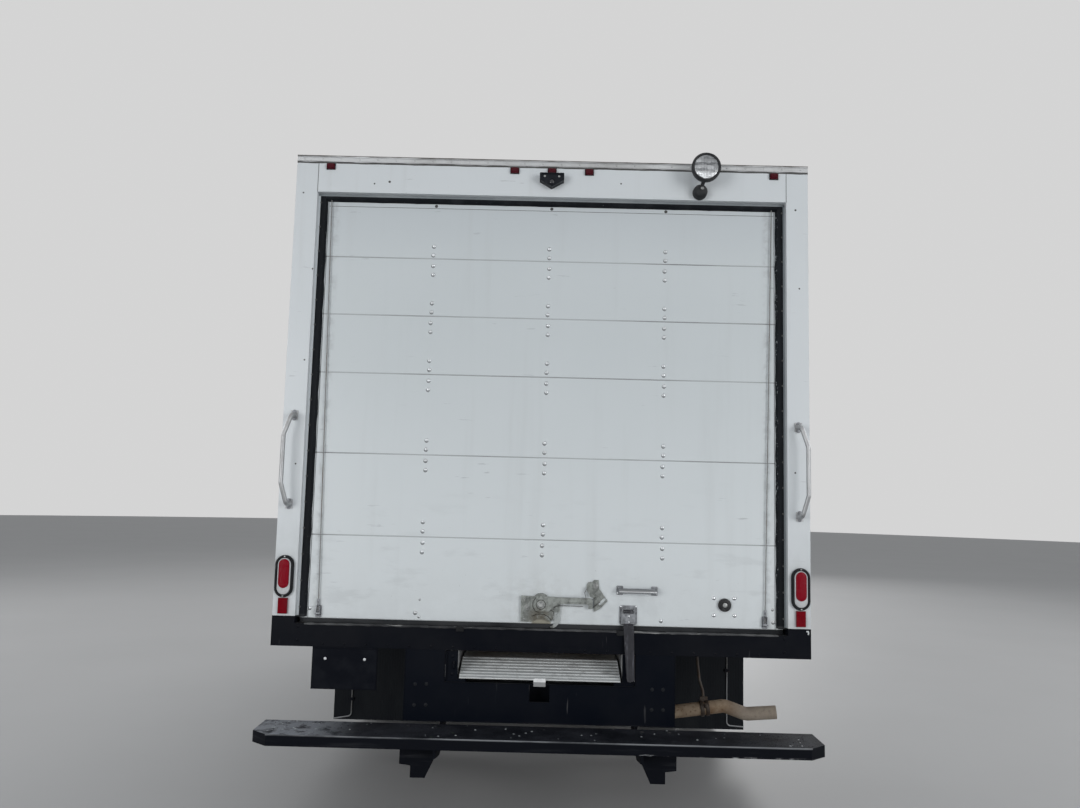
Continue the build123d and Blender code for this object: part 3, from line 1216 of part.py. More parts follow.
def latch_housing(grow):
    """Outline of the latch housing: a plate with a hump over the pivot and an arch below."""
    with BuildLine() as outline:
        Polyline((-94 - grow, 949 - grow), (-94 - grow, 1064 + grow), (-33, 1064 + grow))
        ThreePointArc((-33, 1064 + grow), (PIVOT[0], 1078 + grow), (27, 1064 + grow))
        Polyline(
            (27, 1064 + grow),
            (85 + grow, 1058 + grow),
            (85 + grow, 985),
            (48, 956 - grow),
            (40, 949 - grow),
        )
        ThreePointArc((40, 949 - grow), (PIVOT[0], 963 - grow), (-46, 949 - grow))
        Line((-46, 949 - grow), (-94 - grow, 949 - grow))
    make_face(outline.edges())


with BuildPart() as door_latch:
    # pressed housing, open to the door, with a foot all round
    with BuildSketch(on_door()) as housing:
        latch_housing(0)
    extrude(housing.sketch, amount=LATCH_PAN)
    with BuildSketch(on_door()) as hollow:
        latch_housing(-LATCH_SHEET)
    extrude(hollow.sketch, amount=LATCH_PAN - LATCH_SHEET, mode=Mode.SUBTRACT)
    # claw that hooks round the striker in the sill
    with BuildSketch(on_door()) as claw:
        with BuildLine():
            ThreePointArc((34, 1000), (86, 966), (44, CLAW_TIP_Z))
            Line((44, CLAW_TIP_Z), (40, CLAW_TIP_Z + 6))
            ThreePointArc((40, CLAW_TIP_Z + 6), (60, 958), (22, 972))
            Line((22, 972), (34, 1000))
        make_face()
        with Locations(PIVOT):
            Circle(34)
        with BuildLine():
            Polyline((PIVOT[0], PIVOT[1] + 20), (36, 1000), (20, 970), (PIVOT[0] - 30, PIVOT[1] - 12),
                     close=True)
        make_face()
    extrude(claw.sketch, amount=CLAW)
    rod((PIVOT[0], LATCH_Y, PIVOT[1]), (PIVOT[0], LATCH_Y - LATCH_PAN, PIVOT[1]), 15)
    # pivot boss, collar and bolt
    for radius, low, high in ((40, LATCH_PAN, LEVER_DEPTH - LEVER), (31, LATCH_PAN, LEVER_DEPTH + 2),
                              (20, LATCH_PAN, LEVER_DEPTH + 5), (13, LATCH_PAN, LEVER_DEPTH + 12)):
        rod((PIVOT[0], LATCH_Y - low + 1, PIVOT[1]), (PIVOT[0], LATCH_Y - high, PIVOT[1]), radius)
    # cranked lever
    with BuildSketch(on_door(LEVER_DEPTH - LEVER)) as lever:
        with BuildLine():
            Polyline((-6, 1066), (90, 1062), (214, 1062))
            ThreePointArc((214, 1062), (228, 1058), (234, 1044))
            Polyline((234, 1044), (234, 1014), (214, 1014), (214, 1034), (95, 1034))
            ThreePointArc((95, 1034), (62, 1024), (34, 996))
            Polyline((34, 996), (-30, 1000), (-6, 1066))
        make_face()
    extrude(lever.sketch, amount=LEVER)
    # keeper: plate on the door, forked round its bolt, with a slot for a padlock
    with BuildSketch(on_door()) as keeper:
        with BuildLine():
            Line((205, 1096), (205, 1118))
            ThreePointArc((205, 1118), (212, 1131), (230, 1132))
            Polyline((230, 1132), (239, 1143), (259, 1143), (263, 1104), (298, 1055))
            ThreePointArc((298, 1055), (300, 1049), (296, 1043))
            Polyline((296, 1043), (266, 1013), (240, 1000), (240, 1060), (222, 1068), (205, 1096))
        make_face()
        with Locations(Location((277, 1046), 45)):
            SlotOverall(42, 13, mode=Mode.SUBTRACT)
    extrude(keeper.sketch, amount=6)
    with BuildSketch(on_door()) as cheek:
        with BuildLine():
            Polyline((205, 1096), (205, 1112), (228, 1076), (222, 1068), close=True)
        make_face()
    extrude(cheek.sketch, amount=LEVER_DEPTH)
    rod((247, LATCH_Y, 1118), (247, LATCH_Y - 14, 1118), 9)
    rod((-66, LATCH_Y - LATCH_PAN + 1, 1014), (-66, LATCH_Y - LATCH_PAN - 7, 1014), 9)
save(door_latch, "door_latch")

# ---- door fittings: pull handle, strap bracket, lock and the lift-cable anchors ----------
HANDLE_Z = 1099.5
HANDLE_FEET = (357.0, 516.0)
STRAP_X = 397.0
STRAP_WIDTH = 48.0
STRAP = 4.0
POCKET_DEPTH = 12.0
POCKET_LOW = 950.0
POCKET_HIGH = 1018.0
POCKET_MOUTH = 997.0
STRAP_BAR_Z = 1009.0
STRAP_BAR = 3.0
LOCK = (837.0, 1045.0)
CABLE_FOOT_X = DOOR_HALF - 85
CABLE_FOOT_Z = 970.5
with BuildPart() as door_fittings:
    # pull handle: a bowed bar between two bolted feet
    with BuildSketch(on_door()):
        with Locations([(x, HANDLE_Z) for x in HANDLE_FEET]):
            RectangleRounded(30, 41, 5)
    extrude(amount=5)
    with BuildSketch(Plane.XY.offset(HANDLE_Z - 11)):
        with BuildLine():
            left, right = HANDLE_FEET
            Polyline(
                (left - 11, LATCH_Y - 4),
                (left - 7, LATCH_Y - 28),
                (left + 2, LATCH_Y - 36),
                (right - 2, LATCH_Y - 36),
                (right + 7, LATCH_Y - 28),
                (right + 11, LATCH_Y - 4),
                (right - 2, LATCH_Y - 4),
                (right - 6, LATCH_Y - 26),
                (left + 6, LATCH_Y - 26),
                (left + 2, LATCH_Y - 4),
                close=True,
            )
        make_face()
    extrude(amount=22)
    # strap bracket: plate, two cheeks with the bar that carries the strap, and the pocket face
    with BuildSketch(on_door()):
        with Locations((STRAP_X, POCKET_LOW + 38)):
            RectangleRounded(80, 88, 12)
    extrude(amount=4)
    cheek = STRAP_WIDTH / 2 + 1.5
    for _, side in SIDES:
        slab(STRAP_X + side * cheek, STRAP_X + side * (cheek + 6), LATCH_Y - POCKET_DEPTH - 3, LATCH_Y - 3,
             POCKET_LOW, POCKET_HIGH)
    slab(STRAP_X - cheek - 6, STRAP_X + cheek + 6, LATCH_Y - POCKET_DEPTH - 3, LATCH_Y - POCKET_DEPTH,
         POCKET_LOW, POCKET_MOUTH)
    strap_bar_y = LATCH_Y - POCKET_DEPTH + GAP + STRAP_BAR
    rod((STRAP_X - cheek - 1, strap_bar_y, STRAP_BAR_Z), (STRAP_X + cheek + 1, strap_bar_y, STRAP_BAR_Z),
        STRAP_BAR)
    # lock: body with its stepped bezel
    for radius, depth in ((29, 11), (23, 14)):
        with BuildSketch(on_door()):
            with Locations(LOCK):
                Circle(radius)
        extrude(amount=depth)
    # cable anchors: plate with the clevis pin
    for _, side in SIDES:
        x = side * CABLE_FOOT_X
        with BuildSketch(on_door()):
            with Locations((x, CABLE_FOOT_Z)):
                RectangleRounded(26, 55, 5)
        extrude(amount=4)
        rod((x - 9, LATCH_Y - 9, CABLE_FOOT_Z - 10.5), (x + 9, LATCH_Y - 9, CABLE_FOOT_Z - 10.5), 8)
save(door_fittings, "door_fittings")

CABLE_HEAD_X = DOOR_HALF - 51
CABLE_RADIUS = 2.5
with BuildPart() as lift_cables:
    for _, side in SIDES:
        rod((side * CABLE_FOOT_X, LATCH_Y - 9, CABLE_FOOT_Z - 1.5),
            (side * CABLE_HEAD_X, LATCH_Y - 9, HEADER_LOW - 26),
            CABLE_RADIUS)
save(lift_cables, "lift_cables")

with BuildPart() as pull_strap:
    inner = LATCH_Y - POCKET_DEPTH + GAP + STRAP
    strap_top = STRAP_BAR_Z - STRAP_BAR - GAP
    with BuildSketch(Plane.YZ.offset(STRAP_X - STRAP_WIDTH / 2)):
        with BuildLine():
            Polyline(
                (inner, strap_top),
                (inner, POCKET_LOW - 4.5),
                (REAR_Y - 2, 925),
                (REAR_Y - 6, 700),
                (REAR_Y - 6 - STRAP, 700),
                (REAR_Y - 6 - STRAP, 927),
                (inner - STRAP, POCKET_LOW - 1),
                (inner - STRAP, strap_top),
                close=True,
            )
        make_face()
    extrude(amount=STRAP_WIDTH)
save(pull_strap, "pull_strap")

# ---- lamps and fittings on the rear frame ------------------------------------------------
TAIL_X = BODY_HALF - 47
TAIL_LAMP_Z = 1129.0
with BuildPart() as tail_lamps:
    for _, side in SIDES:
        with BuildSketch(facing_back(REAR_Y)):
            with Locations((side * TAIL_X, TAIL_LAMP_Z)):
                SlotOverall(188, 84, rotation=90)
            with Locations((side * TAIL_X, 997)):
                Rectangle(43, 70)
        extrude(amount=10)
save(tail_lamps, "tail_lamps")

MARKER_Z = 3061.0
MARKER_X = (162.0 - BODY_HALF, -178.0, 0.0, 178.0, BODY_HALF - 162.0)
with BuildPart() as marker_lamps:
    with BuildSketch(facing_back(REAR_Y)):
        for x in MARKER_X:
            with Locations((x, MARKER_Z)):
                RectangleRounded(38, 27, 8)
    extrude(amount=12)
save(marker_lamps, "marker_lamps")

with BuildPart() as rear_camera:
    with BuildSketch(facing_back(REAR_Y)):
        with BuildLine():
            Polyline((-55, 3038), (55, 3038), (55, 3006), (0, 2974), (-55, 3006), close=True)
        make_face()
    extrude(amount=42)
save(rear_camera, "rear_camera")

LAMP_CENTRE = (717.0, REAR_Y - 92, 3061.0)
SPOT_RADIUS = 68.0
with BuildPart() as spot_lamp:
    with BuildSketch(Plane(origin=LAMP_CENTRE, x_dir=(0, 1, 0), z_dir=(1, 0, 0))):
        with BuildLine():
            Line((-18, 0), (-18, SPOT_RADIUS))
            Line((-18, SPOT_RADIUS), (0, SPOT_RADIUS))
            ThreePointArc((0, SPOT_RADIUS), (46, 42), (62, 0))
            Line((62, 0), (-18, 0))
        make_face()
    revolve(axis=Axis(LAMP_CENTRE, (0, 1, 0)))
    rod((704, REAR_Y, 2971), (704, REAR_Y - 30, 2971), 33)
    rod((704, REAR_Y - 24, 2971), (712, REAR_Y - 70, 3010), 9)
save(spot_lamp, "spot_lamp")

GRAB_X = BODY_HALF - 53
GRAB_LOW = 1440.0
GRAB_HIGH = 1880.0
with BuildPart() as grab_handles:
    for _, side in SIDES:
        with BuildLine() as bar:
            FilletPolyline(
                (side * GRAB_X, REAR_Y - 2, GRAB_HIGH - 15),
                (side * GRAB_X, REAR_Y - 50, GRAB_HIGH - 15),
                (side * (GRAB_X + 26), REAR_Y - 72, GRAB_HIGH - 110),
                (side * (GRAB_X + 26), REAR_Y - 72, GRAB_LOW + 110),
                (side * (GRAB_X + 4), REAR_Y - 50, GRAB_LOW + 15),
                (side * (GRAB_X + 4), REAR_Y - 2, GRAB_LOW + 15),
                radius=24,
            )
        with BuildSketch(Plane(origin=bar.line @ 0, z_dir=bar.line % 0)):
            Circle(10)
        sweep(path=bar.line)
        slab(side * (GRAB_X - 16), side * (GRAB_X + 16), REAR_Y - 5, REAR_Y, GRAB_HIGH - 36, GRAB_HIGH + 6)
        slab(side * (GRAB_X - 12), side * (GRAB_X + 20), REAR_Y - 5, REAR_Y, GRAB_LOW - 6, GRAB_LOW + 36)
save(grab_handles, "grab_handles")

PLATE_LEFT = -1029.0
PLATE_RIGHT = -733.0
PLATE_LOW = 633.0
PLATE_BOLT_Z = 767.0
PLATE_BOLT_SPACING = 178.0
with BuildPart() as licence_plate:
    slab(PLATE_LEFT, PLATE_RIGHT, REAR_Y + 4, REAR_Y + 7, PLATE_LOW, SILL_LOW)
    slab(PLATE_LEFT + 60, PLATE_RIGHT - 60, REAR_Y + 7, REAR_Y + 40, SILL_LOW - 4, SILL_LOW)
    for s in (-1, 1):
        x = (PLATE_LEFT + PLATE_RIGHT) / 2 + s * PLATE_BOLT_SPACING / 2
        rod((x, REAR_Y, PLATE_BOLT_Z), (x, REAR_Y + 10, PLATE_BOLT_Z), 3.5, mode=Mode.SUBTRACT)
save(licence_plate, "licence_plate")

# ---- ramp with its housing below the floor -----------------------------------------------
FACE_HALF = 609.0
FACE_LOW = 507.0
SLOT_HALF = 427.0
SLOT_LOW = 680.0
RAMP_HALF = 363.0
RAMP_LOW = 696.0
RAMP_THICK = 62.0
RAMP_LENGTH = 3000.0
RAMP_RAIL = 32.0
RAMP_DECK = 12.0
BEARER = 40.0
BEARER_PITCH = 440.0
TOE_LENGTH = 185.0
RIB = 4.0
RIB_COUNT = 7
TRACK = 6.0
with BuildPart() as ramp_housing:
    with BuildSketch(facing_back(REAR_Y + 8)):
        with Locations((0, (FACE_LOW + SILL_LOW) / 2)):
            Rectangle(2 * FACE_HALF, SILL_LOW - FACE_LOW)
        with Locations((0, (SLOT_LOW + SILL_LOW) / 2)):
            Rectangle(2 * SLOT_HALF, SILL_LOW - SLOT_LOW, mode=Mode.SUBTRACT)
        with Locations((0, 641)):
            Rectangle(90, 80, mode=Mode.SUBTRACT)
    extrude(amount=8)
    track_x = SLEEPER_HALF_OUT - SLEEPER_WIDTH
    for _, side in SIDES:
        slab(side * (track_x - 40), side * track_x, REAR_Y + 8, REAR_Y + RAMP_LENGTH,
             RAMP_LOW - GAP - TRACK, RAMP_LOW - GAP)
        slab(side * (track_x - 40), side * (SLOT_HALF + 20), REAR_Y + 8, REAR_Y + 60,
             RAIL_TOP, RAMP_LOW - GAP - TRACK)
save(ramp_housing, "ramp_housing")

# deck between two side rails, with bearers across below and ribs over the sloped toe
with BuildPart() as ramp:
    toe = REAR_Y + 1
    deck = RAMP_LOW + RAMP_THICK
    toe_angle = degrees(atan2(RAMP_THICK - 6, TOE_LENGTH))
    with BuildSketch(Plane.YZ.offset(-RAMP_HALF)):
        with BuildLine():
            Polyline(
                (toe, RAMP_LOW),
                (toe, RAMP_LOW + 6),
                (toe + TOE_LENGTH, deck),
                (toe + RAMP_LENGTH, deck),
                (toe + RAMP_LENGTH, RAMP_LOW),
                close=True,
            )
        make_face()
        for rib in range(RIB_COUNT):
            along = (rib + 0.8) / RIB_COUNT
            spot = (toe + along * TOE_LENGTH, RAMP_LOW + 6 + along * (RAMP_THICK - 6))
            with Locations(Location(spot, toe_angle)):
                Rectangle(9, 2 * RIB)
    extrude(amount=2 * RAMP_HALF)
    for bay in range(int((RAMP_LENGTH - TOE_LENGTH - BEARER) / BEARER_PITCH)):
        start = toe + TOE_LENGTH + BEARER + bay * BEARER_PITCH
        slab(-RAMP_HALF + RAMP_RAIL, RAMP_HALF - RAMP_RAIL, start, start + BEARER_PITCH - BEARER,
             RAMP_LOW - 1, deck - RAMP_DECK, mode=Mode.SUBTRACT)
    slab(-26, 25, REAR_Y - 2, REAR_Y + 1, 670, 702)
save(ramp, "ramp")

# ---- rear step and its brackets ----------------------------------------------------------
STEP_TOP = 496.0
STEP_THICK = 48.0
STEP_FRONT_Y = REAR_Y - 4
STEP_CUT_X = 72.0
STEP_CUT_Y = 59.0
with BuildPart() as step_bumper:
    with BuildSketch(Plane.XY.offset(STEP_TOP - STEP_THICK)):
        with BuildLine():
            back = REAR_Y - STEP_REACH
            Polyline(
                (-BODY_HALF, STEP_FRONT_Y),
                (-BODY_HALF, back + STEP_CUT_Y),
                (-BODY_HALF + STEP_CUT_X, back),
                (BODY_HALF - STEP_CUT_X, back),
                (BODY_HALF, back + STEP_CUT_Y),
                (BODY_HALF, STEP_FRONT_Y),
                close=True,
            )
        make_face()
    extrude(amount=STEP_THICK)
    offset(amount=-5, openings=step_bumper.faces().sort_by(Axis.Z)[0])
    step_low = STEP_TOP - STEP_THICK
    for _, side in SIDES:
        with BuildSketch(Plane.XZ.offset(-(REAR_Y - 70))):
            with BuildLine():
                Polyline(
                    (side * 597, step_low + 4),
                    (side * 597, 358),
                    (side * 549, 352),
                    (side * 549, 302),
                    (side * 485, 302),
                    (side * 437, 404),
                    (side * 437, step_low + 4),
                    close=True,
                )
            make_face()
        extrude(amount=60)
        with BuildSketch(Plane.YZ.offset(side * RAIL_OUTER if side > 0 else -RAIL_OUTER - 12)):
            with BuildLine():
                Polyline(
                    (REAR_Y - 220, step_low + 4),
                    (REAR_Y - 220, step_low - 40),
                    (REAR_Y - 60, 380),
                    (REAR_Y + 120, 420),
                    (REAR_Y + 330, 530),
                    (REAR_Y + 330, 640),
                    (REAR_Y + 50, 640),
                    (REAR_Y + 20, step_low + 30),
                    (REAR_Y - 20, step_low + 4),
                    close=True,
                )
            make_face()
        extrude(amount=12)
save(step_bumper, "step_bumper")

FLAP_OUTER = BODY_HALF - 7
FLAP_WIDTH = 610.0
FLAP_LOW = 180.0
FLAP = 9.0
with BuildPart() as mudflaps:
    y = BODY_REAR_Y + 4 * SILL_PITCH
    for _, side in SIDES:
        slab(side * (FLAP_OUTER - FLAP_WIDTH), side * FLAP_OUTER, y, y + FLAP, FLAP_LOW, SILL_LOW)
save(mudflaps, "mudflaps")
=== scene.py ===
import random
from math import cos, exp, pi, radians, sin

import bmesh
import bpy
from mathutils import Matrix, Vector


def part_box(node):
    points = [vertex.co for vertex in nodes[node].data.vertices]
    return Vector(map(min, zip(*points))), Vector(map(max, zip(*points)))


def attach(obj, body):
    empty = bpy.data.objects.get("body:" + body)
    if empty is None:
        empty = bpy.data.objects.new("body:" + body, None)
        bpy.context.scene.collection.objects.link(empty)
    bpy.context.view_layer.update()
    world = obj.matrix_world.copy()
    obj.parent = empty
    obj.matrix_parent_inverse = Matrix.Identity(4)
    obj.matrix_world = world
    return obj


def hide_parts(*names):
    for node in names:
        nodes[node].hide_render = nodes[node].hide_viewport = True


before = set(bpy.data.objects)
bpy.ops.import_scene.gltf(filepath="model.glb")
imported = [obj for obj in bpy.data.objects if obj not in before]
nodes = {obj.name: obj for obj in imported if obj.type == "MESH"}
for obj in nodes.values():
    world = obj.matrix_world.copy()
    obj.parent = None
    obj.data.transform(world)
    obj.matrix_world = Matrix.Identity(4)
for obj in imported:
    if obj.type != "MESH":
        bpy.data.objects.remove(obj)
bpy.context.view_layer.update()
chance = random.Random(11)

# ---- View --------------------------------------------------------------------
# Seen squarely from behind, close enough for strong perspective, with the camera at about
# the height of a standing person's eyes, tipped up a little and not quite level.
VIEWED_FROM = Vector((-0.008, -7.203, 1.512))
YAW = radians(-0.31)
PITCH = radians(6.09)
ROLL = radians(1.45)


def stand(name, data):
    """A new object in the scene."""
    made = bpy.data.objects.new(name, data)
    bpy.context.scene.collection.objects.link(made)
    return made


ahead = Vector((sin(YAW) * cos(PITCH), cos(YAW) * cos(PITCH), sin(PITCH)))
level = Vector((cos(YAW), -sin(YAW), 0))
upright = level.cross(ahead)
lens = bpy.data.cameras.new("view")
lens.lens = 29.27
lens.sensor_width = 36.0
lens.clip_end = 200.0
camera = stand("view", lens)
turned = Matrix((
    level * cos(ROLL) + upright * sin(ROLL),
    upright * cos(ROLL) - level * sin(ROLL),
    -ahead,
)).transposed()
camera.matrix_world = Matrix.Translation(VIEWED_FROM) @ turned.to_4x4()
bpy.context.scene.camera = camera
bpy.context.scene.view_settings.view_transform = "Standard"


# ---- Floor and light ---------------------------------------------------------
# A wide pale grey studio floor under an even sky, with one broad soft lamp over each side
# of the truck, so that every side is lit as by a bright overcast day.
class Wire:
    """A socket of a material's nodes. Sums and products of wires add the nodes that work them out."""

    def __init__(self, tree, socket=None):
        self.tree = tree
        self.socket = socket

    def node(self, kind, settings, values, outlet):
        """Add a node of that type: its settings first, then its inputs, and return one output."""
        made = self.tree.nodes.new("ShaderNode" + kind)
        for key, value in settings.items():
            setattr(made, key, value)
        for key, value in values.items():
            inlet = made.inputs[key]
            if isinstance(value, Wire):
                self.tree.links.new(value.socket, inlet)
            elif inlet.type == "RGBA":
                inlet.default_value = (*value, 1.0)
            else:
                inlet.default_value = value
        return Wire(self.tree, made.outputs[outlet])

    def reckon(self, operation, first, second):
        kind = "VectorMath" if self.socket.type == "VECTOR" else "Math"
        return self.node(kind, {"operation": operation}, {0: first, 1: second}, 0)

    def __add__(self, other):
        return self.reckon("ADD", self, other)

    __radd__ = __add__

    def __sub__(self, other):
        return self.reckon("SUBTRACT", self, other)

    def __rsub__(self, other):
        return self.reckon("SUBTRACT", other, self)

    def __mul__(self, other):
        return self.reckon("MULTIPLY", self, other)

    __rmul__ = __mul__

    def axis(self, name):
        return self.node("SeparateXYZ", {}, {0: self}, name)

    @property
    def x(self):
        return self.axis("X")

    @property
    def y(self):
        return self.axis("Y")

    @property
    def z(self):
        return self.axis("Z")

    def away(self, point):
        """Distance from a point."""
        return self.node("VectorMath", {"operation": "DISTANCE"}, {0: self, 1: point}, "Value")

    def outward(self):
        """Direction that the surface faces."""
        return self.node("NewGeometry", {}, {}, "Normal")

    def size(self):
        """The value without its sign."""
        return self.reckon("ABSOLUTE", self, 0.0)

    def wave(self):
        return self.reckon("SINE", self, 0.0)

    def most(self, other):
        return self.reckon("MAXIMUM", self, other)

    def rise(self, low, high):
        """0 below low and 1 above high, with a smooth step between. It falls where low is over high."""
        settings = {"interpolation_type": "SMOOTHSTEP"}
        if low < high:
            return self.node("MapRange", settings, {0: self, 1: low, 2: high}, 0)
        return 1 - self.node("MapRange", settings, {0: self, 1: high, 2: low}, 0)

    def blend(self, first, second):
        """Colour that goes from first to second as this wire goes from 0 to 1."""
        return self.node("Mix", {"data_type": "RGBA"}, {0: self, 6: first, 7: second}, 2)


def begin(name):
    """Start a material: a wire that carries the place on the truck in metres."""
    material = bpy.data.materials.new(name)
    material.use_nodes = True
    material.node_tree.nodes.clear()
    place = Wire(material.node_tree).node("TexCoord", {}, {}, "Object")
    place.material = material
    return place


def close(place, colour, rough, relief=None, depth=0.001, edge=0.0, **fixed):
    """Finish a material: colour, roughness, a relief of some depth and edges rounded by a radius."""
    values = {"Base Color": colour, "Roughness": rough}
    for key, value in fixed.items():
        values[key.replace("_", " ").title().replace("Ior", "IOR")] = value
    smooth = place.node("Bevel", {"samples": 4}, {"Radius": edge}, 0) if edge else None
    if relief is not None:
        bump = {"Height": relief, "Distance": depth}
        if smooth:
            bump["Normal"] = smooth
        smooth = place.node("Bump", {}, bump, 0)
    if smooth:
        values["Normal"] = smooth
    shader = place.node("BsdfPrincipled", {}, values, 0)
    end = place.tree.nodes.new("ShaderNodeOutputMaterial")
    place.tree.links.new(shader.socket, end.inputs["Surface"])
    return place.material


def cloud(place, scale, detail=3.0, rough=0.55):
    """Soft random value from 0 to 1, with features about 1/scale metres wide."""
    values = {"Vector": place, "Scale": scale, "Detail": detail, "Roughness": rough}
    return place.node("TexNoise", {}, values, 0)


FLOOR_REACH = 45.0
floor_mesh = bpy.data.meshes.new("studio_floor")
floor_rim = [(FLOOR_REACH * cos(n * pi / 32), FLOOR_REACH * sin(n * pi / 32), 0.0) for n in range(64)]
floor_mesh.from_pydata(floor_rim, [], [list(range(64))])
stand("studio_floor", floor_mesh)
place = begin("studio_floor")
floor_tone = cloud(place, 0.7, 4.0).blend((0.3, 0.3, 0.302), (0.34, 0.34, 0.342))
floor_mesh.materials.append(close(place, floor_tone, 0.55))

sky = bpy.data.worlds.new("studio")
sky.use_nodes = True
sky.node_tree.nodes.clear()
air = Wire(sky.node_tree)
ray = air.node("LightPath", {}, {}, "Is Camera Ray")
gloss = air.node("LightPath", {}, {}, "Is Glossy Ray")
through = air.node("LightPath", {}, {}, "Is Transmission Ray")
soft = air.node("Background", {}, {"Color": (0.88, 0.94, 1.0), "Strength": 0.36}, 0)
pale = air.node("Background", {}, {"Color": (0.66, 0.66, 0.66), "Strength": 1.0}, 0)
seen = air.node("MixShader", {}, {0: ray.most(gloss).most(through), 1: soft, 2: pale}, 0)
world_end = sky.node_tree.nodes.new("ShaderNodeOutputWorld")
sky.node_tree.links.new(seen.socket, world_end.inputs["Surface"])
bpy.context.scene.world = sky

# name, place, point it faces, width, power
LAMPS = (
    ("rear_left_lamp", (-6.0, -11.0, 2.2), (0, -3, 1.1), 5.0, 290),
    ("rear_right_lamp", (6.5, -10.5, 2.6), (0, -3, 1.1), 5.0, 290),
    ("left_lamp", (-10.0, 1.0, 5.5), (0, 0, 1.3), 6.0, 320),
    ("right_lamp", (10.0, -1.0, 5.5), (0, 0, 1.3), 6.0, 310),
    ("front_lamp", (2.5, 11.5, 5.0), (0, 3, 1.2), 5.0, 370),
    ("top_lamp", (0.0, 0.0, 11.0), (0, 0, 0), 8.0, 385),
)
for lamp_name, lamp_place, lamp_aim, lamp_width, lamp_power in LAMPS:
    light = bpy.data.lights.new(lamp_name, "AREA")
    light.shape = "DISK"
    light.size = lamp_width
    light.energy = lamp_power
    lamp = stand(lamp_name, light)
    lamp.location = lamp_place
    lamp.rotation_euler = (Vector(lamp_aim) - Vector(lamp_place)).to_track_quat("-Z", "Y").to_euler()


# ---- Chassis frame -----------------------------------------------------------
# Two pressed channel rails with riveted crossmembers, dipped in black chassis paint. Road
# dust lies on what faces up and rust has started where stones have struck.
UP = Vector((0, 0, 1))
BACK = Vector((0, -1, 0))
FRONT = Vector((0, 1, 0))
RIGHT = Vector((1, 0, 0))


def facing(out, at=(0, 0, 0), up=UP):
    """Place for work on a face: local z points out of it, local y up along it, from a point."""
    out = Vector(out).normalized()
    across = Vector(up).cross(out).normalized()
    turn = Matrix((across, out.cross(across), out)).transposed()
    return Matrix.Translation(Vector(at)) @ turn.to_4x4()


class Shape:
    """Surface that is gathered bit by bit and then made into one piece of the truck."""

    def __init__(self):
        self.points = []
        self.faces = []

    def add(self, points, faces, place=Matrix()):
        start = len(self.points)
        self.points += [place @ Vector(p) for p in points]
        self.faces += [[start + n for n in face] for face in faces]

    def rings(self, rings, place=Matrix(), closed=False):
        """Skin between like rings of points, with its ends shut unless it closes on itself."""
        count = len(rings[0])
        points = [p for ring in rings for p in ring]
        faces = []
        for row in range(len(rings) - (not closed)):
            for n in range(count):
                a = row * count + n
                b = row * count + (n + 1) % count
                c = (b + count) % len(points)
                d = (a + count) % len(points)
                faces.append((a, b, c, d))
        if not closed:
            faces.append(tuple(reversed(range(count))))
            faces.append(tuple(range(len(points) - count, len(points))))
        self.add(points, faces, place)

    def turned(self, place, profile, steps=20):
        """A profile of (radius, height) turned about local z."""
        spokes = [(cos(2 * pi * n / steps), sin(2 * pi * n / steps)) for n in range(steps)]
        self.rings([[(r * x, r * y, h) for x, y in spokes] for r, h in profile], place)

    def prism(self, place, outline, low, high):
        """An outline in local x and y, solid between two heights."""
        self.rings([[(x, y, h) for x, y in outline] for h in (low, high)], place)

    def slab(self, corner, opposite, place=Matrix()):
        (x0, x1), (y0, y1), (z0, z1) = (sorted(pair) for pair in zip(corner, opposite))
        self.prism(place, ((x0, y0), (x1, y0), (x1, y1), (x0, y1)), z0, z1)

    def bar(self, path, radius, steps=10, closed=False, flat=1.0, place=Matrix()):
        """Round bar along a path of points, or an oval one that is flat times as thick as wide."""
        path = [place @ Vector(p) for p in path]
        last = len(path) - 1
        side = None
        rings = []
        for n, point in enumerate(path):
            before = path[n - 1] if n or closed else point
            after = path[(n + 1) % len(path)] if n < last or closed else point
            run = (after - before).normalized()
            if side is None:
                side = run.orthogonal().normalized()
            side = (side - run * side.dot(run)).normalized()
            other = run.cross(side) * flat
            turns = [2 * pi * k / steps for k in range(steps)]
            rings.append([point + side * radius * cos(a) + other * radius * sin(a) for a in turns])
        self.rings(rings, closed=closed)

    def piece(self, name, slot, material, body="chassis", round=0.0, sharp=35, levels=0):
        """Make the gathered surface into a piece that rides on a body."""
        mesh = bpy.data.meshes.new(name)
        mesh.from_pydata(self.points, [], self.faces)
        work = bmesh.new()
        work.from_mesh(mesh)
        bmesh.ops.remove_doubles(work, verts=work.verts, dist=1e-6)
        bmesh.ops.recalc_face_normals(work, faces=work.faces)
        work.to_mesh(mesh)
        work.free()
        mesh.shade_smooth()
        mesh.set_sharp_from_angle(angle=radians(sharp))
        mesh.materials.append(material)
        made = stand(name, mesh)
        if round:
            bevel = made.modifiers.new("rounded", "BEVEL")
            bevel.width = round
            bevel.segments = 2
            bevel.limit_method = "ANGLE"
            bevel.harden_normals = True
        if levels:
            swell = made.modifiers.new("smooth", "SUBSURF")
            swell.levels = levels
            swell.render_levels = levels
        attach(made, body)
        return made


def dome(shape, place, radius, height):
    """Round head of a bolt or rivet on local z."""
    shape.turned(place, [(radius * cos(a), height * sin(a)) for a in (0, 0.5, 1.0, 1.35, pi / 2)], 10)


def hexagon(shape, place, radius, height):
    """Hexagon nut with its stud and washer on local z."""
    shape.turned(place, [(radius * 1.5, 0), (radius * 1.5, height * 0.2), (radius * 0.9, height * 0.22)], 16)
    shape.turned(place, [(radius, height * 0.2), (radius, height * 0.85), (radius * 0.8, height)], 6)
    shape.turned(place, [(radius * 0.45, height), (radius * 0.45, height * 1.4), (0, height * 1.45)], 8)


def dress(material, *names):
    """Give CAD nodes their finish."""
    for name in names:
        nodes[name].data.materials.clear()
        nodes[name].data.materials.append(material)


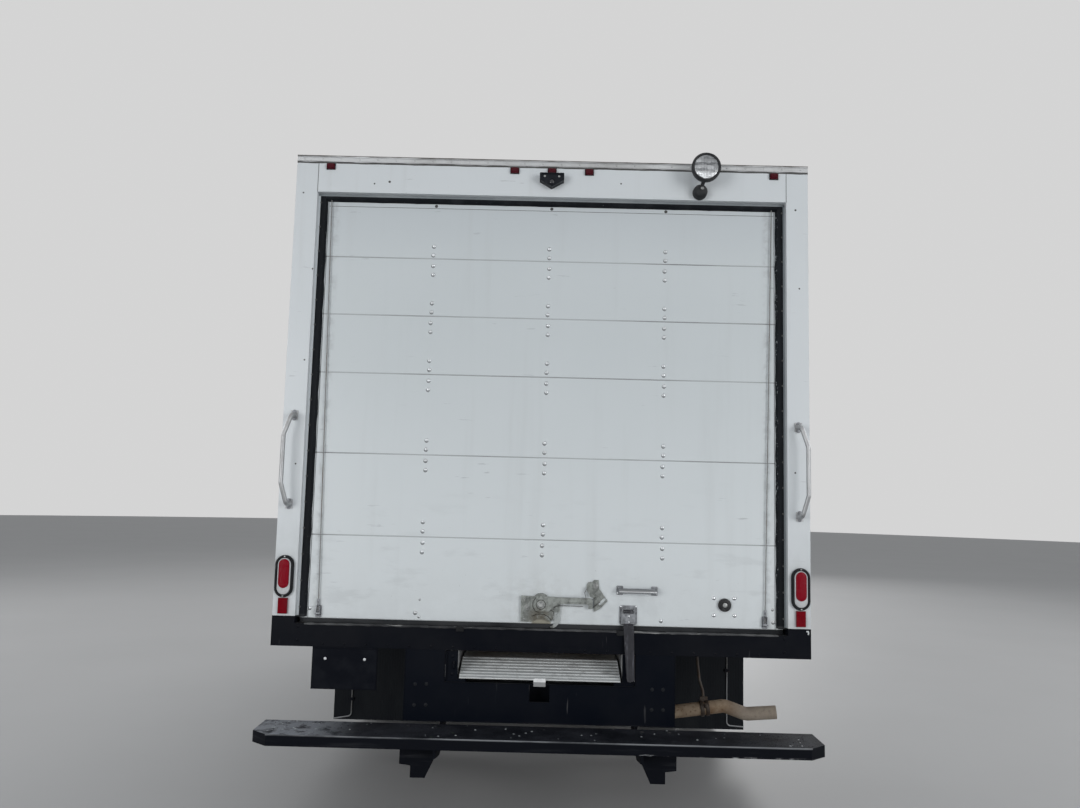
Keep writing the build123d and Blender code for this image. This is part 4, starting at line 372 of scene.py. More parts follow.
def coats(colour, *layers):
    """Lay coats over a colour, one on another: where each one lies, how thick, and its own colour."""
    for where, share, shade in layers:
        colour = (where * share).blend(colour, shade)
    return colour


def black_paint(name, dust, rust, tone=(0.0024, 0.0034, 0.0066)):
    """Satin black paint: dust on faces that look up, thin scratches, and rust in chips."""
    place = begin(name)
    normal_up = place.outward().z
    mottle = cloud(place, 5.0, 6.0)
    fine = cloud(place, 90.0, 3.0)
    scratch = cloud(place * (60.0, 60.0, 4.0), 1.0, 2.0).rise(0.66, 0.7)
    scratch = scratch * cloud(place, 3.0).rise(0.5, 0.62)
    dusty = (normal_up.rise(0.2, 0.9) * 0.9 + 0.1) * mottle.rise(0.3, 0.75) * dust
    rusty = cloud(place, 22.0, 6.0, 0.7).rise(0.74 - 0.2 * rust, 0.8 - 0.2 * rust) * rust
    colour = dusty.blend(tone, (0.07, 0.068, 0.066))
    colour = (scratch * 0.3).blend(colour, (0.16, 0.16, 0.165))
    colour = rusty.blend(colour, (0.1, 0.042, 0.018))
    rough = 0.34 + dusty * 0.5 + rusty * 0.4 + fine * 0.12
    relief = fine * 0.3 + mottle * 0.4 - rusty
    return close(place, colour, rough, relief, 0.0006, 0.0025, specular_ior_level=0.07)


chassis_paint = black_paint("chassis_black", 0.75, 0.45)
dress(chassis_paint, "chassis_frame")

RAIL_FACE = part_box("chassis_frame")[1].x
rivets = Shape()
for y in (-2.99, -2.15, -1.55, -0.1, 0.7, 3.16):
    for z in (0.56, 0.595, 0.63):
        for dy in (0.018, 0.048):
            for s in (-1, 1):
                dome(rivets, facing((s, 0, 0), (s * RAIL_FACE, y + dy, z)), 0.009, 0.006)
rivets.piece("frame_rivets", "black_paint", chassis_paint)


# ---- Engine, axles and springs -----------------------------------------------
# Cast iron and forged steel, never painted: dark castings with a film of oil and dust and
# patches of rust. The springs are leaf packs at the back and coils at the front.
def bare_iron(name, tone, rust):
    """Rough dark casting with rust blooming through road dirt."""
    place = begin(name)
    mottle = cloud(place, 7.0, 6.0, 0.65)
    grain = cloud(place, 160.0, 2.0)
    rusty = cloud(place, 16.0, 6.0, 0.7).rise(0.62 - 0.25 * rust, 0.74 - 0.1 * rust) * rust
    dusty = mottle.rise(0.35, 0.8)
    colour = dusty.blend(tone, (0.085, 0.078, 0.068))
    colour = rusty.blend(colour, (0.135, 0.055, 0.022))
    return close(place, colour, 0.62 + rusty * 0.3 - grain * 0.1, grain + mottle, 0.0007,
                 0.003, metallic=0.25)


iron = bare_iron("dirty_iron", (0.035, 0.034, 0.032), 0.6)
spring_steel = bare_iron("spring_steel", (0.022, 0.022, 0.024), 0.45)
dress(iron, "engine", "rear_axle", "front_axle", "knuckle_left", "knuckle_right", "propeller_shaft")
dress(spring_steel, "rear_springs")

REAR_AXLE_Y = -0.9
FRONT_AXLE_Y = 2.631
AXLE_Z = 0.385
SPRING_X = 0.5
U_HALF = 0.038
U_FOOT_Z = 0.25
u_bolts = Shape()
for x in (-SPRING_X, SPRING_X):
    for y in (REAR_AXLE_Y - 0.036, REAR_AXLE_Y + 0.036):
        arch = [(x + U_HALF * cos(a), y, 0.518 + U_HALF * sin(a)) for a in [pi * n / 8 for n in range(9)]]
        u_bolts.bar([(x + U_HALF, y, U_FOOT_Z)] + arch + [(x - U_HALF, y, U_FOOT_Z)], 0.007, 8)
        for dx in (-U_HALF, U_HALF):
            hexagon(u_bolts, facing((0, 0, -1), (x + dx, y, U_FOOT_Z + 0.02), FRONT), 0.012, 0.014)
    u_bolts.slab((x - 0.055, REAR_AXLE_Y - 0.055, 0.27), (x + 0.055, REAR_AXLE_Y + 0.055, 0.282))
u_bolts.piece("spring_u_bolts", "cast_iron", spring_steel)

DAMPER_EYE = [(0.02, 0), (0.022, 0.01), (0.022, 0.034), (0.02, 0.044)]
dampers = Shape()
for s in (-1, 1):
    for foot, head in (
        ((s * 0.42, REAR_AXLE_Y - 0.1, 0.33), (s * 0.4, REAR_AXLE_Y - 0.34, 0.63)),
        ((s * 0.36, FRONT_AXLE_Y - 0.09, 0.33), (s * 0.38, FRONT_AXLE_Y - 0.16, 0.6)),
    ):
        foot, head = Vector(foot), Vector(head)
        dampers.bar([foot, foot + Vector((0, 0.085, 0.035))], 0.014, 8)
        reach = (head - foot).length
        along = facing(head - foot, foot, FRONT)
        dampers.turned(along, [(0.012, 0), (0.028, 0.012), (0.028, reach * 0.5), (0.024, reach * 0.51)], 18)
        dampers.turned(along, [(0.033, reach * 0.42), (0.034, reach - 0.03), (0.012, reach - 0.015)], 18)
        for end in (foot, head):
            dampers.turned(facing(RIGHT, end - RIGHT * 0.022), DAMPER_EYE, 14)
dampers.piece("shock_absorbers", "black_paint", chassis_paint)

cover = Shape()
COVER_Y = REAR_AXLE_Y - 0.166
COVER_PROFILE = [(0.15, 0), (0.15, 0.012), (0.118, 0.018), (0.09, 0.052), (0.0, 0.062)]
cover.turned(facing(BACK, (0, COVER_Y + 0.02, AXLE_Z)), COVER_PROFILE, 36)
for n in range(10):
    a = 2 * pi * n / 10
    dome(cover, facing(BACK, (0.134 * cos(a), COVER_Y + 0.008, AXLE_Z + 0.134 * sin(a))), 0.011, 0.01)
cover.piece("axle_cover", "cast_iron", iron)

# ---- Fuel tank ---------------------------------------------------------------
# Blow-moulded black plastic tank slung between the rails by two steel straps, its skin
# finely pebbled and grey with road dust.
place = begin("tank_plastic")
pebble = cloud(place, 240.0, 2.0)
dusty = cloud(place, 4.0, 5.0).rise(0.35, 0.75)
tank_plastic = close(place, dusty.blend((0.016, 0.016, 0.017), (0.085, 0.08, 0.07)), 0.5 + dusty * 0.3,
                     pebble + dusty, 0.0006, 0.004)
dress(tank_plastic, "fuel_tank")

# ---- Exhaust -----------------------------------------------------------------
# Plain mild steel pipe, rusted all over to a pale brown, with a band clamp and a hanger
# where the tail section is joined and a sooty open end.
place = begin("rusty_pipe")
bloom = cloud(place, 9.0, 6.0, 0.65)
scale = cloud(place, 70.0, 4.0)
heat = place.x.rise(0.86, 0.98)
colour = coats(
    bloom.rise(0.35, 0.7).blend((0.19, 0.125, 0.075), (0.36, 0.29, 0.21)),
    (scale.rise(0.55, 0.7), 0.7, (0.11, 0.05, 0.022)),
    (heat, 0.55, (0.29, 0.27, 0.24)),
)
rusty_pipe = close(place, colour, 0.72 + scale * 0.2, scale + bloom, 0.0008, metallic=0.35)
dress(rusty_pipe, "exhaust")

TAIL_Y = -2.865
clamp = Shape()
for x in (0.77, 0.795):
    ring_place = facing(Vector((0.99, 0, 0.14)), (x, TAIL_Y, 0.5 + (x - 0.574) * 0.141))
    clamp.turned(ring_place, [(0.032, 0), (0.037, 0.001), (0.038, 0.009), (0.037, 0.017), (0.032, 0.018)], 28)
hexagon(clamp, facing(BACK, (0.792, TAIL_Y - 0.03, 0.548)), 0.008, 0.012)
hanger = ((0.788, 0.0, 0.565), (0.784, 0.004, 0.61), (0.77, 0.02, 0.66), (0.755, 0.03, 0.818))
clamp.bar([(x, TAIL_Y + dy, z) for x, dy, z in hanger], 0.007, 8)
clamp.slab((0.77, TAIL_Y - 0.006, 0.52), (0.806, TAIL_Y + 0.006, 0.585))
clamp_iron = bare_iron("rusty_clamp", (0.035, 0.022, 0.014), 0.35)
clamp.piece("exhaust_clamp", "rusty_steel", clamp_iron, round=0.001)

# ---- Tyres -------------------------------------------------------------------
# Commercial radial tyres: four straight grooves, notched shoulder blocks and a sidewall with
# a rim guard and fine moulded rings. Black rubber gone grey with dust in the tread.
place = begin("tyre_rubber")
dusty = cloud(place, 6.0, 5.0).rise(0.3, 0.8)
grain = cloud(place, 220.0, 2.0)
tyre_rubber = close(place, dusty.blend((0.012, 0.012, 0.0125), (0.052, 0.05, 0.046)), 0.68 + dusty * 0.2,
                    grain, 0.0005, specular_ior_level=0.3)

TYRE_RADIUS = 0.385
BEAD_RADIUS = 0.2062
GROOVE = 0.01
BLOCKS = 54


def tyre_profile():
    """Half profile from bead to crown: distance from the middle, radius and how far notches cut in."""
    side = [
        (0.08, BEAD_RADIUS), (0.0815, 0.222), (0.088, 0.226), (0.0895, 0.231), (0.0885, 0.236),
        (0.097, 0.252), (0.1045, 0.272), (0.1055, 0.2725), (0.1058, 0.2745), (0.1056, 0.275),
        (0.1096, 0.296), (0.1104, 0.3125), (0.1098, 0.33), (0.1062, 0.346), (0.1066, 0.3475),
    ]
    shoulder = [(0.103, 0.356, 0.3), (0.0995, 0.364, 1), (0.0955, 0.3725, 1), (0.09, 0.3783, 1)]
    profile = [(x, radius, 0) for x, radius in side] + shoulder
    for x, cut in (
        (0.08, 0), (0.0632, 0), (0.0612, GROOVE), (0.053, GROOVE), (0.051, 0),
        (0.037, 0), (0.0225, 0), (0.0205, GROOVE), (0.0115, GROOVE), (0.0095, 0),
    ):
        notched = 1 if x > 0.062 else 0.55 * (cut == 0 and x > 0.03)
        profile.append((x, TYRE_RADIUS - 0.0045 * (x / 0.09) ** 2 - cut, notched))
    return profile


def tyre_mesh(shape, axle_y, middle, phase):
    half = tyre_profile()
    profile = [(-x, r, n) for x, r, n in half] + [(x, r, n) for x, r, n in reversed(half)]
    rings = []
    for block in range(BLOCKS):
        for part, notch in ((0.0, 0), (0.3, 0), (0.72, 0), (0.76, 1), (0.94, 1), (0.98, 0)):
            ring = []
            for x, radius, open_share in profile:
                shift = 0.5 if x > 0 else 0.0
                a = 2 * pi * (block + part + shift + phase) / BLOCKS
                r = radius - 0.0085 * notch * open_share
                ring.append((middle + x, axle_y + r * cos(a), AXLE_Z + r * sin(a)))
            rings.append(ring)
    shape.rings(rings, closed=True)


for name, axle_y, middles, body, node in (
    ("front_left_tyre", FRONT_AXLE_Y, (-0.88,), "front_left_wheel", "front_tyre_left"),
    ("front_right_tyre", FRONT_AXLE_Y, (0.88,), "front_right_wheel", "front_tyre_right"),
    ("rear_left_twin_tyres", REAR_AXLE_Y, (-0.831, -1.091), "rear_left_wheels", "rear_tyres_left"),
    ("rear_right_twin_tyres", REAR_AXLE_Y, (0.831, 1.091), "rear_right_wheels", "rear_tyres_right"),
):
    treads = Shape()
    for n, middle in enumerate(middles):
        tyre_mesh(treads, axle_y, middle, 0.3 * n)
    made = treads.piece(name, "tyre", tyre_rubber, body, sharp=28)
    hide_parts(node)

# ---- Wheels ------------------------------------------------------------------
# Pressed steel discs sprayed light grey, with brake dust round the hand holes. Eight nuts on
# studs hold each to its hub, and a rubber valve stands out of a hand hole.
place = begin("wheel_paint")
dirt = cloud(place, 8.0, 5.0, 0.6).rise(0.38, 0.75)
speck = cloud(place, 130.0, 3.0).rise(0.66, 0.72)
colour = (dirt * 0.55).blend((0.52, 0.53, 0.54), (0.15, 0.13, 0.11))
colour = (speck * 0.6).blend(colour, (0.12, 0.06, 0.03))
wheel_paint = close(place, colour, 0.36 + dirt * 0.35, dirt, 0.0003, 0.003, metallic=0.1)
dress(wheel_paint, "front_wheel_left", "front_wheel_right", "rear_wheels_left", "rear_wheels_right")


def mottled(name, spread, limits, fresh, aged, rough, more=0.0, depth=0.0, stretch=None, **fixed):
    """A finish that goes from fresh to aged in soft patches, rougher where it is aged."""
    place = begin(name)
    patch = cloud(place * stretch if stretch else place, *spread)
    if limits:
        patch = patch.rise(*limits)
    if more:
        rough = rough + patch * more
    return close(place, patch.blend(fresh, aged), rough, patch if depth else None, depth, **fixed)


nut_steel = mottled("nut_steel", (60.0, 4.0), (0.4, 0.7), (0.46, 0.45, 0.43), (0.16, 0.1, 0.06),
                    0.38, 0.35, 0.0002, metallic=0.85)

STUD_CIRCLE = 0.0825
STUDS = 8
HUB_CAP = [(0.05, 0.0), (0.05, 0.02), (0.044, 0.03), (0.04, 0.032), (0.036, 0.04), (0, 0.042)]
for side, s in (("left", -1), ("right", 1)):
    for name, axle_y, face, body in (
        (f"front_{side}_wheel_nuts", FRONT_AXLE_Y, 0.88 + 0.13, f"front_{side}_wheel"),
        (f"rear_{side}_wheel_nuts", REAR_AXLE_Y, 0.961 + 0.011, f"rear_{side}_wheels"),
    ):
        nuts = Shape()
        for n in range(STUDS):
            a = 2 * pi * (n + 0.5) / STUDS
            spot = (s * face, axle_y + STUD_CIRCLE * cos(a), AXLE_Z + STUD_CIRCLE * sin(a))
            hexagon(nuts, facing((s, 0, 0), spot), 0.0135, 0.022)
        cap = facing((s, 0, 0), (s * (face + 0.03), axle_y, AXLE_Z))
        nuts.turned(cap, HUB_CAP, 32)
        valve = Vector((s * (face - 0.02), axle_y + 0.105, AXLE_Z + 0.105))
        bend, tip = Vector((s * 0.028, 0.004, 0.004)), Vector((s * 0.05, 0.006, 0.006))
        nuts.bar([valve, valve + bend, valve + tip], 0.005, 8)
        nuts.piece(name, "zinc_steel", nut_steel, body)

# ---- Freight body: floor and rails -------------------------------------------
# Laminated hardwood boards on pressed cross sills that are painted black. Extruded aluminium
# rails, left bare, run along both sides and on top of the chassis rails.
def bare_aluminium(name, tone, stain, lines=(3.0, 0.15, 90.0), rough=0.42):
    """Extruded or rolled aluminium gone dull, with drawing lines, stains and small dents."""
    place = begin(name)
    blotch = cloud(place, 5.0, 6.0, 0.62)
    drawn = cloud(place * lines, 1.0, 3.0)
    spots = cloud(place, 55.0, 3.0).rise(0.62, 0.74)
    stained = (blotch.rise(0.42, 0.72) * 0.7 + spots * 0.4) * stain
    colour = stained.blend(tone, (0.2, 0.19, 0.175))
    colour = (drawn.rise(0.45, 0.75) * 0.25).blend(colour, (0.78, 0.79, 0.8))
    return close(place, colour, rough + stained * 0.35 + drawn * 0.08, drawn * 0.4 + blotch,
                 0.0006, 0.0012, metallic=0.78)


rail_metal = bare_aluminium("rail_aluminium", (0.52, 0.53, 0.54), 0.55)
dress(rail_metal, "floor_rails")
dress(chassis_paint, "cross_sills")

place = begin("floor_boards")
strip = place.node("TexBrick", {"offset": 0.37}, {
    "Vector": place.node("Mapping", {}, {"Vector": place, "Rotation": (0.0, 0.0, pi / 2)}, 0),
    "Color1": (0.33, 0.33, 0.33), "Color2": (0.75, 0.75, 0.75), "Mortar": (0.0, 0.0, 0.0), "Scale": 1.0,
    "Mortar Size": 0.0006, "Brick Width": 1.4, "Row Height": 0.032,
}, 0)
grain = cloud(place * (60.0, 3.0, 60.0), 1.0, 4.0)
colour = strip.blend((0.19, 0.105, 0.05), (0.33, 0.2, 0.1))
colour = (grain.rise(0.4, 0.7) * 0.5).blend(colour, (0.13, 0.07, 0.035))
floor_boards = close(place, colour, 0.62, grain, 0.0003)
dress(floor_boards, "box_floor")

# ---- Freight body: side and front walls --------------------------------------
# White composite sheets with aluminium posts behind them, riveted along the rails and at each
# post, and a front wall whose rounded corner posts carry five amber clearance lamps.
BODY_HALF = 1.219
WALL_REAR_Y = -3.06
BOX_FRONT_Y = 1.117
WALL_LOW = 0.952
WALL_HIGH = 3.04
SHEET_WHITE = (0.66, 0.7, 0.715)
GRIME = (0.27, 0.265, 0.25)


def white_sheet(name, tone=SHEET_WHITE, streaks=0.35, low=1.35, chips=0.0, rough=0.3, wave=0.0012):
    """White skin: rain streaks, road film that thickens towards the ground, scuffs and chips."""
    place = begin(name)
    broad = cloud(place, 1.3, 4.0)
    streak = cloud(place * (14.0, 14.0, 0.8), 1.0, 4.0).rise(0.52, 0.78)
    film = place.z.rise(low, low - 0.55) * cloud(place, 6.0, 6.0).rise(0.28, 0.75)
    rub = cloud(place * (9.0, 9.0, 70.0), 1.0, 3.0).rise(0.68, 0.74)
    rub = rub * cloud(place, 4.0, 3.0).rise(0.48, 0.62)
    fleck = cloud(place, 210.0, 2.0).rise(0.735, 0.76) * cloud(place, 7.0, 3.0).rise(0.45, 0.65)
    colour = coats(
        broad.blend([c * 0.95 for c in tone], [min(1.0, c * 1.04) for c in tone]),
        (streak * streaks, 0.35, (0.45, 0.455, 0.44)),
        (film, 0.45, GRIME),
        (rub, 0.45, (0.3, 0.31, 0.32)),
        (fleck, 0.6, (0.12, 0.11, 0.1)),
    )
    if chips:
        chipped = cloud(place, 34.0, 5.0, 0.7).rise(0.765 - 0.05 * chips, 0.775 - 0.05 * chips)
        colour = chipped.blend(colour, (0.075, 0.06, 0.05))
    relief = broad * 3.0 + cloud(place, 240.0, 2.0) * 0.1
    return close(place, colour, rough + film * 0.35 + rub * 0.2, relief, wave, 0.0015, coat_weight=0.15)


wall_sheet = white_sheet("wall_sheet")
dress(wall_sheet, "side_walls", "front_wall")

bare_rivet = bare_aluminium("bare_rivets", (0.5, 0.51, 0.52), 0.6, rough=0.38)
POSTS = [WALL_REAR_Y + 0.035 + n * 0.406 for n in range(11)]
POST_STEP = 0.0775
RAIL_STEP = 0.058
CORNER_STEP = 0.06
RAIL_FRONT_Y = BOX_FRONT_Y - 0.11
for side, s in (("left", -1), ("right", 1)):
    studs = Shape()
    trims = Shape()
    for y in POSTS:
        for n in range(27):
            spot = (s * BODY_HALF, y, WALL_LOW + 0.04 + n * POST_STEP)
            dome(studs, facing((s, 0, 0), spot), 0.0052, 0.0024)
    for n in range(int((RAIL_FRONT_Y - WALL_REAR_Y) / RAIL_STEP)):
        y = WALL_REAR_Y + 0.03 + n * RAIL_STEP
        for z in (WALL_LOW - 0.022, WALL_HIGH + 0.03):
            dome(studs, facing((s, 0, 0), (s * BODY_HALF, y, z)), 0.006, 0.003)
    for n in range(36):
        z = WALL_LOW - 0.08 + n * CORNER_STEP
        dome(studs, facing(FRONT, (s * (BODY_HALF - 0.072), BOX_FRONT_Y, z)), 0.006, 0.003)
        dome(studs, facing((s, 0, 0), (s * BODY_HALF, BOX_FRONT_Y - 0.098, z)), 0.006, 0.003)
    studs.piece(side + "_wall_rivets", "aluminium", bare_rivet, sharp=60)
    # lips of the bottom and top rails, and the scuff strip low on the wall
    for low, high, out in (
        (WALL_LOW - 0.004, WALL_LOW + 0.003, 0.0015), (0.821, 0.832, 0.0045),
        (WALL_HIGH - 0.004, WALL_HIGH + 0.002, 0.0018),
    ):
        face = s * BODY_HALF
        trims.slab((face - 0.0015, WALL_REAR_Y + 0.002, low), (face + out, RAIL_FRONT_Y, high))
    trims.piece(side + "_rail_lips", "aluminium", rail_metal)


def lens_plastic(name, tone, rough=0.12, flutes=1200.0):
    """Moulded lamp lens with fine ribs inside and a film of dirt."""
    place = begin(name)
    ribs = (place.z * flutes).wave() * 0.5 + (place.x * flutes).wave() * 0.5
    film = cloud(place, 30.0, 4.0).rise(0.45, 0.8)
    colour = (film * 0.25).blend(tone, [c * 0.6 + 0.004 for c in tone])
    return close(place, colour, rough + film * 0.3, ribs, 0.0004,
                 coat_weight=0.04, specular_ior_level=0.1)


amber_lens = lens_plastic("amber_lens", (0.75, 0.2, 0.01))
red_lens = lens_plastic("red_lens", (0.23, 0.0, 0.01), 0.22)
place = begin("rubber_black")
bloom = cloud(place, 14.0, 5.0).rise(0.4, 0.8)
colour = bloom.blend((0.006, 0.0065, 0.008), (0.026, 0.027, 0.029))
rubber_black = close(place, colour, 0.62 + bloom * 0.2, cloud(place, 260.0, 2.0), 0.0003,
                     specular_ior_level=0.2)


def small_lamp(shape, seat, place, length=0.034, height=0.014, depth=0.016):
    """Oblong lamp: a base on the panel and a rounded lens over it."""
    def oblong(grow, raised):
        r = height + grow
        turns = [pi * n / 8 - pi / 2 for n in range(9)]
        return ([(length - height + r * cos(a), r * sin(a), raised) for a in turns]
                + [(height - length - r * cos(a), -r * sin(a), raised) for a in turns])

    rise = ((0, 0.004), (0, depth * 0.6), (-0.003, depth * 0.9), (-0.008, depth))
    seat.rings([oblong(*step) for step in ((0.005, -0.001), (0.005, 0.005), (0.002, 0.007))], place)
    shape.rings([oblong(*step) for step in rise], place)


amber = Shape()
amber_seats = Shape()
red = Shape()
red_seats = Shape()
for x in (-1.1, -0.16, 0.0, 0.16, 1.1):
    small_lamp(amber, amber_seats, facing(FRONT, (x, BOX_FRONT_Y, 3.07)))
for s in (-1, 1):
    for z in (0.885, 3.068):
        small_lamp(amber, amber_seats, facing((s, 0, 0), (s * BODY_HALF, BOX_FRONT_Y - 0.16, z)))
        small_lamp(red, red_seats, facing((s, 0, 0), (s * BODY_HALF, WALL_REAR_Y + 0.12, z)))
amber.piece("amber_clearance_lamps", "red_lens", amber_lens)
amber_seats.piece("amber_lamp_bases", "rubber", rubber_black)
red.piece("red_side_lamps", "red_lens", red_lens)
red_seats.piece("red_lamp_bases", "rubber", rubber_black)

# ---- Freight body: roof ------------------------------------------------------
# One sheet of thin aluminium stretched over bows, which print through as low ridges, with its
# edge riveted down under an extruded rail that weather has turned chalky.
roof_metal = bare_aluminium("roof_aluminium", (0.56, 0.575, 0.585), 0.5, (5.0, 5.0, 20.0), 0.5)
dress(roof_metal, "box_roof")
ROOF_TOP = 3.0945
bows = Shape()
bow_profile = [(-0.02, -0.0006), (-0.012, 0.0012), (0, 0.002), (0.012, 0.0012), (0.02, -0.0006)]
for n in range(7):
    y = -2.75 + n * 0.56
    bows.rings([[(x, y + dy, ROOF_TOP + dz) for dy, dz in bow_profile]
                for x in (-1.165, -0.6, 0, 0.6, 1.165)])
bows.piece("roof_bow_ridges", "aluminium", roof_metal, sharp=60)


# ---- Rear frame --------------------------------------------------------------
# Steel posts and header sprayed white with the body. The paint is scuffed by ramps and cargo,
# chipped to primer near the bottom, and sealed to the roof rail by a dark bead of mastic.
REAR_Y = -3.15


def on_rear(x, z, out=0.0):
    """Place on the flat back of the truck, some distance out from it."""
    return facing(BACK, (x, REAR_Y - out, z))


frame_white = white_sheet("frame_white", (0.68, 0.715, 0.735), 0.5, 1.5, 0.35, 0.3, 0.0008)
dress(frame_white, "rear_frame")

mastic = mottled("dark_mastic", (120.0, 3.0), None, (0.035, 0.035, 0.036), (0.11, 0.11, 0.105), 0.8,
                 depth=0.0008)
OPENING = 1.116


def stations(half, count):
    """Numbered places across the truck, from left to right."""
    return [(n, (2 * n / (count - 1) - 1) * half) for n in range(count)]


seams = Shape()
wander = [0.0009 * sin(n * 2.1) + 0.0007 * sin(n * 5.3) for n in range(61)]
seams.rings([[
    (x, REAR_Y - 0.0012, 3.077 + wander[n]),
    (x, REAR_Y - 0.0012, 3.084 + 1.5 * wander[(n + 7) % 61]),
    (x, REAR_Y + 0.001, 3.0845),
    (x, REAR_Y + 0.001, 3.0765),
] for n, x in stations(BODY_HALF, 61)])
for s in (-1, 1):
    seams.slab((s * OPENING - 0.0012, REAR_Y - 0.0006, 2.937), (s * OPENING + 0.0012, REAR_Y + 0.001, 3.081))
seams.piece("header_seams", "rubber", mastic)

# painted return of the header and posts round the black seals: the top and right-hand returns are a darker
# copy of the white paint, a painted shade, while the left-hand return keeps the frame's white as the lit one
returns = Shape()
returns.slab((-OPENING, REAR_Y + 0.0305, 2.9255), (OPENING, REAR_Y + 0.0345, 2.9375))
returns.slab((OPENING - 0.0085, REAR_Y + 0.0305, 0.952), (OPENING, REAR_Y + 0.0345, 2.93))
lit_return = Shape()
lit_return.slab((-OPENING, REAR_Y + 0.03, 0.952), (0.0095 - OPENING, REAR_Y + 0.0345, 2.9255))
lit_return.piece("lit_return", "white_paint", frame_white)
shaded_white = mottled("shaded_white", (1.0, 5.0), (0.35, 0.75), (0.2, 0.225, 0.24), (0.29, 0.315, 0.33),
                       0.55, depth=0.0003, stretch=(6.0, 6.0, 1.5))
returns.piece("opening_returns", "white_paint", shaded_white)

# screws, plug heads and old screw holes in the posts and header, by x and z
marks = Shape()
for x, z, size in (
    (-0.774, 2.993, 0.006), (-0.846, 2.982, 0.004), (-1.12, 2.56, 0.004),
    (-1.135, 2.125, 0.004), (1.176, 2.52, 0.004), (-1.183, 2.93, 0.004),
    (1.16, 2.9, 0.005), (0.33, 3.01, 0.004), (-1.17, 0.975, 0.006),
    (1.172, 0.972, 0.006), (-1.15, 1.64, 0.004), (1.152, 1.655, 0.004),
):
    dome(marks, on_rear(x, z), size, size * 0.4)
marks.piece("frame_screws", "zinc_steel", mastic)

# ---- Roof edge at the back ---------------------------------------------------
# Drip rail over the header: bare aluminium, dented by low branches and dull with weather.
drip = Shape()
for low, high, out in ((3.085, 3.0905, 0.0022), (3.106, 3.1145, 0.003)):
    drip.rings([[
        (x, REAR_Y + 0.001, low), (x, REAR_Y - out - 0.0008 * sin(9 * x), low + 0.001),
        (x, REAR_Y - out - 0.0008 * sin(7 * x + 1), high - 0.001), (x, REAR_Y + 0.001, high),
    ] for n, x in stations(BODY_HALF, 49)])
for n in range(28):
    dome(drip, on_rear(-1.185 + n * 0.0878, 3.0985), 0.0048, 0.0022)
# a dark rust-brown line along the top edge of the drip rail: partly stain, partly a painted shadow
stain = mottled("edge_shadow_stain", (9.0, 6.0, 0.7), (0.4, 0.62), (0.22, 0.21, 0.2), (0.06, 0.052, 0.046), 0.8,
                stretch=(1.0, 4.0, 4.0))
stains = Shape()
stains.rings([[
    (x, REAR_Y - 0.0048, 3.1112 + 1.4 * wander[(n + 11) % 61]),
    (x, REAR_Y - 0.0048, 3.1145),
    (x, REAR_Y + 0.001, 3.115),
    (x, REAR_Y + 0.001, 3.11),
] for n, x in stations(BODY_HALF, 61)])
stains.piece("roof_edge_shadow_stain", "rubber", stain)
drip.piece("roof_drip_rail", "aluminium", rail_metal)

# ---- Roll-up door ------------------------------------------------------------
# Plywood panels faced with smooth white sheet and hinged inside. Carriage bolts hold the hinges
# and fittings, and years of hands, straps and road spray have left grime low down.
DOOR_Y = -3.105


def on_door(x, z, out=0.0):
    """Place on the outside of the door, some distance out from it."""
    return facing(BACK, (x, DOOR_Y - out, z))


place = begin("door_white")
broad = cloud(place, 1.1, 4.0)
streak = cloud(place * (11.0, 11.0, 0.7), 1.0, 4.0).rise(0.5, 0.78)
low_film = place.z.rise(1.32, 0.93) * cloud(place, 5.0, 6.0, 0.62).rise(0.3, 0.72)
smear = cloud(place * (5.0, 5.0, 16.0), 1.0, 4.0).rise(0.56, 0.72) * place.z.rise(1.75, 1.0)
latch_grime = place.away((-0.01, DOOR_Y, 0.985)).rise(0.26, 0.06)
latch_grime = latch_grime * cloud(place, 18.0, 5.0, 0.65).rise(0.36, 0.62)
strap_grime = place.away((0.4, DOOR_Y, 1.03)).rise(0.24, 0.05)
strap_grime = strap_grime * cloud(place, 14.0, 5.0).rise(0.4, 0.7)
scuff = cloud(place * (7.0, 7.0, 55.0), 1.0, 3.0).rise(0.665, 0.72)
scuff = scuff * cloud(place, 2.6, 3.0).rise(0.5, 0.62)
nick = cloud(place, 75.0, 4.0, 0.65).rise(0.725, 0.74) * place.z.rise(1.6, 1.0)
cable_rub = (place.x.size() - 1.034).size().rise(0.03, 0.004)
cable_rub = cable_rub * cloud(place, 25.0, 4.0).rise(0.42, 0.66)
colour = coats(
    broad.blend((0.59, 0.635, 0.65), (0.655, 0.695, 0.712)),
    # painted light: the door's white is lighter towards the bottom and darker and bluer at the top, a painted
    # shade and reflection
    (place.z.rise(2.4, 1.1), 0.7, (0.755, 0.795, 0.81)),
    (place.z.rise(2.55, 2.9), 0.5, (0.53, 0.57, 0.6)),
    (streak, 0.16, (0.47, 0.49, 0.49)),
    (low_film, 0.16, (0.36, 0.37, 0.365)),
    (smear, 0.2, (0.38, 0.4, 0.41)),
    (cable_rub, 0.35, (0.33, 0.34, 0.35)),
    (strap_grime, 0.16, (0.3, 0.31, 0.32)),
    (latch_grime, 0.16, (0.2, 0.175, 0.13)),
    (place.away((0.0, DOOR_Y, 0.942)).rise(0.052, 0.038), 0.85, (0.25, 0.225, 0.155)),
    (scuff, 0.4, (0.27, 0.29, 0.31)),
    (nick, 0.8, (0.07, 0.07, 0.07)),
)
relief = broad * 3.0 + cloud(place, 7.0, 2.0) * 0.3
door_white = close(place, colour, 0.3 + low_film * 0.3 + scuff * 0.2, relief, 0.0022, 0.0012,
                   coat_weight=0.1)
dress(door_white, "roll_door")

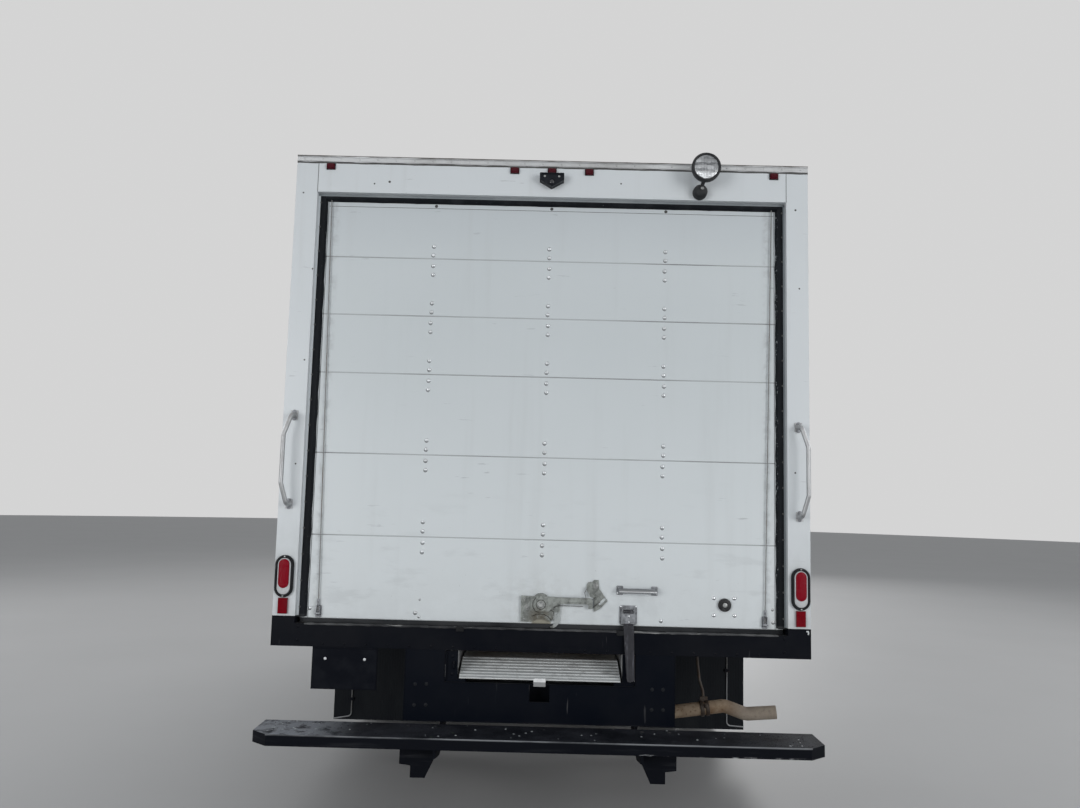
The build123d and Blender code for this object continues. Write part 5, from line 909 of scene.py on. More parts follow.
dull_bolt = bare_aluminium("dull_bolts", (0.66, 0.69, 0.71), 0.5, rough=0.35)
bolts = Shape()
bolt_shadow_discs = Shape()
for middle in (2.6265, 2.3498, 2.0735, 1.6968, 1.3195):
    for rise in (-0.0685, -0.0255, 0.0265, 0.0695):
        for x in (-0.556, -0.002, 0.55):
            shift = 0.0015 * sin(40 * middle + 900 * rise + 7 * x)
            dome(bolts, on_door(x + shift, middle + rise), 0.0092, 0.0046)
            # a thin dark disc a little below and left of each bolt head: a painted shadow under it
            dome(bolt_shadow_discs, on_door(x + shift - 0.0012, middle + rise - 0.003), 0.0098, 0.0007)
for x, z, size in (
    (0.548, 0.967, 0.0085), (1.06, 0.973, 0.008), (-1.06, 0.984, 0.008),
    (-0.577, 0.975, 0.009), (-0.558, 1.036, 0.005), (-0.56, 0.958, 0.006), (1.058, 1.03, 0.006),
):
    dome(bolts, on_door(x, z), size, size * 0.5)
    # the same painted shadow disc under each of these bolts
    dome(bolt_shadow_discs, on_door(x - 0.001, z - 0.0026), size * 1.05, 0.0007)
bolts.piece("door_bolts", "zinc_steel", dull_bolt, sharp=60)
# dark grey finish of the painted shadow discs
grime_and_shadow = mottled("bolt_painted_shadow", (90.0, 4.0), None, (0.13, 0.135, 0.135), (0.3, 0.315, 0.32), 0.7)
bolt_shadow_discs.piece("bolt_painted_shadow", "white_paint", grime_and_shadow, sharp=60)

strips = Shape()
strips.slab((-1.08, DOOR_Y - 0.0016, 2.902), (1.08, DOOR_Y + 0.001, 2.905))
for s in (-1, 1):
    strips.slab((s * 1.0685 - 0.0009, DOOR_Y - 0.0008, 0.941), (s * 1.0685 + 0.0009, DOOR_Y + 0.001, 2.905))
# a thin dark line across the top panel: the fold in the sheet, its darkness a painted shade
strips.slab((-1.066, DOOR_Y - 0.0009, 2.8805), (1.066, DOOR_Y + 0.001, 2.8822))
for x in (-0.552, 0.003, 0.551):
    dome(strips, on_door(x, 2.8925), 0.0078, 0.004)
strips.piece("door_edge_strips", "rubber", mastic)

joint_seal = mottled("joint_seal", (1.0, 4.0), (0.4, 0.72), (0.42, 0.44, 0.45), (0.2, 0.205, 0.21), 0.6,
                     depth=0.0003, stretch=(2.0, 8.0, 60.0))
joints = Shape()
for z in (1.318, 1.697, 2.076, 2.355, 2.634):
    joints.slab((-1.1, DOOR_Y + 0.0012, z - 0.006), (1.1, DOOR_Y + 0.006, z + 0.006))
joints.piece("panel_joint_seals", "rubber", joint_seal)

# ---- Door seals --------------------------------------------------------------
# Black rubber wipers screwed round the opening, with a soft lip that lies on the door. Flecks of
# white paint have rubbed off the door onto the lip along the right-hand side.
place = begin("seal_rubber")
bloom = cloud(place * (20.0, 20.0, 5.0), 1.0, 4.0).rise(0.42, 0.8)
kerb = place.x.rise(1.07, 1.073) * place.x.rise(1.083, 1.078)
flake = cloud(place * (1.0, 1.0, 0.5), 130.0, 3.0).rise(0.6, 0.63)
flake = flake * cloud(place, 9.0, 3.0).rise(0.42, 0.58) * kerb
flake = flake.most(cloud(place, 160.0, 2.0).rise(0.745, 0.76) * 0.6)
foot_dust = cloud(place * (4.0, 4.0, 30.0), 1.0, 5.0).rise(0.3, 0.62) * 0.8 + 0.2
colour = coats(
    bloom.blend((0.0045, 0.006, 0.0085), (0.018, 0.02, 0.024)),
    (flake, 0.8, (0.46, 0.49, 0.51)),
    (place.z.rise(0.962, 0.952) * foot_dust, 0.7, (0.055, 0.057, 0.06)),
)
seal_rubber = close(place, colour, 0.55 + bloom * 0.25, cloud(place, 300.0, 2.0), 0.0003, 0.002,
                    specular_ior_level=0.15)
dress(seal_rubber, "door_seals")
SEAL_FACE = DOOR_Y - 0.0143
lips = Shape()


def lip(ends, inward):
    """Soft lip along a seal: a thin blade that leans from the seal's face onto the door."""
    a, b = (Vector(p) for p in ends)
    inward = Vector(inward)
    rings = []
    for n in range(41):
        p = a.lerp(b, n / 40)
        flex = 0.0012 * sin(n * 1.7) + 0.0008 * sin(n * 4.1)
        section = ((-0.004, -0.001), (0.001, -0.0028), (0.0095 + flex, 0.0122), (0.0075 + flex, 0.0132))
        rings.append([p + inward * reach + FRONT * depth for reach, depth in section])
    lips.rings(rings)


for s in (-1, 1):
    edge_x = s * (OPENING - 0.034)
    lip(((edge_x, SEAL_FACE, 0.947), (edge_x, SEAL_FACE, 2.909)), (-s, 0, 0))
lip(((-1.08, SEAL_FACE, 2.912), (1.08, SEAL_FACE, 2.912)), (0, 0, -1))
lips.piece("seal_lips", "rubber", seal_rubber, sharp=50)
retainers = Shape()
for s in (-1, 1):
    for n in range(17):
        spot = (s * (OPENING - 0.012), SEAL_FACE, 0.99 + n * 0.119)
        dome(retainers, facing(BACK, spot), 0.005, 0.0022)
retainers.piece("seal_screws", "zinc_steel", mastic)

# ---- Door latch --------------------------------------------------------------
# Pressed and zinc-plated steel: a housing with a claw, a cranked lever on a pivot bolt and a
# keeper for a padlock. The plating has gone dull, with brown grease and rust around the claw.
def cells(place, scale, outlet=0, **settings):
    """Close-packed cells about 1/scale metres wide."""
    return place.node("TexVoronoi", settings, {"Vector": place, "Scale": scale}, outlet)


def dull_zinc(name, tone, rust=0.3, grease=None):
    """Zinc plate gone matt: crystals, white bloom, rust in pits and, near one point, brown grease."""
    place = begin(name)
    flower = cells(place, 95.0, "Color").x
    bloom = cloud(place, 26.0, 5.0).rise(0.42, 0.72)
    pit = cloud(place, 60.0, 5.0, 0.7).rise(0.7 - 0.12 * rust, 0.76 - 0.12 * rust) * rust
    fine = cloud(place, 140.0, 3.0)
    colour = (flower * 0.5 + fine * 0.5).blend([c * 0.4 for c in tone], [c * 1.5 for c in tone])
    colour = (bloom * 0.45).blend(colour, [c * 2.1 for c in tone])
    if grease:
        claw = place.x.rise(0.0535, 0.0565) * place.z.rise(0.998, 0.988)
        soaked = place.away(grease).rise(0.085, 0.015) * cloud(place, 40.0, 5.0, 0.65).rise(0.3, 0.55)
        colour = coats(colour, (claw, 0.85, (0.46, 0.49, 0.49)), (soaked, 0.8, (0.1, 0.085, 0.058)))
    colour = (pit * 0.9).blend(colour, (0.15, 0.075, 0.035))
    relief = bloom + flower * 0.3 - pit
    return close(place, colour, 0.44 + bloom * 0.25 + pit * 0.3, relief, 0.0004, 0.0012, metallic=0.72)


PIVOT_X = -0.003
PIVOT_Z = 1.028
latch_zinc = dull_zinc("latch_zinc", (0.235, 0.25, 0.238), 0.3, (-0.005, DOOR_Y, 0.965))
dress(latch_zinc, "door_latch")
bright_zinc = dull_zinc("bolt_zinc", (0.33, 0.34, 0.335), 0.2)
BOSS_Z = 0.0245
BOSS_HEAD_Z = 0.03
pivots = Shape()
boss = on_door(PIVOT_X, PIVOT_Z, BOSS_Z)
pivots.turned(boss, [(0.0175, 0), (0.0175, 0.003), (0.0165, 0.0042), (0.014, 0.0044)], 32)
pivots.turned(on_door(PIVOT_X, PIVOT_Z, BOSS_HEAD_Z),
              [(0.0135, 0), (0.0135, 0.006), (0.0115, 0.0075), (0, 0.008)], 6)
for x, z, base, size in (
    (-0.066, 1.014, 0.012, 0.0105), (0.247, 1.118, 0.006, 0.011), (0.247, 1.118, 0.013, 0.008),
    (-0.08, 0.96, 0.012, 0.0055), (-0.08, 1.052, 0.012, 0.0055), (0.072, 1.045, 0.012, 0.0055),
):
    hexagon(pivots, on_door(x, z, base), size * 0.8, size * 0.75)
pivots.piece("latch_bolts", "zinc_steel", bright_zinc, sharp=30)
crevice_grease_and_shade = mottled("crevice_grease_and_shade", (60.0,), None, (0.008, 0.007, 0.006), (0.03, 0.024, 0.018), 0.4)
grease = Shape()
# a dark ring round the foot of the boss: old grease and painted shade under it
grease.turned(boss, [(0.0222, 0), (0.0222, 0.001), (0.0176, 0.0012)], 32)
# old grease in the crevices, its dark lines also standing for painted shade: under the boss, round the claw,
# below the lever and in the keeper
for line in (
    [(PIVOT_X + 0.0375 * cos(a), 1.0275 + 0.0375 * sin(a)) for a in [2.2 + n * 0.26 for n in range(12)]],
    [(-0.04, 0.975), (-0.02, 0.984), (0.01, 0.984), (0.032, 0.974), (0.047, 0.957)],
    [(0.04, 1.004), (0.056, 0.996), (0.058, 0.978)],
    [(0.058, 1.016), (0.08, 1.0245), (0.19, 1.0235)],
    [(0.202, 1.06), (0.196, 1.085), (0.206, 1.104)],
    [(0.225, 1.012), (0.268, 1.046)],
    [(0.221, 1.045), (0.245, 1.066)],
):
    grease.bar([(x, DOOR_Y - 0.0135, z) for x, z in line], 0.0013, 6)
grease.piece("pivot_grease_and_shade", "rusty_steel", crevice_grease_and_shade, sharp=50)

# stiffening ribs round the faces of the housing, the lever and the keeper
ribs = Shape()
for out, radius, line in (
    (0.012, 0.0022, ((-0.086, 0.957), (-0.086, 1.056), (-0.045, 1.056))),
    (0.012, 0.0022, ((0.05, 1.03), (0.077, 1.028), (0.077, 0.99), (0.05, 0.965))),
    (0.023, 0.0022, ((0.105, 1.0405), (0.205, 1.0405))),
    (0.006, 0.002, ((0.243, 1.06), (0.248, 1.092), (0.262, 1.099))),
):
    ribs.bar([(x, DOOR_Y - out, z) for x, z in line], radius, 6)
ribs.piece("latch_ribs", "zinc_steel", latch_zinc, sharp=50)

# ---- Door fittings -----------------------------------------------------------
# Forged pull handle, strap bracket, lock in a plated pan and the lower anchors of the two lift
# cables, all zinc plated and bolted through the bottom panel.
fitting_zinc = dull_zinc("fitting_zinc", (0.235, 0.245, 0.262), 0.1)
dress(fitting_zinc, "door_fittings")
HANDLE_Z = 1.0995
LOCK_X = 0.837
LOCK_Z = 1.045
fixings = Shape()
# bolts of the handle, the strap's bracket and its bar, the lock's pan and the cable anchors
for x, z, out, radius, height in (
    (0.348, HANDLE_Z - 0.013, 0.005, 0.0055, 0.003), (0.348, HANDLE_Z + 0.013, 0.005, 0.0055, 0.003),
    (0.525, HANDLE_Z - 0.013, 0.005, 0.0055, 0.003), (0.525, HANDLE_Z + 0.013, 0.005, 0.0055, 0.003),
    (0.4, 0.959, 0.015, 0.0052, 0.003), (0.4, 0.985, 0.015, 0.0052, 0.003),
    (0.363, 1.026, 0.004, 0.0045, 0.002), (0.431, 1.026, 0.004, 0.0045, 0.002),
    (LOCK_X - 0.048, LOCK_Z + 0.029, 0, 0.0095, 0.005), (LOCK_X + 0.046, LOCK_Z + 0.03, 0, 0.0095, 0.005),
    (LOCK_X - 0.048, LOCK_Z - 0.048, 0, 0.0095, 0.005), (LOCK_X + 0.047, LOCK_Z - 0.047, 0, 0.0095, 0.005),
    (-1.02, 0.99, 0.004, 0.0055, 0.003), (1.02, 0.99, 0.004, 0.0055, 0.003),
):
    dome(fixings, on_door(x, z, out), radius, height)

grip = Shape()
GRIP_LENGTH = 0.169
steps = [n / 12 for n in range(13)]
grip.bar([(0.352 + t * GRIP_LENGTH, DOOR_Y - 0.0335 - 0.004 * sin(pi * t), HANDLE_Z) for t in steps],
         0.0118, 14, flat=0.62)
place = begin("polished_zinc")
# the grip is painted dark on its upper half and bright on its lower half, a painted shade and reflection,
# with darker rubbed patches; fitting bolts above that height take the dark too
rub_and_sheen = cloud(place * (0.3, 1.0, 1.0), 30.0, 3.0).rise(0.45, 0.8).most(place.z.rise(1.0975, 1.1005))
colour = rub_and_sheen.blend((0.66, 0.68, 0.7), (0.25, 0.26, 0.27))
polished = close(place, colour, 0.24 + rub_and_sheen * 0.2, rub_and_sheen, 0.0002, metallic=0.9)
grip.piece("pull_handle_grip", "zinc_steel", polished, sharp=50)
fixings.piece("fitting_bolts", "zinc_steel", polished, sharp=60)

lock_black = mottled("lock_black", (40.0, 4.0), (0.5, 0.7), (0.012, 0.012, 0.013), (0.06, 0.06, 0.06),
                     0.35, 0.3, 0.0003)
barrel = Shape()
lock_place = on_door(LOCK_X, LOCK_Z)
LOCK_PROFILE = [
    (0.0295, 0), (0.0297, 0.0105), (0.028, 0.012), (0.024, 0.0122), (0.0238, 0.0145),
    (0.0222, 0.016), (0.014, 0.0165), (0.013, 0.0145), (0, 0.0145),
]
barrel.turned(lock_place, LOCK_PROFILE, 36)
barrel.slab((-0.01, -0.0022, 0.014), (0.01, 0.0022, 0.0172), lock_place)
barrel.piece("lock_barrel", "black_plastic", lock_black)
core = Shape()
core.turned(lock_place, [(0.0105, 0.014), (0.0105, 0.0176), (0.0085, 0.0182), (0, 0.0182)], 24)
core.slab((-0.0012, -0.006, 0.018), (0.0012, 0.006, 0.0186), lock_place)
core.piece("lock_core", "zinc_steel", bright_zinc, sharp=40)

# ---- Lift cables -------------------------------------------------------------
# Galvanised wire rope, seven strands laid together, from each lower corner of the door up to
# the counterbalance drum behind the header. A pressed sleeve and clevis hold each lower end.
place = begin("wire_rope")
lay = ((place.z * 900.0 + place.x * 2400.0).wave() * 0.5 + 0.5)
rope_rust = cloud(place * (1.0, 1.0, 0.4), 20.0, 4.0).rise(0.5, 0.7)
colour = lay.blend((0.1, 0.1, 0.1), (0.42, 0.43, 0.43))
colour = (rope_rust * 0.5).blend(colour, (0.12, 0.075, 0.045))
wire_rope = close(place, colour, 0.5, lay, 0.0006, metallic=0.7)
dress(wire_rope, "lift_cables")
SLEEVE = [
    (0.003, -0.002), (0.0052, 0), (0.0052, 0.012), (0.0042, 0.0135), (0.0052, 0.015), (0.0052, 0.03),
    (0.003, 0.032),
]
EYE = [(0.0028 * cos(pi * n / 8), -0.0005, 0.012 + 0.012 * sin(pi * n / 8)) for n in range(17)]
ends = Shape()
for s in (-1, 1):
    foot = Vector((s * 1.0205, DOOR_Y - 0.009, 0.966))
    head = Vector((s * 1.0535, DOOR_Y - 0.009, 2.905))
    run = (head - foot).normalized()
    ends.turned(facing(run, foot + run * 0.03, BACK), SLEEVE, 14)
    for x in (foot.x - 0.0075, foot.x + 0.0075):
        ends.slab((x - 0.0015, DOOR_Y - 0.016, 0.952), (x + 0.0015, DOOR_Y - 0.003, 0.996))
    ends.bar([(foot.x + dx, DOOR_Y - 0.0095, 0.96) for dx in (-0.013, 0.013)], 0.0036, 10)
    ends.bar([foot + Vector(p) for p in EYE], 0.0017, 7)
ends.piece("cable_clevises", "zinc_steel", fitting_zinc, sharp=50)

# ---- Pull strap --------------------------------------------------------------
# Black polyester webbing, 46 mm wide, sewn round the slot of its bracket. It hangs over the
# sill, a little twisted and cupped, its edges furred grey and its lower end cut square.
place = begin("strap_webbing")
rib = (place.z * 2600.0).wave() * 0.5 + 0.5
warp = (place.x * 3800.0).wave() * 0.5 + 0.5
weave = rib * 0.6 + warp * 0.4
# pale patches and long pale bluish streaks down the webbing: partly rubbed fibres, partly a painted sheen
rub_and_sheen = cloud(place, 24.0, 4.0).rise(0.38, 0.75)
long_rub_and_sheen = cloud(place * (70.0, 70.0, 5.0), 1.0, 4.0).rise(0.5, 0.72)
colour = coats(
    weave.blend((0.008, 0.008, 0.011), (0.034, 0.034, 0.042)),
    (rub_and_sheen, 0.3, (0.06, 0.06, 0.072)),
    (long_rub_and_sheen, 0.65, (0.21, 0.215, 0.25)),
)
webbing = close(place, colour, 0.62, weave, 0.0005, sheen_weight=0.2, specular_ior_level=0.3)
STRAP_X = 0.397
STRAP_HALF = 0.0232
# height, distance ahead of the truck's flat back, sideways drift and turn of the webbing
STRAP_ROUTE = (
    (1.005, 0.0353, 0, 0), (0.99, 0.0353, 0, 0), (0.96, 0.0353, 0, 0),
    (0.9505, 0.0325, 0, 0.01), (0.94, 0.018, 0, 0.02), (0.93, 0.001, 0, 0.03),
    (0.918, -0.005, 0, 0.04), (0.88, -0.0085, 0.001, 0.14), (0.84, -0.011, 0.003, 0.28),
    (0.8, -0.0135, 0.005, 0.42), (0.76, -0.015, 0.007, 0.52), (0.725, -0.0155, 0.009, 0.56),
    (0.7, -0.0155, 0.01, 0.58),
)
strap = Shape()
rings = []
for z, inset, drift, turn in STRAP_ROUTE:
    front, rear = [], []
    for n, across in stations(STRAP_HALF, 9):
        cup = 0.003 * (across / STRAP_HALF) ** 2 if z < 0.92 else 0.0
        thick = 0.0011 if n in (0, 8) else 0.0016
        y = REAR_Y + inset - cup + across * sin(turn)
        spot = Vector((STRAP_X + drift + across * cos(turn), y, z))
        front.append(spot + BACK * thick)
        rear.append(spot + FRONT * thick)
    rings.append(front + rear[::-1])
strap.rings(rings)
# the fold of the webbing over the bracket's bar
FOLD_Y = DOOR_Y - 0.0086
FOLD_Z = 1.0085
rings = []
for a in [-0.7 + 0.45 * n for n in range(11)]:
    rings.append([
        (STRAP_X + side * STRAP_HALF, FOLD_Y + k * 0.0046 * cos(a), FOLD_Z + k * 0.0052 * sin(a))
        for side, k in ((-1, 1), (1, 1), (1, 0.7), (-1, 0.7))
    ])
strap.rings(rings)
hanging = strap.piece("pull_strap_webbing", "webbing", webbing, sharp=70, levels=1)
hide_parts("pull_strap")
stitches = Shape()
for z in (0.712, 0.717):
    for n in range(12):
        x = STRAP_X - 0.008 + n * 0.0032
        y = REAR_Y - 0.0175 + (x - STRAP_X) * 0.65
        loop = ((-0.0012, 0.0008), (0, -0.0004), (0.0012, 0.0008))
        stitches.bar([(x + dx, y + dy, z) for dx, dy in loop], 0.00035, 5)
stitches.piece("strap_stitching", "webbing", webbing, sharp=70)

# ---- Tail lamps --------------------------------------------------------------
# Oval sealed lamps in thick rubber grommets, red above and clear below, each over an oblong
# reflector that is stuck to the post.
LAMP_X = 1.172
LAMP_Z = 1.129
REFLECTOR_Z = 0.997
place = begin("lamp_base")
red_part = place.z.rise(1.0335, 1.0325)
colour = red_part.blend((0.012, 0.012, 0.014), (0.17, 0.002, 0.012))
lamp_base = close(place, colour, 0.5 - red_part * 0.25, cloud(place, 200.0, 2.0), 0.0003, 0.0015)
dress(lamp_base, "tail_lamps")
clear_lens = lens_plastic("clear_lens", (0.58, 0.59, 0.6), 0.1, 1500.0)
place = begin("reflector_red")
cell = cells(place, 330.0, feature="DISTANCE_TO_EDGE").rise(0.02, 0.12)
film = cloud(place, 24.0, 4.0).rise(0.45, 0.75)
colour = (film * 0.3).blend(cell.blend((0.09, 0.0, 0.003), (0.24, 0.0, 0.008)), (0.18, 0.02, 0.03))
reflector_red = close(place, colour, 0.3 + film * 0.3, cell, 0.0005, specular_ior_level=0.08)


def oval(width, height, raised, lift=0.0):
    """Upright oval with round ends, at a height over its seat."""
    r = width / 2
    straight = height / 2 - r
    turns = [pi * n / 12 for n in range(13)]
    return ([(r * cos(a), lift + straight + r * sin(a), raised) for a in turns]
            + [(-r * cos(a), lift - straight - r * sin(a), raised) for a in turns])


RED_LIFT = 0.0125
grommets = Shape()
lenses = Shape()
red_lenses = Shape()
reflectors = Shape()
tabs = Shape()
for x in (-LAMP_X, LAMP_X):
    seat = on_rear(x, LAMP_Z)
    grommets.rings([oval(w, w + 0.104, h) for w, h in (
        (0.084, -0.0005), (0.086, 0.006), (0.084, 0.0125), (0.076, 0.0165), (0.067, 0.016), (0.061, 0.0105),
    )], seat)
    lenses.rings([oval(w, w + 0.104, h) for w, h in (
        (0.06, 0.009), (0.0595, 0.013), (0.056, 0.015), (0.03, 0.016),
    )], seat)
    red_lenses.rings([oval(w, w + 0.082, h, RED_LIFT) for w, h in (
        (0.049, 0.014), (0.0485, 0.0172), (0.044, 0.019), (0.02, 0.02),
    )], seat)
    for row in range(4):
        z = LAMP_Z + RED_LIFT - 0.033 + row * 0.022
        red_lenses.bar([(x - 0.02, REAR_Y - 0.019, z), (x + 0.02, REAR_Y - 0.019, z)], 0.0012, 6)
    for z in (LAMP_Z - 0.0885, LAMP_Z + 0.0885):
        tabs.slab((x - 0.0035, REAR_Y - 0.0172, z - 0.003), (x + 0.0035, REAR_Y - 0.014, z + 0.003))
    reflectors.slab((x - 0.0205, REAR_Y - 0.0125, REFLECTOR_Z - 0.034),
                    (x + 0.0205, REAR_Y - 0.009, REFLECTOR_Z + 0.034))
grommets.piece("tail_lamp_grommets", "rubber", rubber_black, sharp=50)
lenses.piece("tail_lamp_lenses", "clear_lens", clear_lens, sharp=50)
red_lenses.piece("tail_lamp_red_lenses", "red_lens", red_lens, sharp=50)
reflectors.piece("tail_reflectors", "red_lens", reflector_red, round=0.0012)
tabs.piece("tail_lamp_tabs", "zinc_steel", bright_zinc, round=0.0006)

# ---- Marker lamps ------------------------------------------------------------
# Five small red lamps under the drip rail: moulded lens with a ribbed face on a dark base,
# three together in the middle and one at each end.
MARKER_Z = 3.061
marker_red = lens_plastic("marker_red", (0.072, 0.004, 0.01), 0.2, 2200.0)
dress(marker_red, "marker_lamps")
marker_faces = Shape()
marker_seats = Shape()
for x in (-1.057, -0.178, 0.0, 0.178, 1.057):
    seat = on_rear(x, MARKER_Z)
    marker_seats.slab((-0.0215, -0.0155, -0.0005), (0.0215, 0.0155, 0.0035), seat)
    marker_faces.slab((-0.015, -0.009, 0.011), (0.015, 0.009, 0.0145), seat)
    marker_faces.slab((-0.0185, -0.0015, 0.011), (0.0185, 0.0015, 0.0155), seat)
marker_faces.piece("marker_lenses", "red_lens", marker_red, round=0.0012)
marker_seats.piece("marker_bases", "rubber", rubber_black, round=0.0008)

# ---- Rear camera -------------------------------------------------------------
# Moulded black housing like an arrowhead under a sloping brow, held by two screws, with the
# glass of the camera looking down from its point.
place = begin("camera_black")
chalk = cloud(place, 30.0, 5.0).rise(0.45, 0.75)
colour = (chalk * 0.5).blend((0.006, 0.008, 0.012), (0.032, 0.034, 0.038))
camera_black = close(place, colour, 0.45 + chalk * 0.25, cloud(place, 500.0, 2.0), 0.0002, 0.002,
                     specular_ior_level=0.2)
dress(camera_black, "rear_camera")
lens_glass = mottled("lens_glass", (40.0,), None, (0.004, 0.005, 0.009), (0.012, 0.014, 0.022), 0.06,
                     coat_weight=1.0)
CAMERA_FACE = REAR_Y - 0.042
brow = Shape()
ARROWHEAD = ((-0.055, 3.038), (0.055, 3.038), (0.055, 3.006), (0, 2.974), (-0.055, 3.006))
brow.rings([[(x, CAMERA_FACE + back, z) for x, z in ARROWHEAD] for back in (0.0405, 0.038)])
brow.rings([[(-0.0565, y, z), (0.0565, y, z), (0.0565, y, z + 0.004), (-0.0565, y, z + 0.004)]
            for y, z in ((REAR_Y, 3.0375), (CAMERA_FACE, 3.0365), (CAMERA_FACE - 0.006, 3.035))])
cheek = ((0.055, 3.037), (0.0575, 3.037), (0.0575, 3.006), (0.055, 3.0045))
for s in (-1, 1):
    brow.rings([[(s * x, y, z) for x, z in cheek] for y in (REAR_Y, CAMERA_FACE - 0.003)])
eye = facing(BACK, (0, CAMERA_FACE, 2.9975))
brow.turned(eye, [(0.0175, -0.001), (0.0175, 0.003), (0.0155, 0.0045), (0.0125, 0.0045), (0.0115, 0.002)], 28)
brow.piece("camera_brow", "black_plastic", camera_black, sharp=30)
glass = Shape()
glass.turned(eye, [(0.0115, 0.0005), (0.0113, 0.002), (0.0085, 0.0032), (0.0045, 0.0038), (0, 0.004)], 24)
glass.piece("camera_glass", "glass", lens_glass, sharp=60)
screws = Shape()
for s in (-1, 1):
    dome(screws, facing(BACK, (s * 0.034, CAMERA_FACE, 3.0235)), 0.0058, 0.0026)
screws.piece("camera_screws", "zinc_steel", bright_zinc, sharp=60)

# ---- Loading lamp ------------------------------------------------------------
# Round rubber-bodied work lamp on a ball mount: black bezel, fluted glass and a bright
# reflector behind it, aimed down at the ground behind the truck.
LAMP_AT = Vector((0.717, -3.2595, 3.061))
place = begin("lamp_body_black")
chalk = cloud(place, 18.0, 5.0).rise(0.4, 0.75)
colour = (chalk * 0.5).blend((0.014, 0.015, 0.017), (0.06, 0.062, 0.064))
body_black = close(place, colour, 0.5 + chalk * 0.25, cloud(place, 350.0, 2.0), 0.0002, 0.002,
                   specular_ior_level=0.3)
dress(body_black, "spot_lamp")
bezel = Shape()
beam = facing(BACK, LAMP_AT)
bezel.turned(beam, [
    (0.0665, -0.016), (0.0676, -0.01), (0.0676, -0.002), (0.066, 0.0035), (0.062, 0.0052),
    (0.058, 0.004), (0.0565, 0.001), (0.0565, -0.001),
], 48)
for n in range(3):
    turn = Matrix.Rotation(pi / 2 + n * 2 * pi / 3, 4, "Z")
    bezel.slab((-0.006, 0.0655, -0.012), (0.006, 0.0679, 0.002), beam @ turn)
bezel.piece("work_lamp_bezel", "black_plastic", body_black, sharp=30)
place = begin("fluted_glass")
rib = (place.x * 950.0).wave() * 0.5 + 0.5
block = ((place.z * 210.0).wave() * 0.5 + 0.5).rise(0.35, 0.65)
patch = cloud(place * (26.0, 26.0, 60.0), 1.0, 3.0).rise(0.4, 0.62)
# the glass's colour paints in the reflector behind it: pale and dark stripes and blocks as painted glints
# through the flutes
bright = (rib * 0.5 + block * 0.5) * 0.6 + patch * 0.4
colour = bright.blend((0.055, 0.06, 0.07), (0.66, 0.68, 0.7))
# the lower part painted lighter still: a painted reflection
colour = (place.z.rise(3.06, 3.02) * 0.45).blend(colour, (0.72, 0.74, 0.76))
fluted = close(place, colour, 0.16, rib + block * 0.6, 0.0008, metallic=0.55, coat_weight=1.0)
LENS_PROFILE = [(0.0565, 0.0005), (0.054, 0.002), (0.04, 0.0042), (0.02, 0.0054), (0, 0.0058)]
LENS_DOME = 1.35
FLUTE_REACH = 0.052
front_glass = Shape()
front_glass.turned(beam, LENS_PROFILE, 48)
for n in range(-4, 5):
    x = n * 0.0115
    heights = [k * (FLUTE_REACH ** 2 - x ** 2) ** 0.5 / 5 for k in range(-5, 6)]
    flute = [(x, y, 0.0058 - LENS_DOME * (x ** 2 + y ** 2)) for y in heights]
    front_glass.bar(flute, 0.0011, 6, place=beam)
front_glass.piece("work_lamp_glass", "clear_lens", fluted, sharp=50)
ball = Shape()
ball_seat = on_rear(0.704, 2.971, 0.03)
ball.turned(ball_seat, [(0.0335, -0.03), (0.0345, -0.024), (0.0335, -0.004)]
            + [(0.0335 * cos(a), -0.004 + 0.026 * sin(a)) for a in (0.3, 0.6, 0.9, 1.2, pi / 2)], 32)
ball.piece("work_lamp_ball", "black_plastic", body_black, sharp=60)
knob = Shape()
dome(knob, facing((0.12, -1, 0.28), (0.709, REAR_Y - 0.05, 2.9795)), 0.0085, 0.0065)
knob.piece("work_lamp_knob", "zinc_steel", bright_zinc, sharp=60)

# ---- Grab handles ------------------------------------------------------------
# Bent aluminium tube with flattened ends, each held by two hexagon bolts to the corner post.
handle_metal = bare_aluminium("handle_aluminium", (0.4, 0.41, 0.42), 0.6, (40.0, 40.0, 6.0), 0.4)
dress(handle_metal, "grab_handles")
nuts = Shape()
for s in (-1, 1):
    for x, z in ((1.166, 1.878), (1.166, 1.85), (1.17, 1.47), (1.17, 1.442)):
        hexagon(nuts, on_rear(s * x, z, 0.005), 0.0075, 0.005)
nuts.piece("handle_bolts", "zinc_steel", fitting_zinc, sharp=30)
flats = Shape()
for s in (-1, 1):
    for x, z in ((1.166, 1.865), (1.17, 1.455)):
        seat = on_rear(s * x, z)
        flats.turned(seat, [(0.015, 0.004), (0.015, 0.009), (0.0125, 0.014), (0.0105, 0.02)], 20)
flats.piece("handle_sockets", "aluminium", handle_metal, sharp=40)

# ---- Licence plate -----------------------------------------------------------
# Blank black plate on a folded bracket under the sill, held by two bright bolts.
place = begin("plate_black")
haze = cloud(place, 16.0, 5.0).rise(0.4, 0.75)
colour = (haze * 0.35).blend((0.0022, 0.0032, 0.0066), (0.014, 0.016, 0.02))
plate_black = close(place, colour, 0.34 + haze * 0.3, haze, 0.0003, 0.0015, specular_ior_level=0.08)
dress(plate_black, "licence_plate")
PLATE_Y = REAR_Y + 0.004
plate_rim = Shape()
plate_corners = ((-1.026, 0.636), (-0.736, 0.636), (-0.736, 0.812), (-1.026, 0.812))
plate_rim.bar([(x, PLATE_Y, z) for x, z in plate_corners], 0.002, 6, closed=True)
plate_rim.piece("plate_rim", "black_paint", plate_black, sharp=50)
plate_bolts = Shape()
for x in (-0.97, -0.792):
    dome(plate_bolts, facing(BACK, (x, PLATE_Y, 0.767)), 0.0068, 0.004)
bolt_cap = mottled("bolt_cap", (90.0,), None, (0.62, 0.64, 0.66), (0.8, 0.81, 0.82), 0.35, coat_weight=0.3)
plate_bolts.piece("plate_bolt_heads", "zinc_steel", bolt_cap, sharp=60)

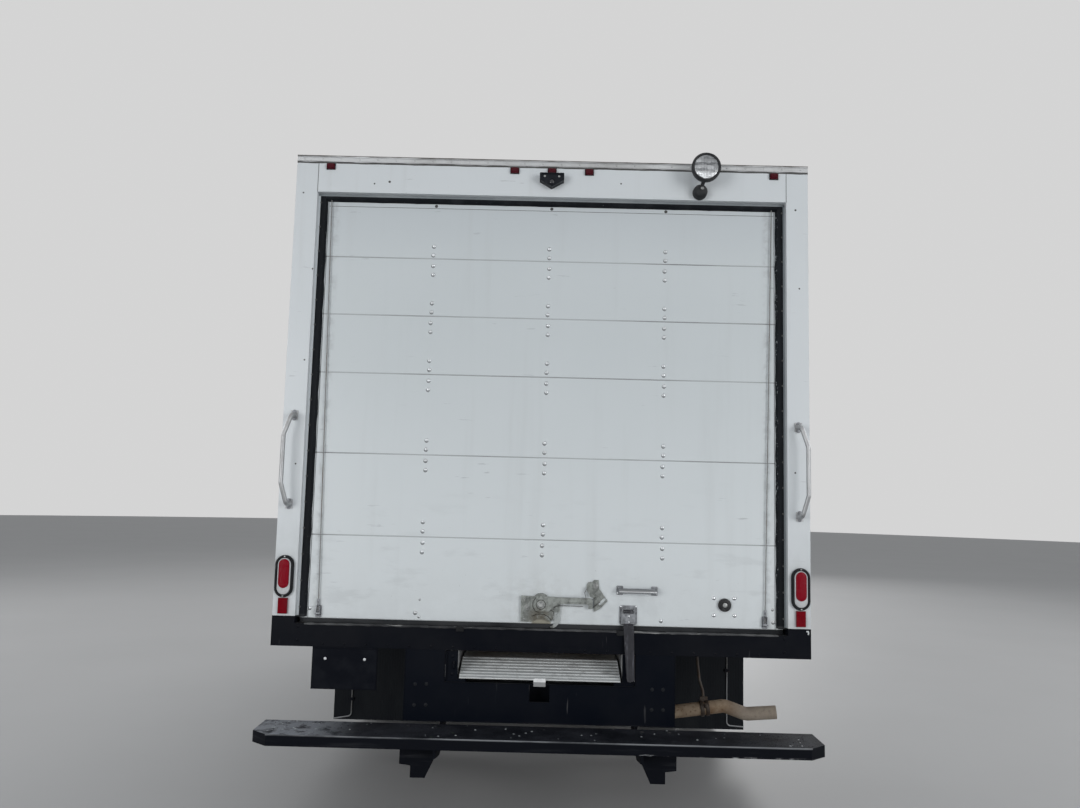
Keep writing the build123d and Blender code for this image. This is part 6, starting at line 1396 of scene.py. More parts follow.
# ---- Rear sill ---------------------------------------------------------------
# Pressed steel channel across the back with a shoe at each corner, painted black. Its top lip
# is worn to grey where freight and the door come down on it.
sill_black = black_paint("sill_black", 0.55, 0.15)
dress(sill_black, "rear_sill")
place = begin("worn_lip")
rub = cloud(place * (2.6, 8.0, 30.0), 1.0, 6.0, 0.62).rise(0.36, 0.66)
shine = cloud(place * (9.0, 9.0, 60.0), 1.0, 4.0).rise(0.6, 0.72)
spot_rust = cloud(place, 34.0, 5.0, 0.7).rise(0.64, 0.7)
colour = rub.blend((0.012, 0.013, 0.016), (0.075, 0.077, 0.08))
scraped = place.x.rise(0.38, 0.46) * place.x.rise(0.8, 0.72)
shine = shine.most(scraped * cloud(place * (5.0, 9.0, 60.0), 1.0, 4.0).rise(0.44, 0.6))
colour = coats(
    colour,
    (shine, 0.75, (0.38, 0.38, 0.375)),
    (spot_rust, 0.45, (0.1, 0.055, 0.03)),
)
worn_steel = close(place, colour, 0.52 - shine * 0.15, rub + shine, 0.0006, metallic=0.25)
SILL_TOP = 0.92
edge = Shape()
dents = [0.0008 * sin(n * 1.3) + 0.0006 * sin(n * 3.7) for n in range(121)]
edge.rings([[
    (x, REAR_Y + 0.016, SILL_TOP + 0.0022 + dents[n]),
    (x, REAR_Y - 0.0006, SILL_TOP + 0.0024 + dents[n]),
    (x, REAR_Y - 0.0028, SILL_TOP - 0.001 + dents[(n + 9) % 121]),
    (x, REAR_Y - 0.0022, SILL_TOP - 0.0045 + dents[(n + 31) % 121]),
    (x, REAR_Y + 0.0006, SILL_TOP - 0.006),
    (x, REAR_Y + 0.0006, SILL_TOP - 0.0005),
] for n, x in stations(1.072, 121)])
edge.piece("sill_lip", "black_paint", worn_steel, sharp=40)
blocks = Shape()
for x in (-0.366, 0.359):
    blocks.slab((x - 0.0175, REAR_Y - 0.006, SILL_TOP - 0.018),
                (x + 0.0175, REAR_Y + 0.01, SILL_TOP + 0.004))
blocks.piece("sill_blocks", "rubber", rubber_black, round=0.002)
shoe_edges = Shape()
for s in (-1, 1):
    shoe_edges.bar([(s * 1.2165, REAR_Y - 0.0002, z) for z in (0.822, 0.948)], 0.0022, 8)
    shoe_edges.bar([(s * x, REAR_Y - 0.0002, 0.95) for x in (1.2165, 1.118)], 0.002, 8)
    for z in (0.846, 0.905):
        dome(shoe_edges, on_rear(s * 1.1, z), 0.0065, 0.003)
    for n in range(9):
        dome(shoe_edges, on_rear(s * (0.2 + n * 0.098), 0.832), 0.0055, 0.0025)
shoe_edges.piece("sill_shoe_edges", "black_paint", sill_black, sharp=50)
chip = Shape()
chip.prism(on_rear(1.204, 0.936), (
    (-0.007, 0.008), (0.004, 0.009), (0.007, 0.001), (0.005, -0.01), (-0.001, -0.008),
    (0.001, 0.001), (-0.006, 0.003),
), 0.0002, 0.0009)
chip.piece("shoe_paint_chip", "white_paint", frame_white)

# ---- Ramp housing ------------------------------------------------------------
# Black plate with a slot that the loading ramp slides out of, bolted to the frame at both ends,
# with the two catches that hold the ramp in.
housing_black = black_paint("housing_black", 0.4, 0.12, (0.0018, 0.0032, 0.007))
dress(housing_black, "ramp_housing")
housing_bolts = Shape()
for x, z in ((-0.559, 0.666), (-0.508, 0.668), (-0.56, 0.575), (-0.508, 0.577),
             (0.505, 0.669), (0.554, 0.67), (0.504, 0.581), (0.555, 0.581)):
    hexagon(housing_bolts, on_rear(x, z), 0.0056, 0.0042)
worn_bolt = black_paint("worn_bolt", 0.8, 0.5, (0.018, 0.02, 0.024))
housing_bolts.piece("housing_bolts", "zinc_steel", worn_bolt, sharp=30)
folds = Shape()
for half, low, out, radius in ((0.6065, 0.5085, 0.0002, 0.0018), (0.4285, 0.6785, 0.0006, 0.002)):
    folds.bar([(x, REAR_Y - out, low) for x in (-half, half)], 0.0022, 6)
    for x in (-half, half):
        folds.bar([(x, REAR_Y - out, z) for z in (low + 0.0015, 0.817)], radius, 6)
folds.piece("housing_folds", "black_paint", housing_black, sharp=50)
catches = Shape()
bent_pull = ((0.006, 0.735), (0.0005, 0.742), (0.0005, 0.762), (0.008, 0.768))
for s in (-1, 1):
    catches.slab((s * 0.371, REAR_Y + 0.01, 0.688), (s * 0.4255, REAR_Y + 0.016, 0.816))
    catches.slab((s * 0.4195, REAR_Y + 0.002, 0.688), (s * 0.4255, REAR_Y + 0.012, 0.816))
    for z in (0.712, 0.79):
        dome(catches, on_rear(s * 0.395, z, -0.01), 0.0075, 0.004)
    catches.bar([(s * 0.388, REAR_Y + dy, z) for dy, z in bent_pull], 0.0045, 8)
catches.piece("ramp_catches", "black_paint", housing_black, round=0.001)

# ---- Loading ramp ------------------------------------------------------------
# Ribbed aluminium plank that slides out from under the floor. Shoes have polished its sloped
# toe. A reflective tag folds over the lip where a hand finds the pull slot.
place = begin("ramp_aluminium")
drawn = cloud(place * (1.6, 46.0, 90.0), 1.0, 5.0).rise(0.3, 0.75)
oxide = cloud(place, 9.0, 5.0).rise(0.42, 0.7)
dirt = cloud(place * (14.0, 30.0, 14.0), 1.0, 5.0, 0.65).rise(0.5, 0.74)
colour = coats(
    drawn.blend((0.58, 0.6, 0.6), (0.72, 0.74, 0.74)),
    (oxide, 0.3, (0.56, 0.57, 0.57)),
    (dirt, 0.55, (0.15, 0.145, 0.14)),
)
ramp_metal = close(place, colour, 0.42 + oxide * 0.2 + dirt * 0.2, drawn, 0.0005, 0.0012, metallic=0.2)
dress(ramp_metal, "ramp")
toe = Shape()
toe.bar([(-0.362, REAR_Y + 0.002, 0.699), (0.362, REAR_Y + 0.002, 0.699)], 0.0038, 10)
toe.piece("ramp_toe_bead", "aluminium", ramp_metal, body="ramp", sharp=50)
place = begin("tag_white")
upper = place.z.rise(0.688, 0.69)
soil = cloud(place, 60.0, 4.0).rise(0.4, 0.75)
colour = (soil * 0.3).blend(upper.blend((0.3, 0.305, 0.31), (0.86, 0.87, 0.87)), (0.35, 0.35, 0.34))
tag_white = close(place, colour, 0.35, coat_weight=0.4)
tag = Shape()
tag_line = ((0.008, 0.705), (-0.003, 0.7045), (-0.0038, 0.696), (-0.0036, 0.685), (-0.0032, 0.6695))
tag.rings([[
    (-0.0275, REAR_Y + dy, z), (0.0265, REAR_Y + dy, z),
    (0.0265, REAR_Y + dy + 0.0009, z - 0.0004), (-0.0275, REAR_Y + dy + 0.0009, z - 0.0004),
] for dy, z in tag_line])
tag.piece("ramp_tag", "white_paint", tag_white, body="ramp", sharp=40)

# ---- Rear step ---------------------------------------------------------------
# Folded steel step on two brackets, its top rolled with black grit for grip. The grit is worn to grey on the
# left, the rear top edge is paler in broken streaks, and the lower edge is chipped pale.
STEP_TOP = 0.496
STEP_BACK_Y = -3.391
place = begin("step_grit")
normal_up = place.outward().z.rise(0.6, 0.9)
grain = cells(place, 260.0).rise(0.1, 0.6)
speck = cloud(place, 240.0, 4.0, 0.7).rise(0.42, 0.62)
mottle = cloud(place, 7.0, 6.0, 0.65)
worn = place.x.rise(-0.76, -1.02) * cloud(place, 16.0, 5.0, 0.65).rise(0.34, 0.52) * normal_up
pale = cloud(place, 70.0, 5.0, 0.7).rise(0.66, 0.72) * normal_up
moss = cloud(place, 26.0, 4.0).rise(0.66, 0.72) * normal_up
back_edge = place.y.rise(-3.3868, -3.3895) * place.z.rise(0.488, 0.4945)
edge_streak = cloud(place * (3.0, 20.0, 20.0), 1.0, 5.0).rise(0.36, 0.58)
low_chips = place.z.rise(0.456, 0.45) * place.z.rise(0.4465, 0.4485)
low_chips = low_chips * cloud(place * (6.0, 6.0, 40.0), 1.0, 5.0, 0.7).rise(0.56, 0.64)
face_rub = cloud(place * (3.0, 3.0, 40.0), 1.0, 5.0).rise(0.55, 0.75) * (1 - normal_up)
grime_and_shadow = normal_up * mottle.rise(0.25, 0.75)
colour = coats(
    (grime_and_shadow * (speck * 0.7 + 0.3)).blend((0.0025, 0.0034, 0.0062), (0.046, 0.049, 0.06)),
    (pale, 0.7, (0.13, 0.135, 0.145)),
    (moss, 0.35, (0.055, 0.075, 0.05)),
    (worn, 0.9, (0.235, 0.25, 0.275)),
    (face_rub, 0.35, (0.05, 0.052, 0.058)),
    (low_chips, 0.85, (0.38, 0.39, 0.4)),
)
# a paler line along the rear top edge, in broken streaks
colour = (back_edge * (edge_streak * 0.7 + 0.2)).blend(colour, (0.25, 0.26, 0.275))
step_black = close(place, colour, 0.62 - back_edge * 0.2, grain * normal_up + mottle * 0.3, 0.0015, 0.003,
                   specular_ior_level=0.08)
dress(step_black, "step_bumper")
grit = Shape()
for n in range(620):
    x = chance.uniform(-1.165, 1.165)
    y = chance.uniform(STEP_BACK_Y + 0.016, REAR_Y - 0.012)
    if x < -1.0 and y < -3.34:
        continue
    r = chance.uniform(0.0012, 0.003)
    turn = chance.uniform(0, 2 * pi)
    ring = []
    for k in range(5):
        a = turn + k * 2 * pi / 5
        dx = r * chance.uniform(0.7, 1.2) * cos(a)
        dy = r * chance.uniform(0.7, 1.2) * sin(a)
        ring.append((x + dx, y + dy, STEP_TOP - 0.0003))
    peak = (x + chance.uniform(-0.4, 0.4) * r, y + chance.uniform(-0.4, 0.4) * r, STEP_TOP + r * 0.75)
    grit.add(ring + [peak], [(k, (k + 1) % 5, 5) for k in range(5)] + [(4, 3, 2, 1, 0)])
grit.piece("step_grit_stones", "black_paint", step_black, sharp=20)
place = begin("worn_stone")
colour = cloud(place, 90.0, 3.0).rise(0.4, 0.6).blend((0.16, 0.17, 0.18), (0.34, 0.36, 0.37))
worn_stone = close(place, colour, 0.7, cloud(place, 400.0), 0.0004)
stones = Shape()
for n in range(70):
    x = chance.uniform(-1.165, 1.165) if n % 3 else chance.uniform(-1.165, -0.95)
    y = chance.uniform(STEP_BACK_Y + 0.03, REAR_Y - 0.012)
    r = chance.uniform(0.0022, 0.0055)
    dome(stones, facing(UP, (x, y, STEP_TOP - 0.0004), (0, 1, 0)), r, r * 0.55)
stones.piece("step_loose_stones", "black_paint", worn_stone, sharp=60)
step_bolts = Shape()
for s in (-1, 1):
    for x in (0.455, 0.575):
        dome(step_bolts, facing(UP, (s * x, -3.2, STEP_TOP), (0, 1, 0)), 0.011, 0.005)
    for x in (0.47, 0.56):
        hexagon(step_bolts, on_rear(s * x, 0.425, -0.01), 0.009, 0.006)
step_bolts.piece("step_bolts", "zinc_steel", worn_bolt, sharp=30)

# ---- Mudflaps ----------------------------------------------------------------
# Ribbed black rubber sheets behind the rear wheels, each clamped under a bar and kept from
# flying up by a bent rod.
place = begin("flap_rubber")
spray = cloud(place * (7.0, 7.0, 2.5), 1.0, 5.0).rise(0.36, 0.72) * place.z.rise(0.8, 0.25)
fine = cloud(place, 130.0, 3.0)
colour = spray.blend((0.004, 0.0055, 0.008), (0.016, 0.018, 0.02))
relief = fine + (place.x * 420.0).wave() * 0.3
flap_rubber = close(place, colour, 0.6 + spray * 0.25, relief, 0.0006, 0.002, specular_ior_level=0.12)
dress(flap_rubber, "mudflaps")
FLAP_Y = -1.84
rod_steel = mottled("rod_steel", (1.0, 5.0), (0.38, 0.72), (0.26, 0.27, 0.28), (0.085, 0.083, 0.08),
                    0.42, 0.25, 0.0003, (8.0, 8.0, 3.0), metallic=0.6)
ROD_Y = FLAP_Y - 0.006
ROD_BEND = 0.022
ROD_END_X = 1.208
stays = Shape()
clips = Shape()
for s, top_x, low_z, end_z in ((1, 1.112, 0.203, 0.198), (-1, 1.107, 0.2, 0.186)):
    rod = [(top_x, 0.812)]
    for a in [n * pi / 12 for n in range(7)]:
        rod.append((top_x + ROD_BEND * (1 - cos(a)), low_z + ROD_BEND * (1 - sin(a))))
    rod.append((ROD_END_X, end_z))
    stays.bar([(s * x, ROD_Y, z) for x, z in rod], 0.0038, 10)
    for z in (0.3, 0.52, 0.74):
        clips.slab((s * top_x - 0.012, ROD_Y - 0.0062, z - 0.009),
                   (s * top_x + 0.012, FLAP_Y + 0.0005, z + 0.009))
    clips.slab((s * 0.604, FLAP_Y - 0.0055, 0.778), (s * 1.21, FLAP_Y + 0.0005, 0.818))
    for n in range(7):
        hexagon(clips, facing(BACK, (s * (0.64 + n * 0.0905), FLAP_Y - 0.0055, 0.797)), 0.0065, 0.0045)
stays.piece("flap_rods", "zinc_steel", rod_steel, sharp=50)
clips.piece("flap_clamps", "black_paint", chassis_paint, round=0.001)

# ---- Cab body ----------------------------------------------------------------
# Pressed steel shell, doors, fenders and hood in gloss white, with grey headlining and door
# linings inside. Road film greys the lower panels, and the wheel arches are sprayed black.
CAB_SLOPE = 0.186
BELT_Z = 1.33
CAB_HALF = 1.0
NOSE_Y = 3.329


def cab_paint(name, arches=False):
    """Gloss white car paint with road film, grey on what faces into the cab."""
    place = begin(name)
    out = place.outward()
    x, y, z = place.x, place.y, place.z
    side = x.node("Math", {"operation": "SIGN"}, {0: x}, 0)
    inward = (side * out.x).rise(-0.35, -0.55)
    inward = inward.most(out.z.rise(-0.5, -0.7) * z.rise(1.85, 1.9))
    inward = inward.most(out.y.rise(0.5, 0.7) * y.rise(1.3, 1.22))
    film = z.rise(1.05, 0.5) * cloud(place * (3.0, 3.0, 1.2), 1.0, 6.0).rise(0.25, 0.7)
    splash = cloud(place, 40.0, 5.0, 0.7).rise(0.62, 0.68) * z.rise(0.8, 0.55)
    streak = cloud(place * (22.0, 22.0, 0.8), 1.0, 4.0).rise(0.52, 0.72)
    orange_peel = cloud(place, 160.0, 2.0)
    colour = (film * 0.55 + streak * 0.1).blend((0.63, 0.645, 0.655), (0.36, 0.355, 0.34))
    colour = (splash * 0.5).blend(colour, (0.17, 0.16, 0.145))
    weave = cloud(place, 260.0, 3.0)
    colour = inward.blend(colour, weave.blend((0.16, 0.162, 0.168), (0.22, 0.223, 0.23)))
    rough = 0.22 + film * 0.35 + inward * 0.45
    gloss = (1 - inward) * (1 - film * 0.8)
    if arches:
        inner = out.z.rise(-0.05, -0.25) * z.rise(0.98, 0.95)
        inner = inner.most(x.size().rise(0.95, 0.94) * z.rise(0.98, 0.95))
        sprayed = cloud(place, 60.0, 4.0).blend((0.016, 0.016, 0.017), (0.06, 0.057, 0.052))
        colour = inner.blend(colour, sprayed)
        rough = rough + inner * 0.4
        gloss = gloss * (1 - inner)
    return close(place, colour, rough, orange_peel + inward * weave * 2.0, 0.0001, 0.004,
                 coat_weight=gloss)


cab_white = cab_paint("cab_white")
dress(cab_white, "cab_shell", "hood", "cab_door_left", "cab_door_right")
fender_white = cab_paint("fender_white", True)
dress(fender_white, "front_fenders")
drip_line = ((0.802, 1.18, 2.0445), (0.806, 1.45, 2.0545), (0.806, 1.8, 2.0465), (0.812, 1.905, 2.015))
cab_seam = Shape()
for s in (-1, 1):
    cab_seam.bar([(s * x, y, z) for x, y, z in drip_line], 0.0065, 8)
cab_seam.piece("cab_drip_rails", "white_paint", cab_white, sharp=50)
jets = Shape()
for s in (-1, 1):
    dome(jets, facing((0, 0.3, 1), (s * 0.3, 2.56, 1.409), (0, 1, 0)), 0.011, 0.009)
jets.piece("washer_jets", "black_plastic", body_black, body="hood", sharp=60)
arch_rubber = Shape()
ARCH_REACH = 0.4475
arc = [radians(a) for a in range(-4, 170, 4)]
sweep = [(FRONT_AXLE_Y + ARCH_REACH * cos(a), AXLE_Z + ARCH_REACH * sin(a)) for a in arc]
for s in (-1, 1):
    arch_rubber.bar([(s * 1.0015, y, z) for y, z in sweep if y > 2.285 and z > 0.524], 0.0055, 8)
arch_rubber.piece("arch_edges", "rubber", rubber_black, sharp=60)

# ---- Windscreen --------------------------------------------------------------
# Laminated glass with a green tint, held in a black rubber gasket, with two wipers parked on
# its lower edge and a black printed border.
SCREEN_FOOT = Vector((0, 2.431, 1.43))
SCREEN_HEAD = Vector((0, 2.002, 1.987))
screen_up = (SCREEN_HEAD - SCREEN_FOOT).normalized()
screen_out = Vector((0, screen_up.z, -screen_up.y))
SCREEN_AT = facing(screen_out, (SCREEN_FOOT + SCREEN_HEAD) / 2, screen_up)
SCREEN_TALL = (SCREEN_HEAD - SCREEN_FOOT).length - 0.09
SCREEN_LOW_HALF = 0.85
SCREEN_SIDE = radians(82)
SCREEN_HIGH_HALF = SCREEN_LOW_HALF - SCREEN_TALL * cos(SCREEN_SIDE) / sin(SCREEN_SIDE)


def soft_loop(corners, radius, steps=6):
    """Closed outline through flat corners, each one rounded."""
    loop = []
    for n, corner in enumerate(corners):
        corner = Vector(corner)
        before = (Vector(corners[n - 1]) - corner).normalized()
        after = (Vector(corners[(n + 1) % len(corners)]) - corner).normalized()
        half = before.angle(after) / 2
        reach = radius * cos(half) / sin(half)
        for k in range(steps + 1):
            t = k / steps
            loop.append(corner + before * reach * (1 - t) ** 2 + after * reach * t ** 2)
    return loop


def glass_sheet(name, tint, see_through):
    """Car glass: tinted, hard and clear, a little dusty."""
    place = begin(name)
    dust = cloud(place, 7.0, 5.0).rise(0.45, 0.75)
    colour = dust.blend(tint, (0.1, 0.1, 0.1))
    cover = dust * 0.1 + (1 - see_through)
    return close(place, colour, 0.03 + dust * 0.08, coat_weight=0.6, alpha=cover)


screen_glass = glass_sheet("screen_glass", (0.01, 0.018, 0.017), 0.6)
dress(screen_glass, "windscreen")
door_glass = glass_sheet("door_glass", (0.01, 0.016, 0.016), 0.55)
dress(door_glass, "door_glass_left", "door_glass_right")
screen_corners = [(x, y * SCREEN_TALL / 2, 0.001) for x, y in (
    (-SCREEN_LOW_HALF, -1), (SCREEN_LOW_HALF, -1), (SCREEN_HIGH_HALF, 1), (-SCREEN_HIGH_HALF, 1),
)]
gasket = Shape()
gasket.bar(soft_loop(screen_corners, 0.045), 0.011, 8, closed=True, flat=0.7, place=SCREEN_AT)
gasket.piece("screen_gasket", "rubber", rubber_black, sharp=60)
border = Shape()
inner_loop = soft_loop([(x * 0.955, y * 0.9, -0.0115) for x, y, z in screen_corners], 0.05)
outer_loop = soft_loop([(x * 0.992, y * 0.985, -0.0115) for x, y, z in screen_corners], 0.045)
sunk = [[p - UP * 0.0002 for p in loop] for loop in (inner_loop, outer_loop)]
border.rings([outer_loop, inner_loop, *sunk], SCREEN_AT, closed=True)
border.piece("screen_border", "black_plastic", body_black, sharp=60)
wipers = Shape()
for pivot_x, tip_x in ((-0.12, -0.7), (0.56, -0.01)):
    start = Vector((pivot_x, -0.33, 0.01))
    end = Vector((tip_x, -0.205, 0.016))
    wipers.turned(SCREEN_AT @ Matrix.Translation(start),
                  [(0.02, -0.012), (0.02, 0.006), (0.014, 0.014), (0, 0.015)], 16)
    arm = (start + UP * 0.008, start.lerp(end, 0.45) + UP * 0.022, end + UP * 0.004)
    wipers.bar(arm, 0.006, 8, place=SCREEN_AT)
    along = (end - start).normalized()
    for k in (-1, 1):
        claw = (end + UP * 0.002, end + along * 0.13 * k - UP * 0.004)
        wipers.bar(claw, 0.004, 6, place=SCREEN_AT)
    blade = [end + along * (0.27 * k / 6) - UP * 0.0135 for k in range(-6, 7)]
    wipers.bar(blade, 0.0065, 6, flat=1.6, place=SCREEN_AT)
wipers.piece("wipers", "black_plastic", body_black, sharp=50)

# ---- Cab doors ---------------------------------------------------------------
# Each door has a gasket round its glass, a black pull handle with a lock, a rubbing strip at
# bumper height, and a grained lining with an armrest and a pocket inside.
place = begin("grained_plastic")
shade = cloud(place, 6.0, 4.0)
colour = shade.blend((0.052, 0.053, 0.056), (0.074, 0.075, 0.078))
grained = close(place, colour, 0.55 + shade * 0.1, cells(place, 420.0), 0.0003, 0.002,
                specular_ior_level=0.35)
window_corners = ((1.324, 1.37), (2.164, 1.37), (2.164, 1.532), (1.876, 1.906), (1.324, 1.906))


def soft_panel(width, height, radius):
    """Outline of an upright panel with rounded corners."""
    corners = ((-width, -height), (width, -height), (width, height), (-width, height))
    return soft_loop([(x / 2, y / 2, 0) for x, y in corners], radius)


def stepped(outline, steps):
    """Rings of an outline, each scaled about its middle and raised."""
    return [[(p.x * k, p.y * k, h) for p in outline] for k, h in steps]


def side_x(z):
    """Outer face of the cab's side at a height, measured across the truck."""
    return CAB_HALF - max(0.0, z - BELT_Z) * CAB_SLOPE


PULL_LINE = ((-0.052, 0.001), (-0.046, 0.016), (-0.03, 0.02), (0.03, 0.02), (0.046, 0.016), (0.052, 0.001))
STRIP_SECTION = (
    (-0.001, -0.026), (0.006, -0.024), (0.01, -0.012), (0.01, 0.012), (0.006, 0.024), (-0.001, 0.026),
)
for s, side in ((-1, "left"), (1, "right")):
    door = f"cab_{side}_door"
    surround = Shape()
    loop = soft_loop([(y, z, 0) for y, z in window_corners], 0.03)
    surround.bar([(s * (side_x(p.y) + 0.001), p.x, p.y) for p in loop], 0.0085, 8, closed=True, flat=0.8)
    surround.bar([(s * (side_x(1.372) + 0.004), y, 1.366) for y in (1.3, 2.185)], 0.007, 8)
    surround.piece(f"window_gasket_{side}", "rubber", rubber_black, body=door, sharp=60)
    pull = Shape()
    seat = facing((s, 0, 0), (s * CAB_HALF, 1.352, 1.205))
    cup = soft_panel(0.136, 0.052, 0.014)
    pull.rings(stepped(cup, ((1, -0.001), (1, 0.004), (0.94, 0.006), (0.86, 0.0035), (0.84, 0.0015))), seat)
    pull.bar([(x, 0.004, h) for x, h in PULL_LINE], 0.0085, 10, flat=0.7, place=seat)
    pull.turned(seat @ Matrix.Translation((0.0, -0.048, 0)),
                [(0.011, -0.001), (0.011, 0.003), (0.008, 0.004), (0.003, 0.0035), (0, 0.003)], 20)
    pull.piece(f"door_pull_{side}", "black_plastic", body_black, body=door, sharp=40)
    strip = Shape()
    strip.rings([[(s * (CAB_HALF + d), y, 0.905 + h) for d, h in STRIP_SECTION]
                 for y in (1.272, 1.28, 2.206, 2.216)])
    strip.piece(f"door_strip_{side}", "black_plastic", body_black, body=door, round=0.002)
    card = Shape()
    inner = CAB_HALF - 0.0455
    card.slab((s * inner, 1.3, 0.66), (s * (inner - 0.01), 2.15, 1.322))
    card.slab((s * (inner - 0.052), 1.43, 1.055), (s * (inner - 0.008), 1.9, 1.105))
    card.slab((s * (inner - 0.034), 1.42, 0.7), (s * (inner - 0.008), 1.93, 0.82))
    card.piece(f"door_lining_{side}", "grey_plastic", grained, body=door, round=0.006)
    fittings = Shape()
    opener = ((0.012, 1.96, 1.19), (0.034, 1.975, 1.19), (0.034, 2.06, 1.19), (0.012, 2.075, 1.19))
    fittings.bar([(s * (inner - d), y, z) for d, y, z in opener], 0.008, 8)
    fittings.turned(facing((-s, 0, 0), (s * (inner - 0.01), 1.78, 0.96)),
                    [(0.02, 0), (0.02, 0.012), (0.013, 0.016), (0, 0.016)], 20)
    winder = ((0.024, 1.78, 0.96), (0.03, 1.84, 0.93), (0.044, 1.856, 0.922))
    fittings.bar([(s * (inner - d), y, z) for d, y, z in winder], 0.006, 8)
    fittings.piece(f"door_inner_handles_{side}", "black_plastic", body_black, body=door, sharp=50)

# ---- Mirrors -----------------------------------------------------------------
# Tall mirrors on two arms, in ribbed black shells, with flat glass over a small round one.
dress(body_black, "mirror_left", "mirror_right")
silvered = mottled("mirror_glass", (9.0, 5.0), (0.45, 0.75), (0.6, 0.63, 0.65), (0.42, 0.44, 0.45),
                   0.03, 0.1, metallic=1.0)
MIRROR_FACE_Y = 2.121
flat_glass = soft_panel(0.172, 0.252, 0.024)
round_glass = soft_panel(0.172, 0.076, 0.022)
ROUND_STEPS = ((1, 0), (0.99, 0.002), (0.8, 0.0062), (0.5, 0.0092), (0.15, 0.0104))
for s, side in ((-1, "left"), (1, "right")):
    glass = Shape()
    seat = facing(BACK, (s * 1.2, MIRROR_FACE_Y, 1.585))
    ground_edge = [(p.x * 0.985, p.y * 0.99, 0.0028) for p in flat_glass]
    glass.rings(stepped(flat_glass, ((1, 0), (1, 0.002))) + [ground_edge], seat)
    glass.rings(stepped(round_glass, ROUND_STEPS), facing(BACK, (s * 1.2, MIRROR_FACE_Y, 1.405)))
    glass.piece(f"mirror_glass_{side}", "glass", silvered, body=f"cab_{side}_door", sharp=50)
    rim = Shape()
    whole = facing(BACK, (s * 1.2, MIRROR_FACE_Y, 1.54))
    rim.bar(soft_panel(0.191, 0.362, 0.03), 0.0042, 8, closed=True, place=whole)
    rim.bar([(x, -0.0895, 0) for x in (-0.094, 0.094)], 0.0035, 8, place=whole)
    rim.piece(f"mirror_rim_{side}", "black_plastic", body_black, body=f"cab_{side}_door", sharp=60)

# ---- Nose, grille and headlamps ----------------------------------------------
# White nose panel round a black grille. Each headlamp is a moulded clear lens over two bright
# reflector bowls, beside an amber turn signal.
HEADLAMP_X = 0.77
place = begin("nose_paint")
x, z = place.x, place.z
slot = x.size().rise(0.566, 0.562) * z.rise(0.828, 0.831) * z.rise(1.0415, 1.0395)
lamp_bay = (x.size() - HEADLAMP_X).size().rise(0.137, 0.1345) * (z - 0.935).size().rise(0.0895, 0.087)
black = slot.most(lamp_bay)
film = cloud(place * (4.0, 4.0, 2.0), 1.0, 5.0).rise(0.35, 0.75)
bugs = cloud(place, 55.0, 4.0, 0.7).rise(0.68, 0.72)
colour = (film * 0.3).blend((0.63, 0.645, 0.655), (0.4, 0.395, 0.38))
colour = (bugs * 0.5).blend(colour, (0.2, 0.18, 0.15))
colour = black.blend(colour, film.blend((0.012, 0.012, 0.013), (0.045, 0.044, 0.043)))
nose_paint = close(place, colour, 0.25 + film * 0.2 + black * 0.25, film, 0.0002, 0.003,
                   coat_weight=(1 - black) * 0.8)
dress(nose_paint, "grille")
place = begin("headlamp_cover")
haze = cloud(place, 12.0, 4.0).rise(0.35, 0.8)
clear_cover = close(place, haze.blend((0.35, 0.37, 0.38), (0.6, 0.6, 0.56)), 0.06 + haze * 0.12,
                    coat_weight=1.0, alpha=haze * 0.14 + 0.16)
dress(clear_cover, "headlamps")
chrome = mottled("bright_chrome", (20.0,), None, (0.62, 0.63, 0.64), (0.74, 0.75, 0.76), 0.08, metallic=1.0)
BOWL_RADIUS = 0.056
bowl = [(BOWL_RADIUS * k, 0.03 * k * k) for k in (0.18, 0.35, 0.55, 0.75, 0.9, 1.0)]
bowl_back = [(radius, height - 0.003) for radius, height in reversed(bowl)]
bowl_profile = bowl + [(BOWL_RADIUS + 0.004, 0.03), (BOWL_RADIUS + 0.004, 0.024)] + bowl_back
BULB = [(0.01, -0.001), (0.01, 0.01), (0.0075, 0.012), (0.0075, 0.024), (0.004, 0.03), (0, 0.031)]
SIGNAL = ((-0.002, 0.79), (0.006, 0.792), (0.007, 0.81), (0.006, 0.828), (-0.002, 0.83))


def nose_y(x):
    """Front of the nose panel, which curves back towards its sides."""
    return NOSE_Y - 0.022 * (x / 0.87) ** 2


bowls = Shape()
lamp_black = Shape()
bulbs = Shape()
signals = Shape()
for s in (-1, 1):
    middle = s * HEADLAMP_X
    for dx in (-0.06, 0.062):
        seat = facing(FRONT, (middle + dx, 3.272, 0.94))
        bowls.turned(seat, bowl_profile, 32)
        bulbs.turned(seat, BULB, 16)
    lamp_black.slab((middle - 0.1285, 3.2655, 0.852), (middle + 0.1285, 3.2705, 1.018))
    for z in (0.854, 0.864, 0.874):
        lamp_black.slab((middle - 0.128, 3.27, z), (middle + 0.128, 3.286, z + 0.003))
    signals.rings([[(s * x, nose_y(x) + 0.001 + dy, z) for dy, z in SIGNAL]
                   for x in (0.64, 0.7, 0.76, 0.82, 0.868)])
bowls.piece("headlamp_bowls", "chrome", chrome, sharp=50)
bulbs.piece("headlamp_bulbs", "clear_lens", clear_lens, sharp=50)
lamp_black.piece("headlamp_backs", "black_plastic", body_black)
signals.piece("turn_signals", "red_lens", amber_lens, sharp=40, round=0.0015)
grille_rim = Shape()
rim_corners = ((-0.561, 0.829, 0), (0.561, 0.829, 0), (0.561, 1.041, 0), (-0.561, 1.041, 0))
rim_line = soft_loop(rim_corners, 0.012, 4)
rim_path = []
for a, b in zip(rim_line, rim_line[1:] + rim_line[:1]):
    steps = max(1, int((b - a).length / 0.1))
    rim_path += [a.lerp(b, k / steps) for k in range(steps)]
grille_rim.bar([(p.x, nose_y(p.x) + 0.0005, p.y) for p in rim_path], 0.0065, 8, closed=True)
grille_rim.piece("grille_rim", "chrome", chrome, sharp=60)

